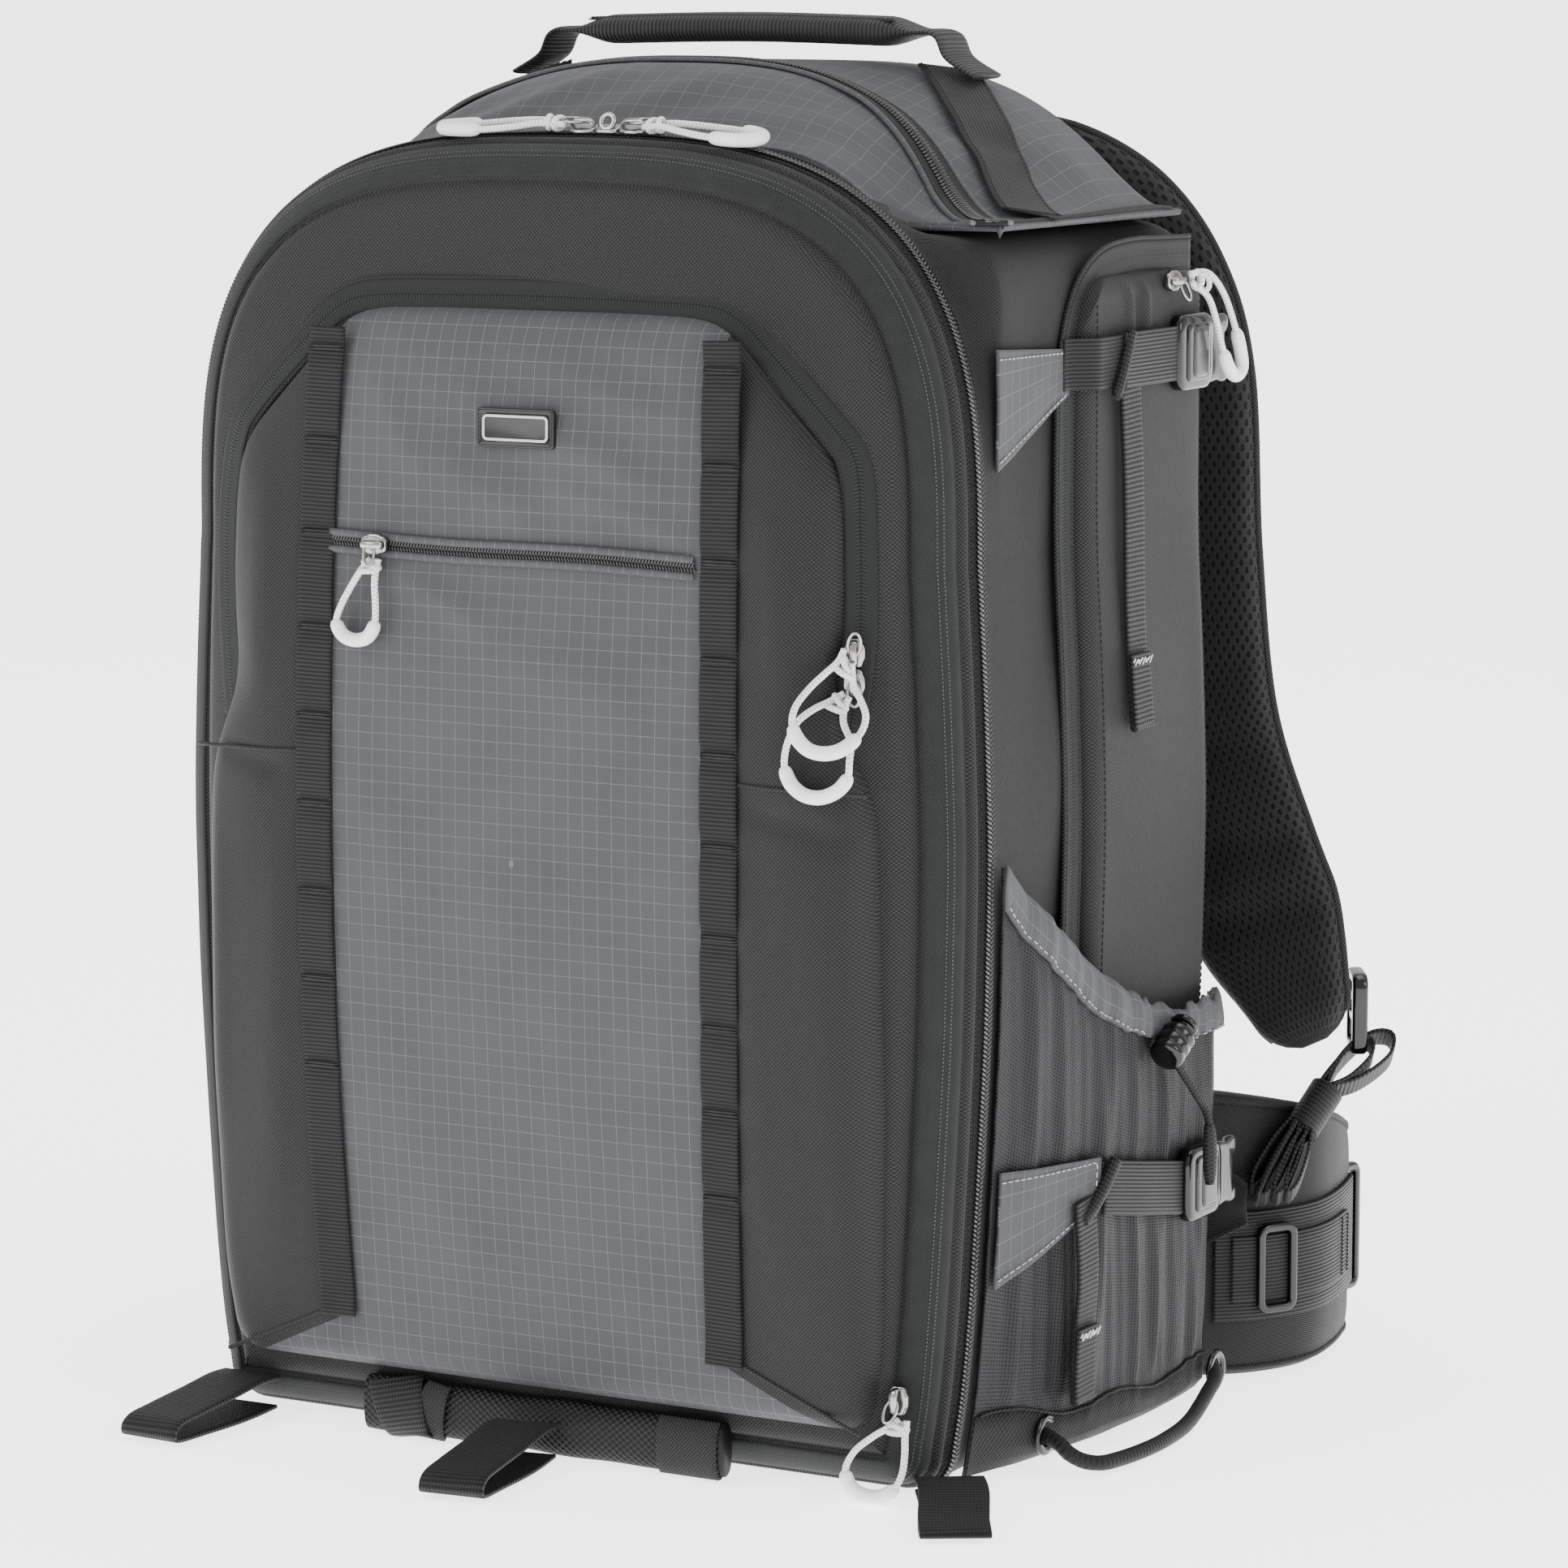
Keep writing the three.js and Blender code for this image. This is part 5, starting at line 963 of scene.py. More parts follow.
stitches("label_stitches", np.vstack([stitch_points, stitch_points[:1]])
         + unit(np.cross(label_across, label_up)) * 1.9, unit(np.cross(label_across, label_up)), 1.5, 1.0,
         0.22, thread_black)

# Top pocket: a domed grey ripstop lid on the roof with a zip over its crest. The skin is a sheet 2 mm thick
# whose height rises from the main zip to the crest and falls to the back, with slanting folds in front.
roof_height, dome_lift = 470.0, 2.8
dome_half, dome_rise = 166.0, 58.2


def body_top(x, y):
    """Top of the body over a place, between the front arch and the square roof."""
    share = smooth_step((y + 88.0) / 12.0)
    crest = 504.0 * (1 - share) + roof_height * share
    power = 2.95 * (13.0 / 2.95) ** share
    across = np.clip(np.abs(x) / 168.95, 0, 1)
    return arch_start + (crest - arch_start) * (1 - across ** power) ** (1 / power)


def dome_edge(x):
    """Front edge of the dome: on the zip in the middle, swept back towards the sides."""
    return -85.0 + 14.0 * smooth_step((np.abs(x) - 80.0) / 86.0)


def dome_height(x, y):
    """Outside of the dome over a place."""
    back_share = smooth_step((y + 15.0) / 60.0)
    power = 2.7 + 1.4 * back_share
    fall_power = 1.5 - 0.2 * back_share
    across = np.clip(np.abs(x) / dome_half, 0, 1)
    crest = roof_height + dome_lift + dome_rise * (1 - across ** power) ** fall_power
    front = dome_edge(x)
    rim = np.maximum(body_top(x, front), roof_height) + dome_lift
    rise = smooth_step((y - front) / 62.0)
    fall = 1 - smooth_step((y - 60.0) / 24.0)
    bulge = rim * (1 - rise) + crest * rise
    return (roof_height + dome_lift) * (1 - fall) + bulge * fall


dome_folds = [((-118, -66), (-60, -40), 7, 1.8), ((-84, -72), (-10, -34), 7, 2.2),
              ((-46, -76), (40, -36), 8, 1.8), ((-10, -78), (60, -52), 6, 1.6),
              ((30, -70), (104, -46), 9, 2.0), ((84, -72), (146, -62), 7, 1.6),
              ((-140, -52), (-100, -30), 8, 1.6), ((100, -20), (150, 0), 8, 1.4),
              ((110, 0), (156, 40), 10, 1.6), ((-90, 10), (-20, 50), 12, 1.0),
              ((20, 5), (90, 45), 12, 1.1), ((-150, -10), (-110, 40), 10, 1.2)]


def on_dome(x, y, lift=0.0):
    """Points on the dome with its folds, lifted upwards and a little forward where it faces the front."""
    x, y = np.broadcast_arrays(np.asarray(x, float), np.asarray(y, float))
    height = dome_height(x, y)
    slope_y = (dome_height(x, y + 1.0) - dome_height(x, y - 1.0)) / 2
    slope_x = (dome_height(x + 1.0, y) - dome_height(x - 1.0, y)) / 2
    out = unit(np.stack([-slope_x, -slope_y, np.ones_like(slope_x)], axis=-1))
    bump = sum(fold(x, y, start, end, width, depth) for start, end, width, depth in dome_folds)
    bump = (bump - 1.0) * smooth_step((y - dome_edge(x)) / 8) * smooth_step((dome_half - np.abs(x)) / 20)
    return soften_left(np.stack([x, y, height], axis=-1)) + out * (bump + lift)[..., None]


def grid_uv(grid):
    """Flat coordinates of a grid: lengths along its columns from the middle one, and along its rows."""
    across = np.linalg.norm(np.diff(grid, axis=1), axis=2)
    across = np.concatenate([np.zeros((len(grid), 1)), np.cumsum(across, axis=1)], axis=1)
    down = np.linalg.norm(np.diff(grid, axis=0), axis=2)
    down = np.concatenate([np.zeros((1, grid.shape[1])), np.cumsum(down, axis=0)], axis=0)
    middle = grid.shape[1] // 2
    return np.stack([across - across[:, middle:middle + 1],
                     np.broadcast_to(down[:, middle:middle + 1], across.shape)], axis=-1)


def thin_sheet(name, grid, out, thickness, material, uv=None, body="bag"):
    """Cloth of a thickness: the grid is its outside, and the inside lies behind it along its own normals."""
    normal = unit(np.cross(np.gradient(grid, axis=0), np.gradient(grid, axis=1)))
    normal = normal * np.sign(np.sum(normal * np.asarray(out, float)))
    flat = grid_uv(grid) if uv is None else uv
    both = np.concatenate([grid, (grid - normal * thickness)[:, ::-1]], axis=1)
    both_uv = np.concatenate([flat, flat[:, ::-1], flat[:, :1]], axis=1)
    return surface(name, both, material, uv=both_uv, wrap_columns=True, capped=True, body=body)


dome_x = dome_half * np.sin(np.linspace(-0.5, 0.5, 150) * np.pi)
dome_v = np.linspace(0, 1, 110) ** 1.15
dome_rows = []
for share in dome_v:
    dome_rows.append(on_dome(dome_x, dome_edge(dome_x) + (84.0 - dome_edge(dome_x)) * share))
fold_under = dome_rows[0] + np.array([0.0, 0.4, -2.2])
dome_grid = np.stack([fold_under, *dome_rows])
dome_grid[:, 0] += (1.2, 0, -2.2)
dome_grid[:, -1] += (-1.2, 0, -2.2)
top_panel = ripstop("top_cloth", grey_dark, grey_light, grey_line, cell=8.5)
dome = thin_sheet("top_pocket_lid", dome_grid, (0, 0, 1), 1.6, top_panel)
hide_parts("top_pocket")

dome_zip_line = np.array([(-163, -68), (-147, -58), (-124, -40), (-97, -25), (-78, -19), (-50, -15),
                          (0, -13), (50, -15), (78, -21), (97, -27), (124, -40), (147, -57), (158, -67),
                          (163, -74)], float)
zip_xy = smooth_path(dome_zip_line, 220)
zip_points = on_dome(zip_xy[:, 0], zip_xy[:, 1], 1.0)
zip_out = unit(on_dome(zip_xy[:, 0], zip_xy[:, 1], 4.0) - on_dome(zip_xy[:, 0], zip_xy[:, 1], 0.0))
ribbon("top_zip_tape", zip_points, zip_out, 13.0, 1.4, zip_tape)
coil("top_zip_coil", zip_points + zip_out * 0.9, zip_out, 1.75, 2.7, 0.72, lean=0.55)
zip_side = unit(np.cross(unit(np.gradient(zip_points, axis=0)), zip_out))
for row, offset in (("front", 5.6), ("back", -5.6)):
    stitches("top_zip_stitch_" + row, zip_points + zip_side * offset + zip_out * 0.7, zip_out, 2.4, 1.7, 0.24,
             thread_black)
    sweep("top_zip_fold_" + row, zip_points + zip_side * np.sign(offset) * 7.0 + zip_out * 0.2, zip_out,
          circle(1.0, 8) * (1.2, 1.0), grey_cloth)

edge_x = np.linspace(-160, 160, 240)
edge_line = on_dome(edge_x, dome_edge(edge_x) + 1.0, 0.2)
sweep("top_seam_roll", edge_line, np.array([0, -0.5, 1.0]), circle(1.0, 8), grey_cloth)
right_x = np.linspace(66, 160, 120)
right_stitch = on_dome(right_x, dome_edge(right_x) + 3.4, 0.25)
stitches("top_seam_stitches", right_stitch, np.array([0, -0.5, 1.0]), 3.0, 2.1, 0.32, thread_grey)
for side_name, mirror in (("right", 1.0), ("left", -1.0)):
    side_y = np.linspace(-66, 78, 90)
    side_x = np.full(90, 163.5) * mirror
    sweep("top_side_seam_" + side_name, on_dome(side_x, side_y, 0.1), np.array([mirror, 0, 0.4]),
          circle(1.3, 8), black_cloth)

# Carry handle: ribbed webbing rolled round a core into a grip, flat at its two legs, where it runs into
# yoke straps that go down to the side seams. One section follows the route, swelling at the grip.
ribbed_across, tree, shader, u, v = new_material("handle_webbing", 0.55, specular=0.18, sheen=0.05)
cross_rib = math_node(tree, "MULTIPLY_ADD", wave(tree, u, 1.75), 0.5, 0.5)
cross_rib = math_node(tree, "POWER", cross_rib, 0.6)
rib_tone = math_node(tree, "MULTIPLY", cross_rib, math_node(tree, "MULTIPLY_ADD", cloudy(tree, 14), 0.6, 0.6))
tree.links.new(colour_mix(tree, rib_tone, (0.0034, 0.0034, 0.0038), (0.0315, 0.0307, 0.0328)),
               shader.inputs["Base Color"])
raised(tree, shader, cross_rib, 0.5)

handle_y, handle_span = 37.0, 92.0
handle_foot = float(dome_height(np.array(handle_span), np.array(handle_y))) + 4.6
handle_path = smooth_path(np.array([(-handle_span - 12, handle_y, handle_foot - 4),
                                    (-handle_span, handle_y, handle_foot + 3),
                                    (-handle_span + 6, handle_y, handle_foot + 12),
                                    (-handle_span + 22, handle_y, 541.5), (0, handle_y, 543.0),
                                    (handle_span - 22, handle_y, 541.5),
                                    (handle_span - 6, handle_y, handle_foot + 12),
                                    (handle_span, handle_y, handle_foot + 3),
                                    (handle_span + 12, handle_y, handle_foot - 4)]), 220)
handle_run = np.linspace(0, 1, 220)
swell = smooth_step((0.5 - np.abs(handle_run - 0.5) - 0.15) / 0.08)
turn = np.arange(28) / 28 * 2 * np.pi
oval = np.stack([np.sign(np.cos(turn)) * np.abs(np.cos(turn)) ** 0.75,
                 np.sign(np.sin(turn)) * np.abs(np.sin(turn)) ** 0.75], axis=1)
handle_scale = np.stack([12.4 + 1.2 * swell, 1.4 + 4.5 * swell], axis=1)
handle = sweep("handle_grip", handle_path, np.array([0.0, 0.0, 1.0]), oval, ribbed_across,
               scale=handle_scale)
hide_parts("carry_handle")
grip_part = (handle_run > 0.19) & (handle_run < 0.81)
seam_path = handle_path[grip_part] + np.array([0.0, -9.4, 4.5])
sweep("handle_seam", seam_path, np.array([0, -0.5, 1.0]), circle(0.8, 8), ribbed_across)
stitches("handle_stitches", seam_path + np.array([0.0, -1.2, -0.4]), np.array([0, -0.7, 0.7]), 2.6, 1.8, 0.3,
         thread_black)

lengthwise, tree, shader, u, v = new_material("strap_webbing", 0.55, specular=0.18, sheen=0.05)
long_rib = math_node(tree, "MULTIPLY_ADD", wave(tree, v, 1.5), 0.5, 0.5)
tiny = math_node(tree, "MULTIPLY_ADD", wave(tree, u, 0.8), 0.2, 0.8)
rib_tone = math_node(tree, "MULTIPLY", math_node(tree, "MULTIPLY", long_rib, tiny),
                     math_node(tree, "MULTIPLY_ADD", cloudy(tree, 14), 0.6, 0.6))
tree.links.new(colour_mix(tree, rib_tone, (0.0029, 0.0029, 0.0034), (0.0252, 0.0248, 0.0265)),
               shader.inputs["Base Color"])
raised(tree, shader, long_rib, 0.35)
for side_name, mirror in (("right", 1.0), ("left", -1.0)):
    share = np.linspace(0, 1, 80)
    yoke_x = mirror * (86.0 + (160.0 - 86.0) * share)
    yoke_y = handle_y + (-36.0 - handle_y) * share
    yoke_points = on_dome(yoke_x, yoke_y, 2.6)
    yoke_out = unit(on_dome(yoke_x, yoke_y, 4.0) - on_dome(yoke_x, yoke_y, 0.0))
    yoke = ribbon("yoke_" + side_name, yoke_points, yoke_out, 24.0, 1.5, lengthwise)
    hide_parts("yoke_strap_" + side_name)
    yoke_side = unit(np.cross(unit(np.gradient(yoke_points, axis=0)), yoke_out))
    for edge_name, offset in (("a", 10.4), ("b", -10.4)):
        stitches(f"yoke_stitch_{side_name}_{edge_name}", yoke_points + yoke_side * offset + yoke_out * 0.8,
                 yoke_out, 2.6, 1.8, 0.3, thread_black)

# Side pockets: a zipped panel of ballistic nylon on each side wall, with a herringbone tape beside it. The
# pocket's skin is lofted from its seam to its middle; tape, fold and seams are thin bands on the wall.
side_front, side_back, side_low, side_high = -20.0, 85.0, 140.0, 451.0
side_raise = 7.6


def on_side(mirror, y, z, lift=0.0):
    """Points on the side wall of the body, lifted outwards."""
    y, z = np.broadcast_arrays(np.asarray(y, float), np.asarray(z, float))
    return np.stack([mirror * (side_half(z) + lift), y, z], axis=-1)


def pocket_lift(y, z):
    """Lift of the side pocket's face over the wall: quick at its seam, slacker towards the middle, two
    tucks."""
    inside = np.minimum(np.minimum(y - side_front, side_back - y), np.minimum(z - side_low, side_high - z))
    rise = np.sqrt(np.clip(1 - (1 - np.clip(inside / 9.0, 0, 1)) ** 2, 0, 1))
    slack = 0.6 * np.sin(z / 37 + y / 19) * smooth_step(inside / 20)
    tucks = (fold(y, z, (14, 449), (19, 414), 3.0, 1.8) + fold(y, z, (30, 449), (29, 418), 2.6, 1.5)
             - fold(y, z, (22, 449), (24, 416), 3.0, 1.2))
    return 0.6 + (side_raise - 0.6) * rise + slack + tucks


corner_turn = np.linspace(0, np.pi / 2, 14)
centre_y, centre_z, corner = (side_front + side_back) / 2, (side_low + side_high) / 2, 26.0
side_outline = []
for quarter, (sy, sz) in enumerate(((1, 1), (-1, 1), (-1, -1), (1, -1))):
    angle = corner_turn + quarter * np.pi / 2
    side_outline.append(np.stack([centre_y + sy * ((side_back - side_front) / 2 - corner) + corner
                                  * np.cos(angle), centre_z + sz * ((side_high - side_low) / 2 - corner)
                                  + corner * np.sin(angle)], axis=1))
side_outline = even_path(np.vstack([*side_outline, side_outline[0][:1]]), 321)[:-1]
side_scale = np.array([2 / (side_back - side_front), 2 / (side_high - side_low)])
side_middle = np.array([centre_y, centre_z])
side_rim = 11.0
side_reach = 41.2
for side_name, mirror in (("right", 1.0), ("left", -1.0)):
    rings = [on_side(mirror, side_outline[:, 0], side_outline[:, 1], -2.0)]
    for d in [0, 0.3, 1.0, 2.0, 3.5, 5.5, 8.0, *np.linspace(11, 51.8, 40)]:
        ring = side_middle + (side_outline - side_middle) * (1 - min(d, side_rim) * side_scale)
        ring = side_middle + (ring - side_middle) * (1 - max(d - side_rim, 0.0) / side_reach)
        lift = pocket_lift(ring[:, 0], ring[:, 1]) if d else 0.4
        rings.append(on_side(mirror, ring[:, 0], ring[:, 1], lift))
    pocket_skin = surface("side_panel_" + side_name, np.stack(rings), black_cloth,
                          wrap_columns=True, capped=True)
    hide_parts("side_pocket_" + side_name)
    outward = np.array([mirror, 0.0, 0.0])
    tape_yz = np.array([(-29, 120), (-28, 200), (-27, 300), (-27, 396), (-24, 424), (-14, 443), (4, 454),
                        (30, 457), (60, 456.5), (82, 456)], float)
    tape_yz = smooth_path(tape_yz, 200)
    arc_points = on_side(mirror, tape_yz[:, 0], tape_yz[:, 1], 1.0)
    ribbon("side_zip_" + side_name, arc_points, outward, 12.0, 1.3, flat_zip)
    arc_side = unit(np.cross(unit(np.gradient(arc_points, axis=0)), outward))
    for row, offset in enumerate((-6.6, 6.6)):
        sweep(f"side_zip_fold_{side_name}_{row}", arc_points + arc_side * offset, outward, circle(0.9, 8),
              black_cloth)
        stitches(f"side_zip_stitch_{side_name}_{row}",
                 arc_points + arc_side * offset * 0.8 + outward * 0.7, outward, 2.4, 1.6, 0.24,
                 thread_black)
    for seam_name, seam_yz in (("front", np.array([(-12, 150), (-12, 440)], float)),
                               ("back", np.array([(80, 150), (80.5, 300), (79, 440)], float))):
        seam_yz = even_path(seam_yz, 120)
        seam_points = on_side(mirror, seam_yz[:, 0], seam_yz[:, 1],
                              pocket_lift(seam_yz[:, 0], seam_yz[:, 1]) + 0.1)
        stitches(f"side_seam_{side_name}_{seam_name}", seam_points, outward, 2.6, 1.8, 0.3, thread_black)

# Bottle pockets: fine dark mesh gathered under a grey hem, pleated upwards from the base. The mesh stands off
# the wall, closed at its front, base and back; the hem is a puckered tube of ripstop along its mouth.
mesh_cloth, tree, shader, u, v = new_material("mesh_cloth", 0.5, specular=0.2, sheen=0.02)
hole_u = math_node(tree, "SINE", math_node(tree, "MULTIPLY", u, np.pi / 1.5))
hole_v = math_node(tree, "SINE", math_node(tree, "MULTIPLY", v, np.pi / 1.15))
hole = math_node(tree, "MULTIPLY", math_node(tree, "MULTIPLY", hole_u, hole_u),
                 math_node(tree, "MULTIPLY", hole_v, hole_v))
closed_share = math_node(tree, "SUBTRACT", 1.0, math_node(tree, "POWER", hole, 1.5))
mesh_share = math_node(tree, "MULTIPLY", closed_share,
                       math_node(tree, "MULTIPLY_ADD", cloudy(tree, 22), 0.7, 0.5))
tree.links.new(colour_mix(tree, mesh_share, (0.0013, 0.0013, 0.0013), (0.0168, 0.0155, 0.0185)),
               shader.inputs["Base Color"])
raised(tree, shader, closed_share, 0.3)

bottle_front, bottle_back = -88.0, 94.0
bottle_rows = np.array([(0, 0), (0.12, 0.42), (0.25, 0.7), (0.36, 0.88), (0.5, 1), (0.8, 1), (0.92, 0.9),
                        (0.97, 0.6), (1, 0)])
bottle_ups = np.array([(0, 0), (0.018, 1.05), (0.05, 1.3), (0.15, 1.2), (0.45, 1), (0.8, 0.9), (1, 0.76)])
pleats = [(0.10, 2.0, 0.9), (0.24, 1.6, -1.0), (0.36, 2.6, 1.0), (0.52, 2.0, -1.2), (0.63, 2.4, 1.2),
          (0.74, 2.2, -0.9), (0.84, 2.4, 1.0)]


def bottle_hem(y):
    """Height of the pocket's mouth, high at the front and low at the back."""
    share = np.clip((np.asarray(y) - bottle_front) / (bottle_back - bottle_front), 0, 1)
    return 237.0 + (162.0 - 237.0) * np.sin(np.minimum(share / 0.78, 1) * np.pi / 2) ** 0.9


def smooth_table(table, value, spread):
    """Table read with softened corners."""
    near = np.linspace(-spread, spread, 9)
    return np.mean([np.interp(value + shift, table[:, 0], table[:, 1]) for shift in near], axis=0)


def bottle_bulge(along, up):
    """How far the mesh stands off the wall, in millimetres, with pleats that fade towards its edges."""
    plain = 18.0 * smooth_table(bottle_rows, along, 0.03) * np.interp(up, bottle_ups[:, 0], bottle_ups[:, 1])
    room = smooth_step(along / 0.08) * smooth_step((1 - along) / 0.05) * smooth_step((up - 0.06) / 0.12)
    wave_sum = np.zeros(np.broadcast(along, up).shape)
    for place, tall, lean in pleats:
        centre = place + 0.05 * lean * (up - 0.4)
        width = 0.022 + 0.014 * up
        wave_sum = wave_sum + tall * np.exp(-((along - centre) / width) ** 2)
    return plain + room * (wave_sum - 1.4) + 0.35 * room * np.sin(along * 130 + up * 9)


def on_bottle(mirror, along, up, lift=0.0):
    """Points on the bottle pocket's mesh: shares along its depth and up to its hem."""
    along, up = np.broadcast_arrays(np.asarray(along, float), np.asarray(up, float))
    y = bottle_front + (bottle_back - bottle_front) * along
    z = up * bottle_hem(y)
    x = side_half(z) + 2.5 + bottle_bulge(along, up) + lift
    return np.stack([mirror * x, y, z], axis=-1)


def strap_pinch(along, up):
    """Share of the mesh pressed in under the lower strap."""
    y = bottle_front + (bottle_back - bottle_front) * along
    z = up * bottle_hem(y)
    strap_z = 106.0 - 12.0 * np.clip((y + 27) / 65.0, 0, 1)
    return np.exp(-((z - strap_z) / 13.0) ** 2) * smooth_step((y + 80) / 50)


fine_ribs, tree, shader, u, v = new_material("base_webbing", 0.6, specular=0.18, sheen=0.03)
check_height = math_node(tree, "MULTIPLY_ADD", math_node(tree, "MULTIPLY", wave(tree, u, 2.2),
                                                         wave(tree, v, 2.2)), 0.5, 0.5)
check_share = math_node(tree, "MULTIPLY", check_height,
                        math_node(tree, "MULTIPLY_ADD", cloudy(tree, 14), 0.6, 0.5))
tree.links.new(colour_mix(tree, check_share, (0.0021, 0.0021, 0.0021), (0.0189, 0.0185, 0.0197)),
               shader.inputs["Base Color"])
raised(tree, shader, check_height, 0.4)

ups = np.concatenate([[0.012, 0.03], np.linspace(0.05, 1.0, 110)])
alongs = np.linspace(0, 1, 260)
for side_name, mirror in (("right", 1.0), ("left", -1.0)):
    grid = np.stack([on_bottle(mirror, alongs, up, -1.3 * strap_pinch(alongs, up)) for up in ups])
    mesh_piece = thin_sheet("bottle_mesh_" + side_name, grid, (mirror, 0, 0), 1.2, mesh_cloth)
    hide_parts("bottle_pocket_" + side_name)
    band_up = np.array([0.014, 0.03, 0.05, 0.08, 0.112])
    band_grid = np.stack([on_bottle(mirror, alongs, up * (1 + 0.10 * np.sin(alongs * 17)), 0.7)
                          for up in band_up])
    thin_sheet("base_band_" + side_name, band_grid, (mirror, 0, 0), 1.1, fine_ribs)
    edge_along = np.linspace(0.01, 0.985, 150)
    edge = on_bottle(mirror, edge_along, 0.112 * (1 + 0.10 * np.sin(edge_along * 17)), 0.9)
    sweep("base_band_edge_" + side_name, edge, np.array([mirror, 0, 0]), circle(0.6, 8), fine_ribs)

    hem_along = np.linspace(0.004, 0.985, 330)
    pucker = (0.5 + 0.5 * np.sin(hem_along * 62 + 1.6 * np.sin(hem_along * 23))) * smooth_step((hem_along
            - 0.4) / 0.12)
    ripple = (0.5 + 0.5 * np.sin(hem_along * 118)) * 0.5 * smooth_step((hem_along - 0.18) / 0.1)
    top_line = on_bottle(mirror, hem_along, 1.0, 0.0)
    hem_rows = []
    for turn_share in np.linspace(0, 1, 30):
        angle = turn_share * 2 * np.pi
        down = 10.5 * (1 - np.cos(angle)) / 2 * (1.7 - 0.5 * smooth_step((hem_along - 0.3) / 0.3)) - 2.0
        out = 2.6 * np.sin(angle)
        crease = (1.9 * pucker + 1.1 * ripple) * np.sin(angle / 2) ** 2 * (1 if out.max() >= 0 else 0.3)
        lift = 0.8 + out + crease * np.sin(angle / 2)
        rise = 2.6 * pucker * np.exp(-(angle / 1.4) ** 2) - 1.2 * ripple
        point = top_line + np.stack([mirror * lift, np.zeros(330), rise - down], axis=-1)
        hem_rows.append(point)
    hem_grid = np.stack(hem_rows[:-1], axis=1)
    hem_uv = np.stack(np.meshgrid(path_run(top_line) * 1.35, np.linspace(0, 42, 30), indexing="ij"), axis=-1)
    surface("bottle_hem_" + side_name, hem_grid, grey_cloth, uv=hem_uv, wrap_columns=True,
            capped=True)
    stitch_line = hem_grid[:, 12] + np.array([mirror * 0.35, 0, 0])
    # On the right the stitches stop for the cord lock, so that its button has room to move.
    before_lock = 165
    after_lock = 245
    stitch_runs = {"bottle_hem_stitch_": stitch_line}
    if side_name == "right":
        stitch_runs = {"bottle_hem_stitch_": stitch_line[:before_lock],
                       "bottle_hem_stitch_back_": stitch_line[after_lock:]}
    for stitch_name, run in stitch_runs.items():
        stitches(stitch_name + side_name, run, np.array([mirror, 0, 0.0]), 3.4, 2.2, 0.3, thread_grey)

# Strap patches: small sheets of grey ripstop at the strap roots, cut slanting, with pale dashed stitches.
for patch_name, patch_front, patch_top, on_bag in (("upper_patch", -83.0, 428.0, True),
                                                   ("lower_patch", -86.5, 121.0, False)):
    u_share, v_share = np.meshgrid(np.linspace(0, 1, 60), np.linspace(0, 1, 44))
    patch_y = patch_front + 58.0 * u_share
    patch_z = patch_top - 3.0 * u_share - v_share * (45.0 - 28.0 * u_share)

    def patch_point(y, z, lift):
        """Points on the patch, on the wall or on the bottle pocket's mesh."""
        if on_bag:
            return on_side(1.0, y, z, lift)
        along = (y - bottle_front) / (bottle_back - bottle_front)
        plain = 18.0 * smooth_table(bottle_rows, along, 0.03) * np.interp(
            z / bottle_hem(y), bottle_ups[:, 0], bottle_ups[:, 1])
        return np.stack([side_half(z) + 3.2 + plain + lift, y, z], axis=-1)

    patch_grid = patch_point(patch_y, patch_z, 2.0 + 0.25 * np.sin(patch_y / 5) * np.sin(patch_z / 7))
    patch = thin_sheet(patch_name + "_cloth", patch_grid, (1, 0, 0), 1.3, grey_cloth)
    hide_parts(patch_name)
    inset = 0.06
    us = np.concatenate([np.linspace(0.02, 1 - inset, 40), np.full(14, 1 - inset),
                         np.linspace(1 - inset, 0.03, 40)])
    vs = np.concatenate([np.full(40, 0.08), np.linspace(0.08, 0.88, 14), np.full(40, 0.93)])
    line_y = patch_front + 58.0 * us
    line_z = patch_top - 3.0 * us - vs * (45.0 - 28.0 * us)
    stitches(patch_name + "_stitches", patch_point(line_y, line_z, 2.3), np.array([1.0, 0, 0]), 3.2, 2.3,
             0.36, thread_grey)

# Compression straps: two on each side, webbing with lengthwise ribs. On the right each passes a buckle, folds
# over itself and hangs down as a loose tail with cross ribs, a pale tack and a folded end.
tail_webbing, tree, shader, u, v = new_material("tail_webbing", 0.55, specular=0.18, sheen=0.04)
check = math_node(tree, "MULTIPLY", math_node(tree, "MULTIPLY_ADD", wave(tree, u, 1.9), 0.5, 0.5),
                  math_node(tree, "MULTIPLY_ADD", wave(tree, v, 1.3), 0.3, 0.7))
check_tone = math_node(tree, "MULTIPLY", check, math_node(tree, "MULTIPLY_ADD", cloudy(tree, 14), 0.5, 0.6))
tree.links.new(colour_mix(tree, check_tone, (0.0021, 0.0021, 0.0021), (0.0260, 0.0252, 0.0269)),
               shader.inputs["Base Color"])
raised(tree, shader, check, 0.45)
thread_pale, tree, shader, u, v = new_material("thread_pale", 0.6, sheen=0.05)
pale_thread = colour_mix(tree, cloudy(tree, 3), (0.55, 0.48, 0.52), (0.85, 0.80, 0.83))
tree.links.new(pale_thread, shader.inputs["Base Color"])


def upper_lift(y):
    """Lift of the upper strap over the wall: it climbs onto the raised pocket."""
    return 2.0 + 8.0 * smooth_step((y + 27) / 12.0)


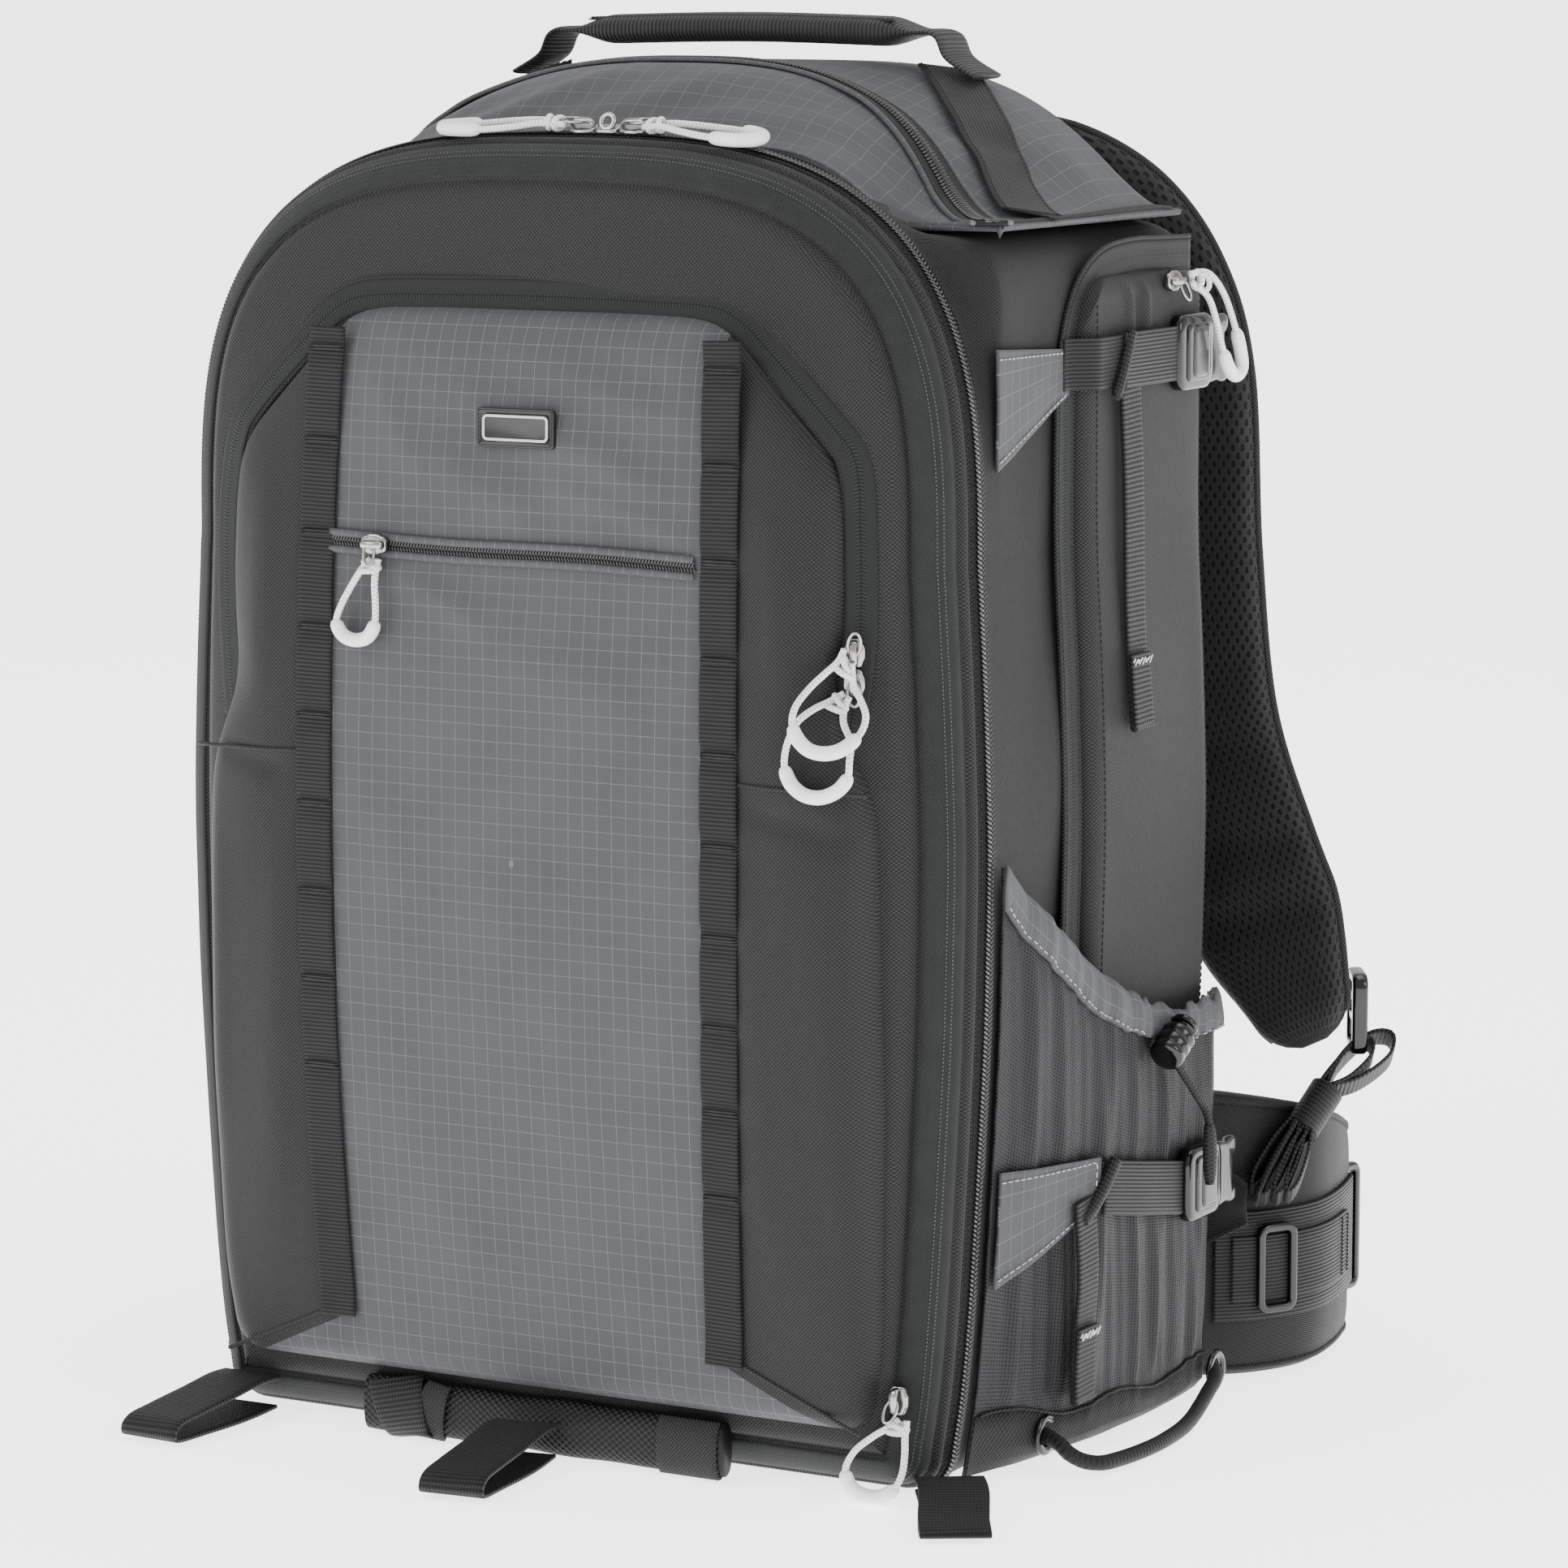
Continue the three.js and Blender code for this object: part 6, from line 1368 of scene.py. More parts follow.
def lower_place(mirror, y, z, lift):
    """Points of the lower strap, outside the bottle pocket's mesh."""
    along = (y - bottle_front) / (bottle_back - bottle_front)
    plain = 18.0 * smooth_table(bottle_rows, along, 0.03) * np.interp(
        (106.0 - 12.0 * np.clip((y + 27) / 65.0, 0, 1)) / bottle_hem(y), bottle_ups[:, 0], bottle_ups[:, 1])
    return np.stack([mirror * (side_half(z) + 3.0 + plain + lift), y, z + np.zeros_like(y)], axis=-1)


strap_y = np.linspace(-30, 50, 90)
low_y = np.linspace(-30, 40, 80)
low_z = 106.0 - 12.0 * np.clip((low_y + 27) / 65.0, 0, 1)
for side_name, mirror in (("right", 1.0), ("left", -1.0)):
    outward = np.array([mirror, 0.0, 0.0])
    upper_line = on_side(mirror, strap_y, np.full(90, 419.0), upper_lift(strap_y))
    upper = ribbon("upper_webbing_" + side_name, upper_line, outward, 19.5, 1.5, lengthwise)
    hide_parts("upper_strap_" + side_name)
    lower = ribbon("lower_webbing_" + side_name, lower_place(mirror, low_y, low_z, 0.8), outward, 19.5,
                   1.5, lengthwise)
    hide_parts("lower_strap_" + side_name)

over_y = np.linspace(3, 50, 50)
ribbon("upper_webbing_return", on_side(1.0, over_y, np.full(50, 419.2), upper_lift(over_y) + 1.7),
       np.array([1.0, 0, 0]), 21.0, 1.5, lengthwise)
over_low = np.linspace(-26, 40, 60)
over_low_z = 106.0 - 12.0 * np.clip((over_low + 27) / 65.0, 0, 1)
ribbon("lower_webbing_return", lower_place(1.0, over_low, over_low_z, 2.5), np.array([1.0, 0, 0]), 21.0,
       1.5, lengthwise)
fold_share = np.linspace(0, 1, 30)
fold_y, fold_z = -6.0 + 13.5 * fold_share ** 0.8, 406.5 + 23.5 * fold_share
sweep("upper_twist", on_side(1.0, fold_y, fold_z, upper_lift(fold_y) + 2.4), np.array([1.0, 0, 0]),
      circle(1.0, 14) * (2.6, 2.0), tail_webbing)
fold_y, fold_z = -41.0 + 20.0 * fold_share ** 0.7, 96.0 + 20.0 * fold_share
sweep("lower_twist", lower_place(1.0, fold_y, fold_z, 3.4), np.array([1.0, 0, 0]),
      circle(1.0, 14) * (3.0, 2.4), tail_webbing)


def hanging_tail(name, node, middle_y, top, low, place, sway):
    """Loose end of a strap: hangs flat, sways a little, and ends in a folded loop with a pale tack."""
    z = np.linspace(top, low + 1.5, 120)
    share = (top - z) / (top - low)
    y = middle_y + sway * (share - 0.5) * 2 + 0.8 * np.sin(share * 5)
    line = place(y, z, 0.9 * np.sin(share * 4.2) ** 2)
    tail = ribbon(name, line, np.array([1.0, 0, 0]), 16.6, 1.5, tail_webbing)
    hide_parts(node)
    ends = share > 1 - 30.0 / (top - low)
    inner_line = line[ends] + np.array([1.9, -1.2, 0.0])
    ribbon(name + "_folded_end", inner_line, np.array([1.0, 0, 0]), 16.2, 1.5, tail_webbing)
    roll_y = np.linspace(-8.1, 8.1, 20)
    roll = line[-1] + np.stack([np.full(20, 0.95), roll_y, np.full(20, -0.2)], axis=1)
    sweep(name + "_end_roll", roll, np.array([1.0, 0, 0]), circle(1.7, 12), tail_webbing)
    tack_at = line[ends][0] + np.array([2.7, 0, -3.0])
    tack_y = np.linspace(-7.6, 7.6, 13)
    tack = tack_at + np.stack([np.zeros(13), tack_y, 0.7 * np.cos(np.arange(13) * 2.6)], axis=1)
    strew(name + "_tack", tack, np.array([0, 0.75, 0.6]), np.array([1.0, 0, 0]), bar(2.2, 0.4), thread_pale)
    return tail


hanging_tail("upper_tail", "upper_strap_tail", 12.0, 412.0, 277.5, lambda y, z,
             out: on_side(1.0, y, z, 10.6 + out), 2.0)
hanging_tail("lower_tail", "lower_strap_tail", -38.0, 104.0, 24.5,
             lambda y, z, out: on_bottle(1.0, (-29.5 - bottle_front) / (bottle_back - bottle_front) + 0 * y,
                                         np.minimum(z, 104.0) / bottle_hem(-29.5), 3.0 + out) * (1, 0, 1)
             + np.stack([0 * y, y, 0 * y], axis=-1), 1.6)

# Buckles: a glossy black frame that grips a smoky grey plug with scooped shoulders, one for each right strap.
# Each is a few stacks of outlines lifted off the strap, with soft edges.
glossy_black, tree, shader, u, v = new_material("glossy_black", 0.16, specular=0.35)
gloss_tone = colour_mix(tree, cloudy(tree, 9, 3), (0.0017, 0.0017, 0.0017), (0.0042, 0.0042, 0.0046))
tree.links.new(gloss_tone, shader.inputs["Base Color"])
shader.inputs["Coat Weight"].default_value = 0.2
raised(tree, shader, cloudy(tree, 12, 2), 0.10)
smoky_grey, tree, shader, u, v = new_material("smoky_grey", 0.2, specular=0.3)
smoke_tone = colour_mix(tree, cloudy(tree, 9, 3), (0.0210, 0.0218, 0.0231), (0.0399, 0.0412, 0.0433))
tree.links.new(smoke_tone, shader.inputs["Base Color"])
shader.inputs["Coat Weight"].default_value = 0.15


def shrink(outline, distance):
    """Outline drawn in towards its centre by about a distance."""
    centre = outline.mean(axis=0)
    span = np.ptp(outline, axis=0) / 2
    return centre + (outline - centre) * (1 - distance / span)


def soft_plate(name, middle, across, up, outline, low, high, material, edge=1.2, body="bag"):
    """Plate between two lifts with edges rounded by a few outlines."""
    steps = [(low, edge * 0.5), (low + edge * 0.4, 0.0), (high - edge, 0.0), (high - edge * 0.35, edge * 0.3),
             (high, edge), (high + 0.1, edge * 2.6)]
    layers = [(lift, shrink(outline, inset)) for lift, inset in steps]
    return patch_stack(name, middle, across, up, layers, material, body)


plug_half = np.array([(0, 12.5), (7, 13), (13, 12.4), (18, 13.4), (21.5, 12.6), (22, 9.5), (18.5, 7.4),
                      (17, 4), (16.4, 0)], float)
plug_outline = smooth_path(np.vstack([plug_half, plug_half[:-1][::-1] * (1, -1)]), 60)
for strap_name in ("upper", "lower"):
    low_corner, high_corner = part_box(strap_name + "_buckle")
    low_corner, high_corner = np.array(low_corner) * 1000, np.array(high_corner) * 1000
    across, up = np.array([0.0, 1.0, 0.0]), np.array([0.0, 0.0, 1.0])
    frame_middle = np.array([low_corner[0] + 0.2, low_corner[1] + 15.5, (low_corner[2] + high_corner[2]) / 2])
    frame_piece = soft_plate(strap_name + "_buckle_frame", frame_middle, across, up,
                             round_rectangle(31, 29.5, 6.5), 0.0, 5.2, glossy_black, 1.5)
    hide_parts(strap_name + "_buckle")
    soft_plate(strap_name + "_buckle_window", frame_middle + across * 0.5, across, up,
               round_rectangle(20, 22.5, 2.5), 5.0, 6.1, glossy_black, 0.7)
    soft_plate(strap_name + "_buckle_tongue", frame_middle + across * 1.5, across, up,
               round_rectangle(13.5, 19.5, 2.2), 6.0, 6.9, smoky_grey, 0.8)
    plug_middle = frame_middle + across * 8.0
    soft_plate(strap_name + "_buckle_plug", plug_middle, across, up, plug_outline, 0.6, 4.6, smoky_grey,
               1.3)
    soft_plate(strap_name + "_buckle_plug_bar", frame_middle + across * 25.5, across, up,
               round_rectangle(7, 26, 2.6), 0.2, 3.6, smoky_grey, 1.0)

# Cord lock: a ribbed black barrel at the back of the hem with a sprung button, which presses in along its
# axis. Both are turned profiles. Steel-black rings hold the ends of the bungee cord at the base.


def turned(name, foot, axis, profile, material, body="bag"):
    """Solid turned about an axis: rows of radius and height from its foot."""
    axis = unit(np.array(axis, float))
    first = unit(np.cross(axis, (1.0, 0.2, 0.1)))
    second = np.cross(axis, first)
    angle = np.arange(28) / 28 * 2 * np.pi
    rows = np.array(profile, float)
    grid = (np.asarray(foot) + rows[:, None, 1:2] * axis + rows[:, None, 0:1]
            * (np.cos(angle)[None, :, None] * first + np.sin(angle)[None, :, None] * second))
    return surface(name, grid, material, wrap_columns=True, capped=True, body=body)


lock_axis = np.array([0.0, 0.8660254, 0.5])
low_corner, high_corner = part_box("cord_lock")
lock_middle = (np.array(low_corner) + np.array(high_corner)) * 500
lock_foot = lock_middle - lock_axis * 7.5
barrel_profile = [(4.6, 0.0), (6.3, 0.5), (6.9, 1.4), (6.9, 3.6), (6.3, 4.2), (6.3, 5.0), (6.9, 5.6),
                  (6.9, 9.4), (6.3, 10), (6.3, 10.8), (6.9, 11.4), (6.9, 13.6), (6.4, 14.6), (5.4, 15.0),
                  (4.4, 14.9), (4.3, 12.0), (4.3, 4.8)]
barrel = turned("cord_lock_barrel", lock_foot, lock_axis, barrel_profile, glossy_black)
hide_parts("cord_lock")
button_profile = [(3.2, 8.4), (3.6, 8.8), (3.6, 18.3), (4.8, 18.3), (5.5, 18.8), (5.6, 19.6), (5.5, 20.4),
                  (5.0, 21.0), (3.6, 21.3), (1.2, 21.2)]
button = turned("lock_button", lock_foot, lock_axis, button_profile, glossy_black,
                body="button")
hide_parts("cord_lock_button")

# Back panel: a foam cushion in black air mesh with a channel down its middle and two across. Its skin is
# lofted from its seam inwards; the lift of each point comes from its distance to the seam and the channels.
air_mesh, tree, shader, u, v = new_material("air_mesh", 0.6, specular=0.15, sheen=0.04)
lobes = math_node(tree, "MULTIPLY", wave(tree, u, 7.0), wave(tree, v, 4.2))
hole = math_node(tree, "MULTIPLY_ADD", lobes, 2.2, -0.35)
hole.node.use_clamp = True
knit = math_node(tree, "MULTIPLY_ADD", math_node(tree, "MULTIPLY", wave(tree, u, 1.0), wave(tree, v, 1.3)),
                 0.25, 0.75)
air_height = math_node(tree, "MULTIPLY", math_node(tree, "SUBTRACT", 1.0, hole), knit)
air_share = math_node(tree, "MULTIPLY", air_height,
                      math_node(tree, "MULTIPLY_ADD", cloudy(tree, 30), 0.6, 0.5))
tree.links.new(colour_mix(tree, air_share, (0.0013, 0.0013, 0.0013), (0.0168, 0.0164, 0.0176)),
               shader.inputs["Base Color"])
raised(tree, shader, air_height, 0.9)
twill_cloth, tree, shader, u, v = new_material("twill_cloth", 0.55, specular=0.15, sheen=0.04)
twill = math_node(tree, "MULTIPLY_ADD", wave(tree, math_node(tree, "MULTIPLY_ADD", u, 0.35, v), 0.9), 0.5,
                  0.5)
twill_share = math_node(tree, "MULTIPLY", twill, math_node(tree, "MULTIPLY_ADD", cloudy(tree, 26), 0.5, 0.6))
tree.links.new(colour_mix(tree, twill_share, (0.0050, 0.0046, 0.0050), (0.0244, 0.0235, 0.0252)),
               shader.inputs["Base Color"])
raised(tree, shader, twill, 0.2)

back_outline = even_path(np.vstack([round_rectangle(262, 400, 40, 16),
                                    round_rectangle(262, 400, 40, 16)[:1]]), 321)[:-1]
back_scale = np.array([1 / 131.0, 1 / 200.0])
back_rim = 11.0
back_reach = 119.0
back_rings = []
for d in [0, 0.2, 0.8, 2, 3.5, 5.5, 8, *np.linspace(11, 129, 60)]:
    ring = back_outline * (1 - min(d, back_rim) * back_scale)
    ring = ring * (1 - max(d - back_rim, 0.0) / back_reach)
    x, z = ring[:, 0], ring[:, 1] + 234.0
    roll = np.sqrt(np.clip(1 - (1 - np.clip(d / 9.0, 0, 1)) ** 2, 0, 1))
    channel = 5.0 * np.exp(-(x / 15.0) ** 2) * smooth_step((200 - np.abs(z - 234)) / 40)
    for crossing in (155.0, 315.0):
        channel = np.maximum(channel, 4.0 * np.exp(-((z - crossing) / 9.0) ** 2))
    back_rings.append(np.stack([x, 95.2 + 1.0 + 10.8 * roll - channel * roll, z], axis=1))
back_cushion = surface("back_cushion", np.stack(back_rings), air_mesh, wrap_columns=True,
                       capped=True)
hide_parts("back_panel")
back_piping = np.stack([back_outline[:, 0], np.full(320, 96.6), back_outline[:, 1] + 234.0], axis=1)
sweep("back_piping", back_piping, np.array([0, 1.0, 0]), circle(1.7, 10), black_cloth,
      closed=True)

# Shoulder straps: foam bands with air mesh inside, ballistic cloth outside and piping on both edges. One
# round-cornered section follows the route; it narrows at the tip, and slanting dents cross the mesh there.
strap_cloth, tree, shader, u, v = new_material("strap_cloth", 0.6, specular=0.15, sheen=0.04)
lobes = math_node(tree, "MULTIPLY", wave(tree, u, 6.4), wave(tree, v, 4.0))
hole = math_node(tree, "MULTIPLY_ADD", lobes, 2.2, -0.35)
hole.node.use_clamp = True
air_height = math_node(tree, "SUBTRACT", 1.0, hole)
crown = math_node(tree, "MULTIPLY_ADD", math_node(tree, "MULTIPLY", wave(tree, u, 1.55),
                                                  wave(tree, v, 1.55)), 0.5, 0.5)
outer_side = math_node(tree, "LESS_THAN", v, 78.0)
strap_height = math_node(tree, "ADD", math_node(tree, "MULTIPLY", crown,
                                                math_node(tree, "MULTIPLY", outer_side, 0.3)),
                         math_node(tree, "MULTIPLY", air_height,
                                   math_node(tree, "SUBTRACT", 1.0, outer_side)))
strap_tone = math_node(tree, "MULTIPLY", strap_height,
                       math_node(tree, "MULTIPLY_ADD", cloudy(tree, 30), 0.6, 0.5))
tree.links.new(colour_mix(tree, strap_tone, (0.0013, 0.0013, 0.0013), (0.0185, 0.0181, 0.0193)),
               shader.inputs["Base Color"])
raised(tree, shader, strap_height, 0.8)

shoulder_points = np.array([
    (64, 104, 440), (68, 119.5, 462), (84, 126, 474), (104, 141, 462), (122, 149, 436), (132, 152, 400),
    (136, 152, 330), (145, 150, 262), (166, 146, 208), (190, 141, 162), (203, 138, 136)], float)
round_turn = np.arange(48) / 48 * 2 * np.pi
band_section = np.stack([np.sign(np.cos(round_turn)) * np.abs(np.cos(round_turn)) ** 0.45 * 33.0,
                         np.sign(np.sin(round_turn)) * np.abs(np.sin(round_turn)) ** 0.62 * 7.5], axis=1)


def hard_frame(name, middle, across, up, width, height, bar_wide, thick, crossbars, material):
    """Rectangular buckle frame: a closed bar round its outline, and bars across at the given heights."""
    out = unit(np.cross(across, up))
    outline = round_rectangle(width - bar_wide, height - bar_wide, 3.5, 8)
    path = middle + np.outer(outline[:, 0], across) + np.outer(outline[:, 1], up)
    turn = np.arange(14) / 14 * 2 * np.pi
    section = np.stack([np.sign(np.cos(turn)) * np.abs(np.cos(turn)) ** 0.6 * bar_wide / 2,
                        np.sign(np.sin(turn)) * np.abs(np.sin(turn)) ** 0.6 * thick / 2], axis=1)
    ring = sweep(name, path, out, section, material, closed=True)
    for k, rise in enumerate(crossbars):
        bar_path = middle + np.outer(np.linspace(-0.5, 0.5, 12) * (width - bar_wide), across) + up * rise
        sweep(f"{name}_bar_{k}", bar_path, out, section * (1.0, 0.8), material)
    return ring


def webbing_loop_path(start, ahead, out, length, spread, count=40):
    """Path of a folded loop: out along a direction, round, and back beside itself."""
    points = [start, start + ahead * length * 0.35 + out * spread * 0.5,
              start + ahead * length * 0.8 + out * spread * 0.55, start + ahead * length,
              start + ahead * length * 0.8 - out * spread * 0.55,
              start + ahead * length * 0.35 - out * spread * 0.5, start - out * 0.4]
    return smooth_path(np.array(points), count)


def band_along(name, points, side, width, thick, material):
    """Webbing along a path whose width lies along a given side direction."""
    ahead = unit(np.gradient(points, axis=0))
    return ribbon(name, points, unit(np.cross(np.broadcast_to(side, points.shape), ahead)), width, thick,
                  material)


for side_name, mirror in (("right", 1.0), ("left", -1.0)):
    flip_x = np.array([mirror, 1.0, 1.0])
    route = smooth_path(shoulder_points, 170)
    share = np.linspace(0, 1, 170)
    facing = unit(np.stack([np.zeros(170), np.ones(170), 0.5 * (1 - smooth_step(share / 0.25))], axis=1))
    ahead = unit(np.gradient(route, axis=0))
    side = unit(np.cross(ahead, facing))
    face = np.cross(side, ahead)
    narrow = 1 - 0.42 * smooth_step((share - 0.86) / 0.14)
    tip = np.sqrt(np.clip(1 - np.clip((share - 0.965) / 0.035, 0, 1) ** 2 * 0.9, 0, 1))
    grid = np.zeros((170, 48, 3))
    for column, (wide, thick) in enumerate(band_section):
        dents = np.zeros(170)
        if thick < 0:
            for centre, tall in ((0.80, 2.6), (0.87, 3.0), (0.70, 1.2), (0.5, 0.8)):
                slant = centre + 0.02 * wide / 33
                dents = dents + tall * np.exp(-((share - slant) / 0.018) ** 2) * (1 - (wide / 33) ** 2)
        puff = 1 + 0.05 * np.sin(share * 40)
        grid[:, column] = (route + side * (wide * narrow * tip)[:, None]
                           + face * (thick * puff * tip + dents)[:, None])
    around = path_run(np.vstack([band_section, band_section[:1]]))
    strap_uv = np.stack(np.meshgrid(path_run(route), around, indexing="ij"), axis=-1)
    strap_piece = surface("shoulder_pad_" + side_name, grid * flip_x, strap_cloth, uv=strap_uv,
                          wrap_columns=True, capped=True)
    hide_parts("shoulder_strap_" + side_name)
    for edge_name, sign in (("a", 1.0), ("b", -1.0)):
        edge_path = (route + side * (sign * 33.2 * narrow * tip)[:, None] + face * 1.5) * flip_x
        sweep(f"shoulder_piping_{side_name}_{edge_name}", edge_path[6:-3], np.array([0, 1.0, 0.3]),
              circle(1.7, 10), black_cloth)

    low_corner, high_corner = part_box("ladder_lock_" + side_name)
    ladder_middle = (np.array(low_corner) + np.array(high_corner)) * 500
    ladder_across = np.array([0.489 * mirror, -0.872, 0.0])
    upward = np.array([0.0, 0.0, 1.0])
    ladder = hard_frame("ladder_frame_" + side_name, ladder_middle, ladder_across, upward, 25.6, 33.6, 4.6,
                        6.4, (-2.5, 6.0), glossy_black)
    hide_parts("ladder_lock_" + side_name)

    wing_u, wing_v = np.meshgrid(np.linspace(0, 1, 30), np.linspace(0, 1, 40))
    wing_z = (44 + 68 * wing_v) * (1 - wing_u) + (66 + 16 * wing_v) * wing_u
    wing_grid = np.stack([mirror * (150 + 39 * wing_u), 95.6 + 8.4 * wing_u + 0.5 * np.sin(wing_v * 9),
                          wing_z], axis=-1)
    wing = thin_sheet("wing_cloth_" + side_name, wing_grid, (0, -1, 0), 2.0, twill_cloth)
    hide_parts("strap_wing_" + side_name)
    for row in (2, 37):
        stitches(f"wing_stitch_{side_name}_{row}", wing_grid[row] + np.array([0, -0.2, 0]), forward, 2.6,
                 1.8, 0.3, thread_black)

    ladder_foot = np.array([213.0, 157.0, 133.0])
    wing_tip = np.array([192.0, 108.0, 76.0])
    run_down = unit(wing_tip - ladder_foot)
    cross_way = unit(np.array([0.44, -0.85, 0.55]) - run_down
                     * np.dot(np.array([0.44, -0.85, 0.55]), run_down))
    depth_way = np.cross(run_down, cross_way)
    strand = smooth_path(np.array([ladder_foot, ladder_foot + run_down * 24 + depth_way * 3,
                                   wing_tip - run_down * 18 + depth_way * 2, wing_tip]), 60)
    main_strand = band_along("adjuster_webbing_" + side_name, strand * flip_x, cross_way * flip_x, 19.0,
                             1.6, tail_webbing)
    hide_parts("adjuster_strap_" + side_name)
    sleeve_middle = ladder_foot + run_down * 33
    sleeve_path = sleeve_middle + np.outer(np.linspace(-10, 10, 16), run_down)
    turn = np.arange(30) / 30 * 2 * np.pi
    sleeve_section = np.stack([np.cos(turn) * 10.6, np.sin(turn) * 7.0], axis=1)
    sweep("adjuster_sleeve_" + side_name, sleeve_path * flip_x, depth_way * flip_x, sleeve_section,
          tail_webbing)
    for k, (length, spread, tilt, lean) in enumerate(((36, 11, -0.20, 0.75), (27, 8, 0.05, 0.45))):
        loop_way = unit(-run_down + np.array([0.62, 0.15, 0.1]) * lean + cross_way * tilt)
        loop_path = webbing_loop_path(sleeve_middle - run_down * 9, loop_way,
                                      unit(np.cross(loop_way, cross_way)), length, spread)
        band_along(f"adjuster_fan_{side_name}_{k}", loop_path * flip_x, cross_way * flip_x, 17.0, 1.4,
                   tail_webbing)
    for k, (length, offset, shift) in enumerate(((30, -4.5, -3), (33, -1.0, 1), (36, 3.0, 3), (34, 7.0, 5))):
        loop_way = unit(run_down + depth_way * 0.035 * offset + np.array([0.10, -0.02, -0.25]) * (k + 1)
                        * 0.35)
        start = sleeve_middle + run_down * 8 + depth_way * offset * 0.7
        loop_path = webbing_loop_path(start, loop_way, depth_way, length, 4.6, 36)
        band_along(f"adjuster_fold_{side_name}_{k}", loop_path * flip_x, cross_way * flip_x, 16.0, 1.3,
                   tail_webbing)

# Hip belt: foam wings that stand on the floor, with piped edges, a wide webbing band, its end buckle and a
# tri-glide; then the webbing right round to a big buckle in the middle of the wearer's side.
hip_route = np.array([(165, 109.3), (181, 124), (191, 146), (190, 172), (182, 207)], float)
hip_line = smooth_path(hip_route, 130)
hip_share = np.linspace(0, 1, 130)
hip_ahead = unit(np.gradient(hip_line, axis=0))
hip_out = np.stack([hip_ahead[:, 1], -hip_ahead[:, 0]], axis=1)
hip_end = np.sqrt(np.clip(1 - np.clip((hip_share - 0.9) / 0.1, 0, 1) ** 2 * 0.85, 0, 1))
hip_top = (118.0 - 28.0 * hip_share ** 1.4) * (0.93 + 0.07 * hip_end)
hip_low = 0.6 + 7.0 * (1 - hip_end)


def on_hip(share_index, out, z):
    """Points of the hip pad's plan line, pushed outwards and set at a height."""
    plan = hip_line[share_index] + hip_out[share_index] * np.asarray(out)[..., None]
    return np.stack([plan[..., 0], plan[..., 1], np.broadcast_to(z, plan.shape[:-1])], axis=-1)


hip_turn = np.arange(56) / 56 * 2 * np.pi
hip_section = np.stack([np.sign(np.cos(hip_turn)) * np.abs(np.cos(hip_turn)) ** 0.5,
                        np.sign(np.sin(hip_turn)) * np.abs(np.sin(hip_turn)) ** 0.28], axis=1)
all_shares = np.arange(130)
for side_name, mirror in (("right", 1.0), ("left", -1.0)):
    flip_x = np.array([mirror, 1.0, 1.0])
    grid = np.zeros((130, 56, 3))
    for column, (out, rise) in enumerate(hip_section):
        z = (hip_top + hip_low) / 2 + (hip_top - hip_low) / 2 * rise
        press = 1 - 0.10 * np.exp(-((z - 46) / 16.0) ** 2) * (out > 0)
        grid[:, column] = on_hip(all_shares, 8.4 * out * hip_end * press, z)
    hip_uv = np.stack(np.meshgrid(path_run(hip_line),
                                  path_run(np.vstack([hip_section, hip_section[:1]]) * (8.4, 58)),
                                  indexing="ij"), axis=-1)
    pad = surface("hip_cushion_" + side_name, grid * flip_x, twill_cloth, uv=hip_uv,
                  wrap_columns=True, capped=True)
    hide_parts("hip_pad_" + side_name)
    for edge_name, out, z in (("top", 5.6, hip_top - 2.6), ("low", 5.6, hip_low + 3.4)):
        piping = on_hip(all_shares, out * hip_end + 0.9, z)
        sweep(f"hip_piping_{side_name}_{edge_name}", piping[3:-2] * flip_x, np.array([mirror, 0, 0.3]),
              circle(1.4, 10), black_cloth)
    band_points = on_hip(all_shares, 9.2 * hip_end + 0.2, 46.5)
    ribbon("hip_band_" + side_name, band_points[6:126] * flip_x, np.array([mirror, -0.2, 0]), 45.0, 1.4,
           lengthwise)
    over_points = on_hip(all_shares, 10.6 * hip_end + 0.2, 45.5)
    ribbon("hip_strap_" + side_name, over_points[14:96] * flip_x, np.array([mirror, -0.2, 0]), 27.0, 1.4,
           lengthwise)
    glide_at = over_points[32] * flip_x + np.array([mirror * 1.6, 0, 0])
    hard_frame("hip_glide_" + side_name, glide_at,
               unit(np.array([hip_ahead[32][0] * mirror, hip_ahead[32][1], 0])), upward, 19.0, 37.0, 3.6,
               3.2, (), glossy_black)
    tack_z = np.linspace(34, 57, 22)
    for tack_index in (84, 94):
        tack_points = np.stack([np.full(22, over_points[tack_index][0]),
                                np.full(22, over_points[tack_index][1]), tack_z],
                               axis=1) * flip_x + np.array([mirror * 1.0, 0, 0])
        stitches(f"hip_tack_{side_name}_{tack_index}", tack_points, np.array([mirror, 0, 0]), 1.4, 1.1,
                 0.35, thread_black)
    end_at = np.array([mirror * (hip_line[-1][0] + 1.0), 205.5, 46.0])
    hard_frame("hip_end_frame_" + side_name, end_at + np.array([mirror * 6.0, 0, 0]),
               np.array([0.15 * mirror, 1.0, 0]), upward, 16.0, 54.0, 3.6, 4.2, (), glossy_black)

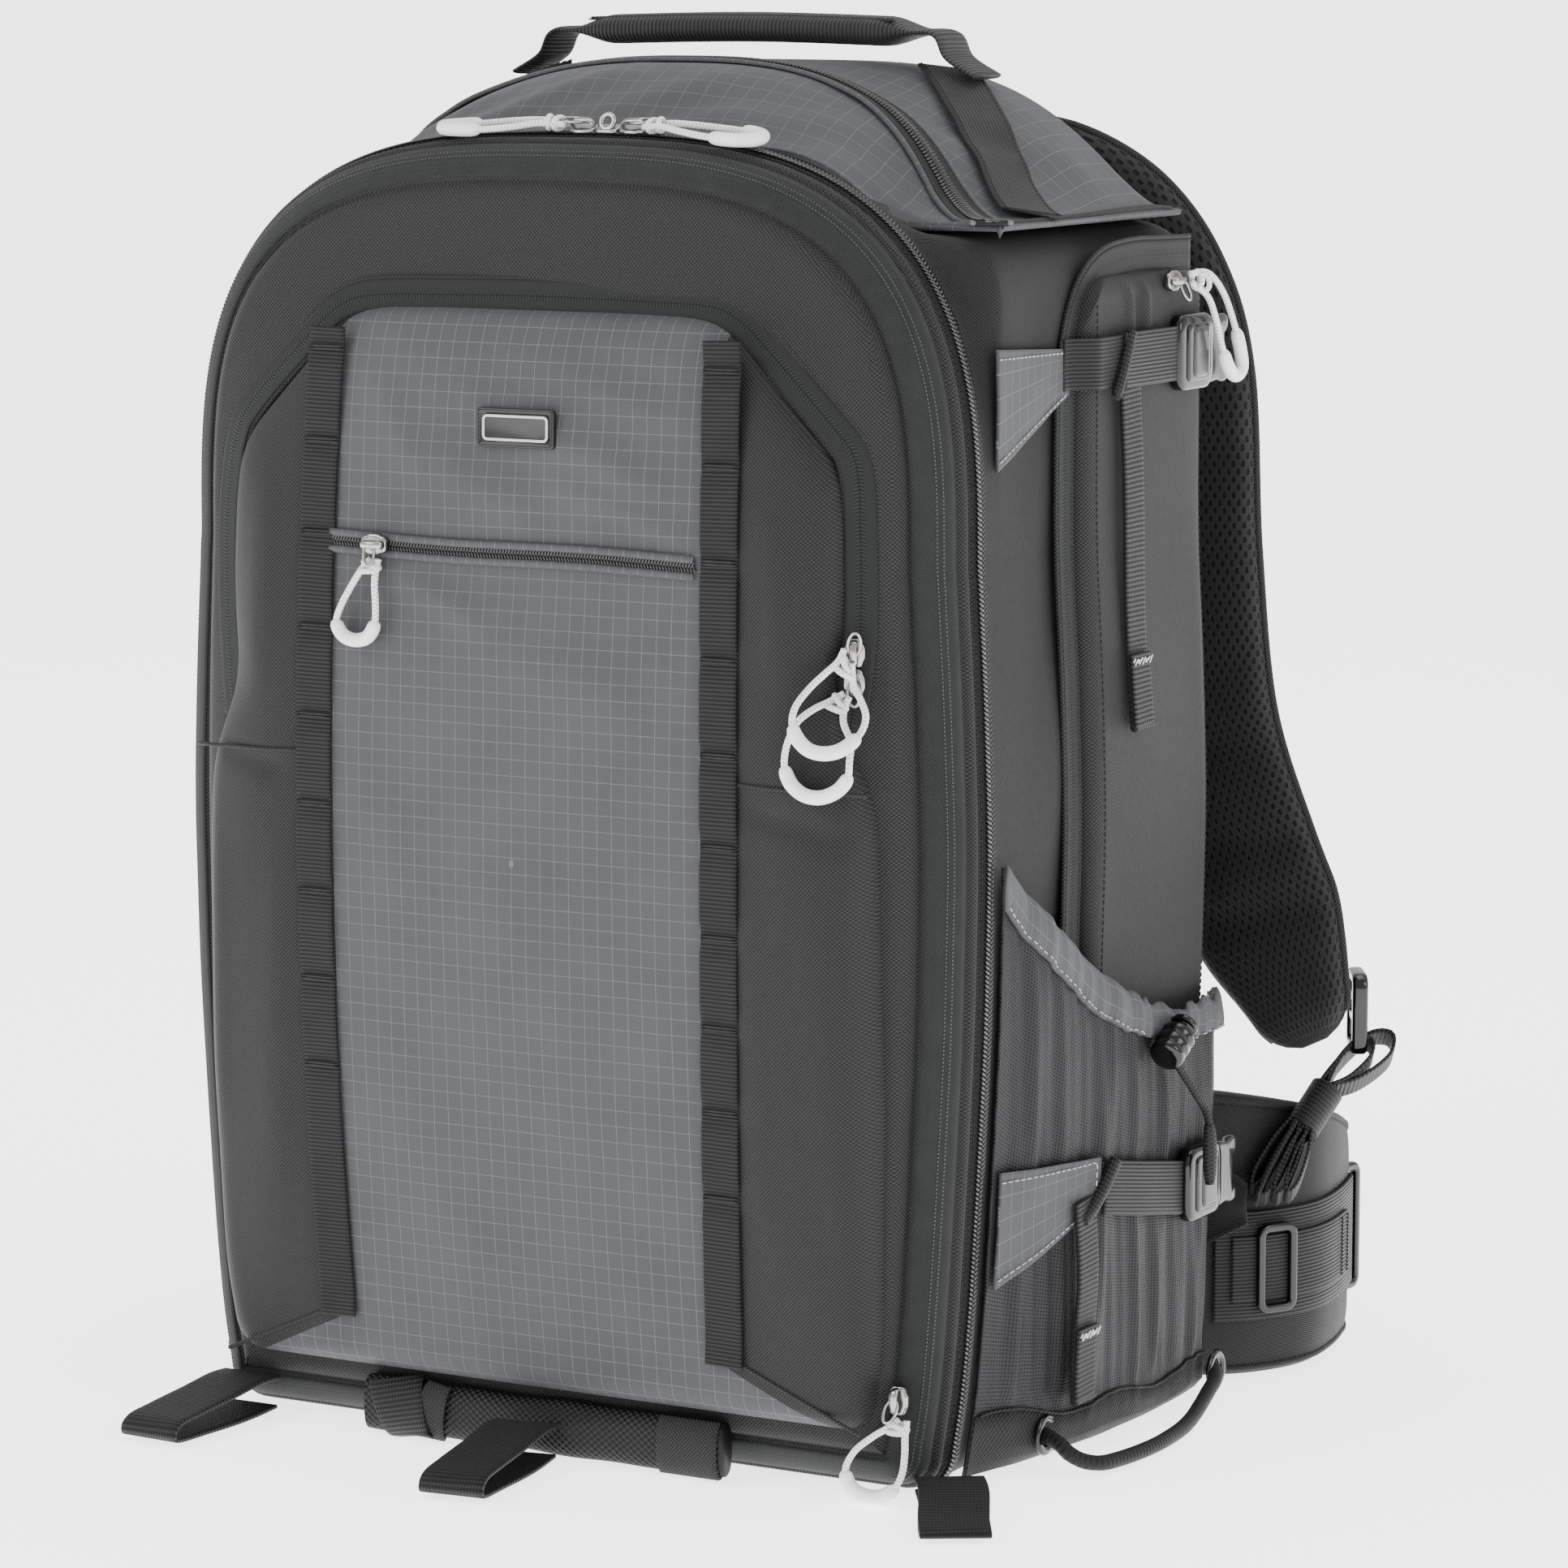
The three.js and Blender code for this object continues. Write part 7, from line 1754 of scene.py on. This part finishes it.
waist_turn = np.linspace(0.004, 0.996, 220) * np.pi
waist_points = np.stack([183.0 * np.cos(waist_turn), 207.6 + 56.0 * np.sin(waist_turn) ** 0.8 + 1.2,
                         np.full(220, 46.0)], axis=1)
waist_out = unit(np.stack([waist_points[:, 0] / 183.0 ** 2,
                           (waist_points[:, 1] - 207.6) / 56.0 ** 2 + 1e-4, np.zeros(220)], axis=1))
waist = ribbon("waist_band", waist_points, waist_out, 37.5, 2.0, lengthwise)
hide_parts("waist_webbing")
backward = np.array([0.0, 1.0, 0.0])
waist_middle = np.array([0.0, 264.2, 46.0])
side_release = soft_plate("waist_buckle_frame", waist_middle, np.array([-1.0, 0, 0]), upward,
                          round_rectangle(84, 50, 10, 10), 0.0, 9.5, glossy_black, 2.4)
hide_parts("waist_buckle")
soft_plate("waist_buckle_insert", waist_middle + backward * 0.1, np.array([-1.0, 0, 0]), upward,
           round_rectangle(46, 34, 7, 8), 9.0, 10.6, smoky_grey, 1.0)
for mark_name, mark_x in (("right", 36.0), ("left", -36.0)):
    soft_plate("waist_buckle_release_" + mark_name, waist_middle + np.array([mark_x, 0.1, 0]),
               np.array([-1.0, 0, 0]), upward, round_rectangle(9, 26, 3, 6), 8.6, 10.4, smoky_grey,
               0.9)

# Base: webbing loops that lie forward on the floor, the folded tripod pouch of coarse mesh with its webbing
# and elastic bands, and the rings of the bungee cord. Each loop is one band that runs out and back.


def webbing_loop(name, node, root, direction, high):
    """Loop of webbing from the base seam: out, down, round and back along the floor."""
    direction = unit(np.array(direction, float))
    side = np.array([-direction[1], direction[0], 0.0])
    profile = np.array([(0.0, high - 1.0), (0.2, high - 0.6), (0.5, high * 0.80), (0.75, high * 0.66),
                        (0.93, high * 0.56), (1.0, high * 0.34), (0.95, 2.0), (0.6, 1.6), (0.3, 1.9),
                        (0.04, 2.6)])
    path = smooth_path(profile * (66.0, 1.0), 140)
    points = root + np.outer(path[:, 0], direction) + np.outer(path[:, 1], (0, 0, 1.0))
    points = points + np.outer(0.8 * np.sin(path[:, 0] / 12), side)
    piece = band_along(name, points, side, 26.5, 1.6, tail_webbing)
    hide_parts(node)


webbing_loop("base_loop_right", "loop_right", np.array([162.6, -103.1, 0.0]), (0.5, -0.866, 0.0), 7.5)
webbing_loop("base_loop_left", "loop_left", np.array([-140.0, -119.9, 0.0]), (-0.05, -0.999, 0.0), 15.0)
webbing_loop("base_loop_centre", "loop_centre", np.array([-4.0, float(flap_face(0.0, 1.5)) - 14.6, 0.0]),
             (0.12, -0.993, 0.0), 15.0)

coarse_mesh, tree, shader, u, v = new_material("coarse_mesh", 0.5, specular=0.18)
knots = math_node(tree, "MULTIPLY_ADD", math_node(tree, "MULTIPLY", wave(tree, u, 3.2),
                                                  wave(tree, v, 2.6)), 0.5, 0.5)
knot_tone = math_node(tree, "MULTIPLY", math_node(tree, "POWER", knots, 1.3),
                      math_node(tree, "MULTIPLY_ADD", cloudy(tree, 18), 0.5, 0.6))
tree.links.new(colour_mix(tree, knot_tone, (0.0013, 0.0013, 0.0013), (0.0252, 0.0244, 0.0252)),
               shader.inputs["Base Color"])
raised(tree, shader, knots, 0.7)
pouch_x = np.linspace(-79.5, 79.5, 120)
pouch_path = np.stack([pouch_x, flap_face(pouch_x, 12.25) - 5.6, np.full(120, 12.0)], axis=1)
pouch_turn = np.arange(36) / 36 * 2 * np.pi
pouch_section = np.stack([np.sign(np.cos(pouch_turn)) * np.abs(np.cos(pouch_turn)) ** 0.6 * 10.6,
                          np.sign(np.sin(pouch_turn)) * np.abs(np.sin(pouch_turn)) ** 0.9 * 5.2], axis=1)
pouch_scale = 1 + 0.05 * np.sin(pouch_x / 9) * np.cos(pouch_x / 23)
pouch = sweep("pouch_roll", pouch_path, forward, pouch_section, coarse_mesh, scale=pouch_scale)
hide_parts("tripod_pouch")


def band_round_pouch(name, x, width, slant, lift, material):
    """Band over the pouch's face from top to base, leaning sideways."""
    angle = np.linspace(0.12 * np.pi, 0.95 * np.pi, 40)
    z = 12.0 + (10.6 + lift) * np.cos(angle)
    y = flap_face(x, 12.25) - 5.6 - (5.4 + lift) * np.sin(angle) ** 0.8
    points = np.stack([x + slant * (angle / np.pi - 0.5), y, np.maximum(z, 1.6)], axis=1)
    out = unit(np.stack([np.zeros(40), -np.sin(angle) - 0.05, np.cos(angle)], axis=1))
    return ribbon(name, points, out, width, 1.3, material)


band_round_pouch("pouch_webbing", -62.0, 22.0, 9.0, 1.4, tail_webbing)
band_round_pouch("pouch_webbing_hook", -48.0, 12.0, -6.0, 1.1, black_cloth)
band_round_pouch("pouch_elastic", 66.0, 26.0, 0.0, 1.2, black_cloth)

bungee_ends = smooth_path(bungee_route, 60)
for side_name, mirror in (("right", 1.0), ("left", -1.0)):
    for end_name, at, ahead in (("front", bungee_ends[0], bungee_ends[1] - bungee_ends[0]),
                                ("back", bungee_ends[-1], bungee_ends[-2] - bungee_ends[-1])):
        angle = np.arange(32) / 32 * 2 * np.pi
        ring = at + np.stack([np.full(32, 0.9), 6.4 * np.cos(angle), 6.4 * np.sin(angle)], axis=1)
        ring[:, 2] = np.maximum(ring[:, 2], 2.2)
        sweep(f"bungee_ring_{side_name}_{end_name}", ring * (mirror, 1, 1), np.array([mirror, 0.0, 0.0]),
              circle(1.0, 10) * (1.9, 1.2), glossy_black, closed=True)

# Sliders: small nickel bodies on the zips, each with an arched bridge and a wire loop that holds its pull.
# Between the two main sliders stands a lock tab with a hole.


def slider_body(name, middle, along, out, length, width, loop_way):
    """One slider: a flat waisted body, a bridge over it, and a wire loop towards its pull."""
    across = np.cross(out, along)
    half = np.array([(0.0, 1.0), (0.35, 0.98), (0.62, 0.8), (0.85, 0.72), (1.0, 0.45), (1.0, 0)]) * (length
            / 2, width / 2)
    right = np.vstack([half, half[:-1][::-1] * (1, -1)])
    outline = smooth_path(np.vstack([right, right[1:-1][::-1] * (-1, 1)]), 40)
    made = [soft_plate(name, middle - out * 2.2, along, across, outline, 0.0, 2.8, nickel, 0.6)]
    arch = np.array([(-0.42, 0.2), (-0.40, 2.4), (-0.28, 3.6), (0.0, 4.0), (0.28, 3.6), (0.40, 2.4),
                     (0.42, 0.2)])
    arch_path = smooth_path(arch * (length, 1.0), 30)
    bridge = middle + np.outer(arch_path[:, 0], along) + np.outer(arch_path[:, 1] - 0.4, out)
    made.append(sweep(name + "_bridge", bridge, across, circle(1.0, 10) * (0.6, 1.5), nickel))
    way = unit(np.asarray(loop_way, float))
    rise = unit(np.cross(np.cross(way, out), way) + 1e-6)
    angle = np.arange(28) / 28 * 2 * np.pi
    second = unit(np.cross(way, rise))
    wire = middle + out * 3.0 + way * 3.6 + np.outer(np.cos(angle) * 4.6,
                                                     way) + np.outer(np.sin(angle) * 2.4, second)
    made.append(sweep(name + "_wire", wire, np.cross(way, second), circle(0.62, 8), nickel,
                      closed=True))
    return made


def node_middle(node):
    """Centre of a CAD node in millimetres."""
    low_corner, high_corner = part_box(node)
    return (np.array(low_corner) + np.array(high_corner)) * 500


right_way, up_way, back_way = np.array([1.0, 0, 0]), np.array([0, 0, 1.0]), np.array([0, 1.0, 0])
main_at = node_middle("main_sliders")
main_out = unit(np.array([0.0, -0.35, 1.0]))
main_bodies = slider_body("main_slider_right", main_at + right_way * 11, right_way, main_out, 11, 8,
                          (1, -0.1, 0.05))
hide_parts("main_sliders")
slider_body("main_slider_left", main_at - right_way * 11, -right_way, main_out, 11, 8, (-1, -0.1, 0.05))
angle = np.arange(30) / 30 * 2 * np.pi
tab_ring = main_at + main_out * 2.6 + np.outer(np.cos(angle) * 2.7,
                                               right_way) + np.outer(np.sin(angle) * 2.7, (0, 0.35, 1.0))
sweep("main_lock_ring", tab_ring, forward, circle(1.0, 10) * (1.1, 1.0), nickel, closed=True)
soft_plate("main_lock_foot", main_at - main_out * 2.0, right_way, np.cross(main_out, right_way),
           round_rectangle(9.5, 7.4, 2.2), 0.0, 2.6, nickel, 0.6)
front_at = node_middle("front_sliders")
front_out = unit(np.array([0.35, -1.0, 0.0]))
upper_bodies = slider_body("front_slider_upper", front_at + up_way * 5.6, up_way, front_out, 10.5, 8,
                           (0.25, -0.2, 1))
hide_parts("front_sliders")
slider_body("front_slider_lower", front_at - up_way * 5.6, -up_way, front_out, 10.5, 8, (0.2, -0.2, -1))
pocket_bodies = slider_body("slit_slider", node_middle("pocket_slider"), -right_way, forward, 11, 8,
                            (0.1, -0.3, -1))
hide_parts("pocket_slider")
base_bodies = slider_body("lid_slider", node_middle("base_slider"), up_way, forward, 11, 8, (-0.3, -0.3, -1))
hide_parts("base_slider")
side_bodies = slider_body("side_zip_slider", node_middle("side_slider"), back_way, right_way, 11, 8,
                          (0.3, 0.4, -1))
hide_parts("side_slider")
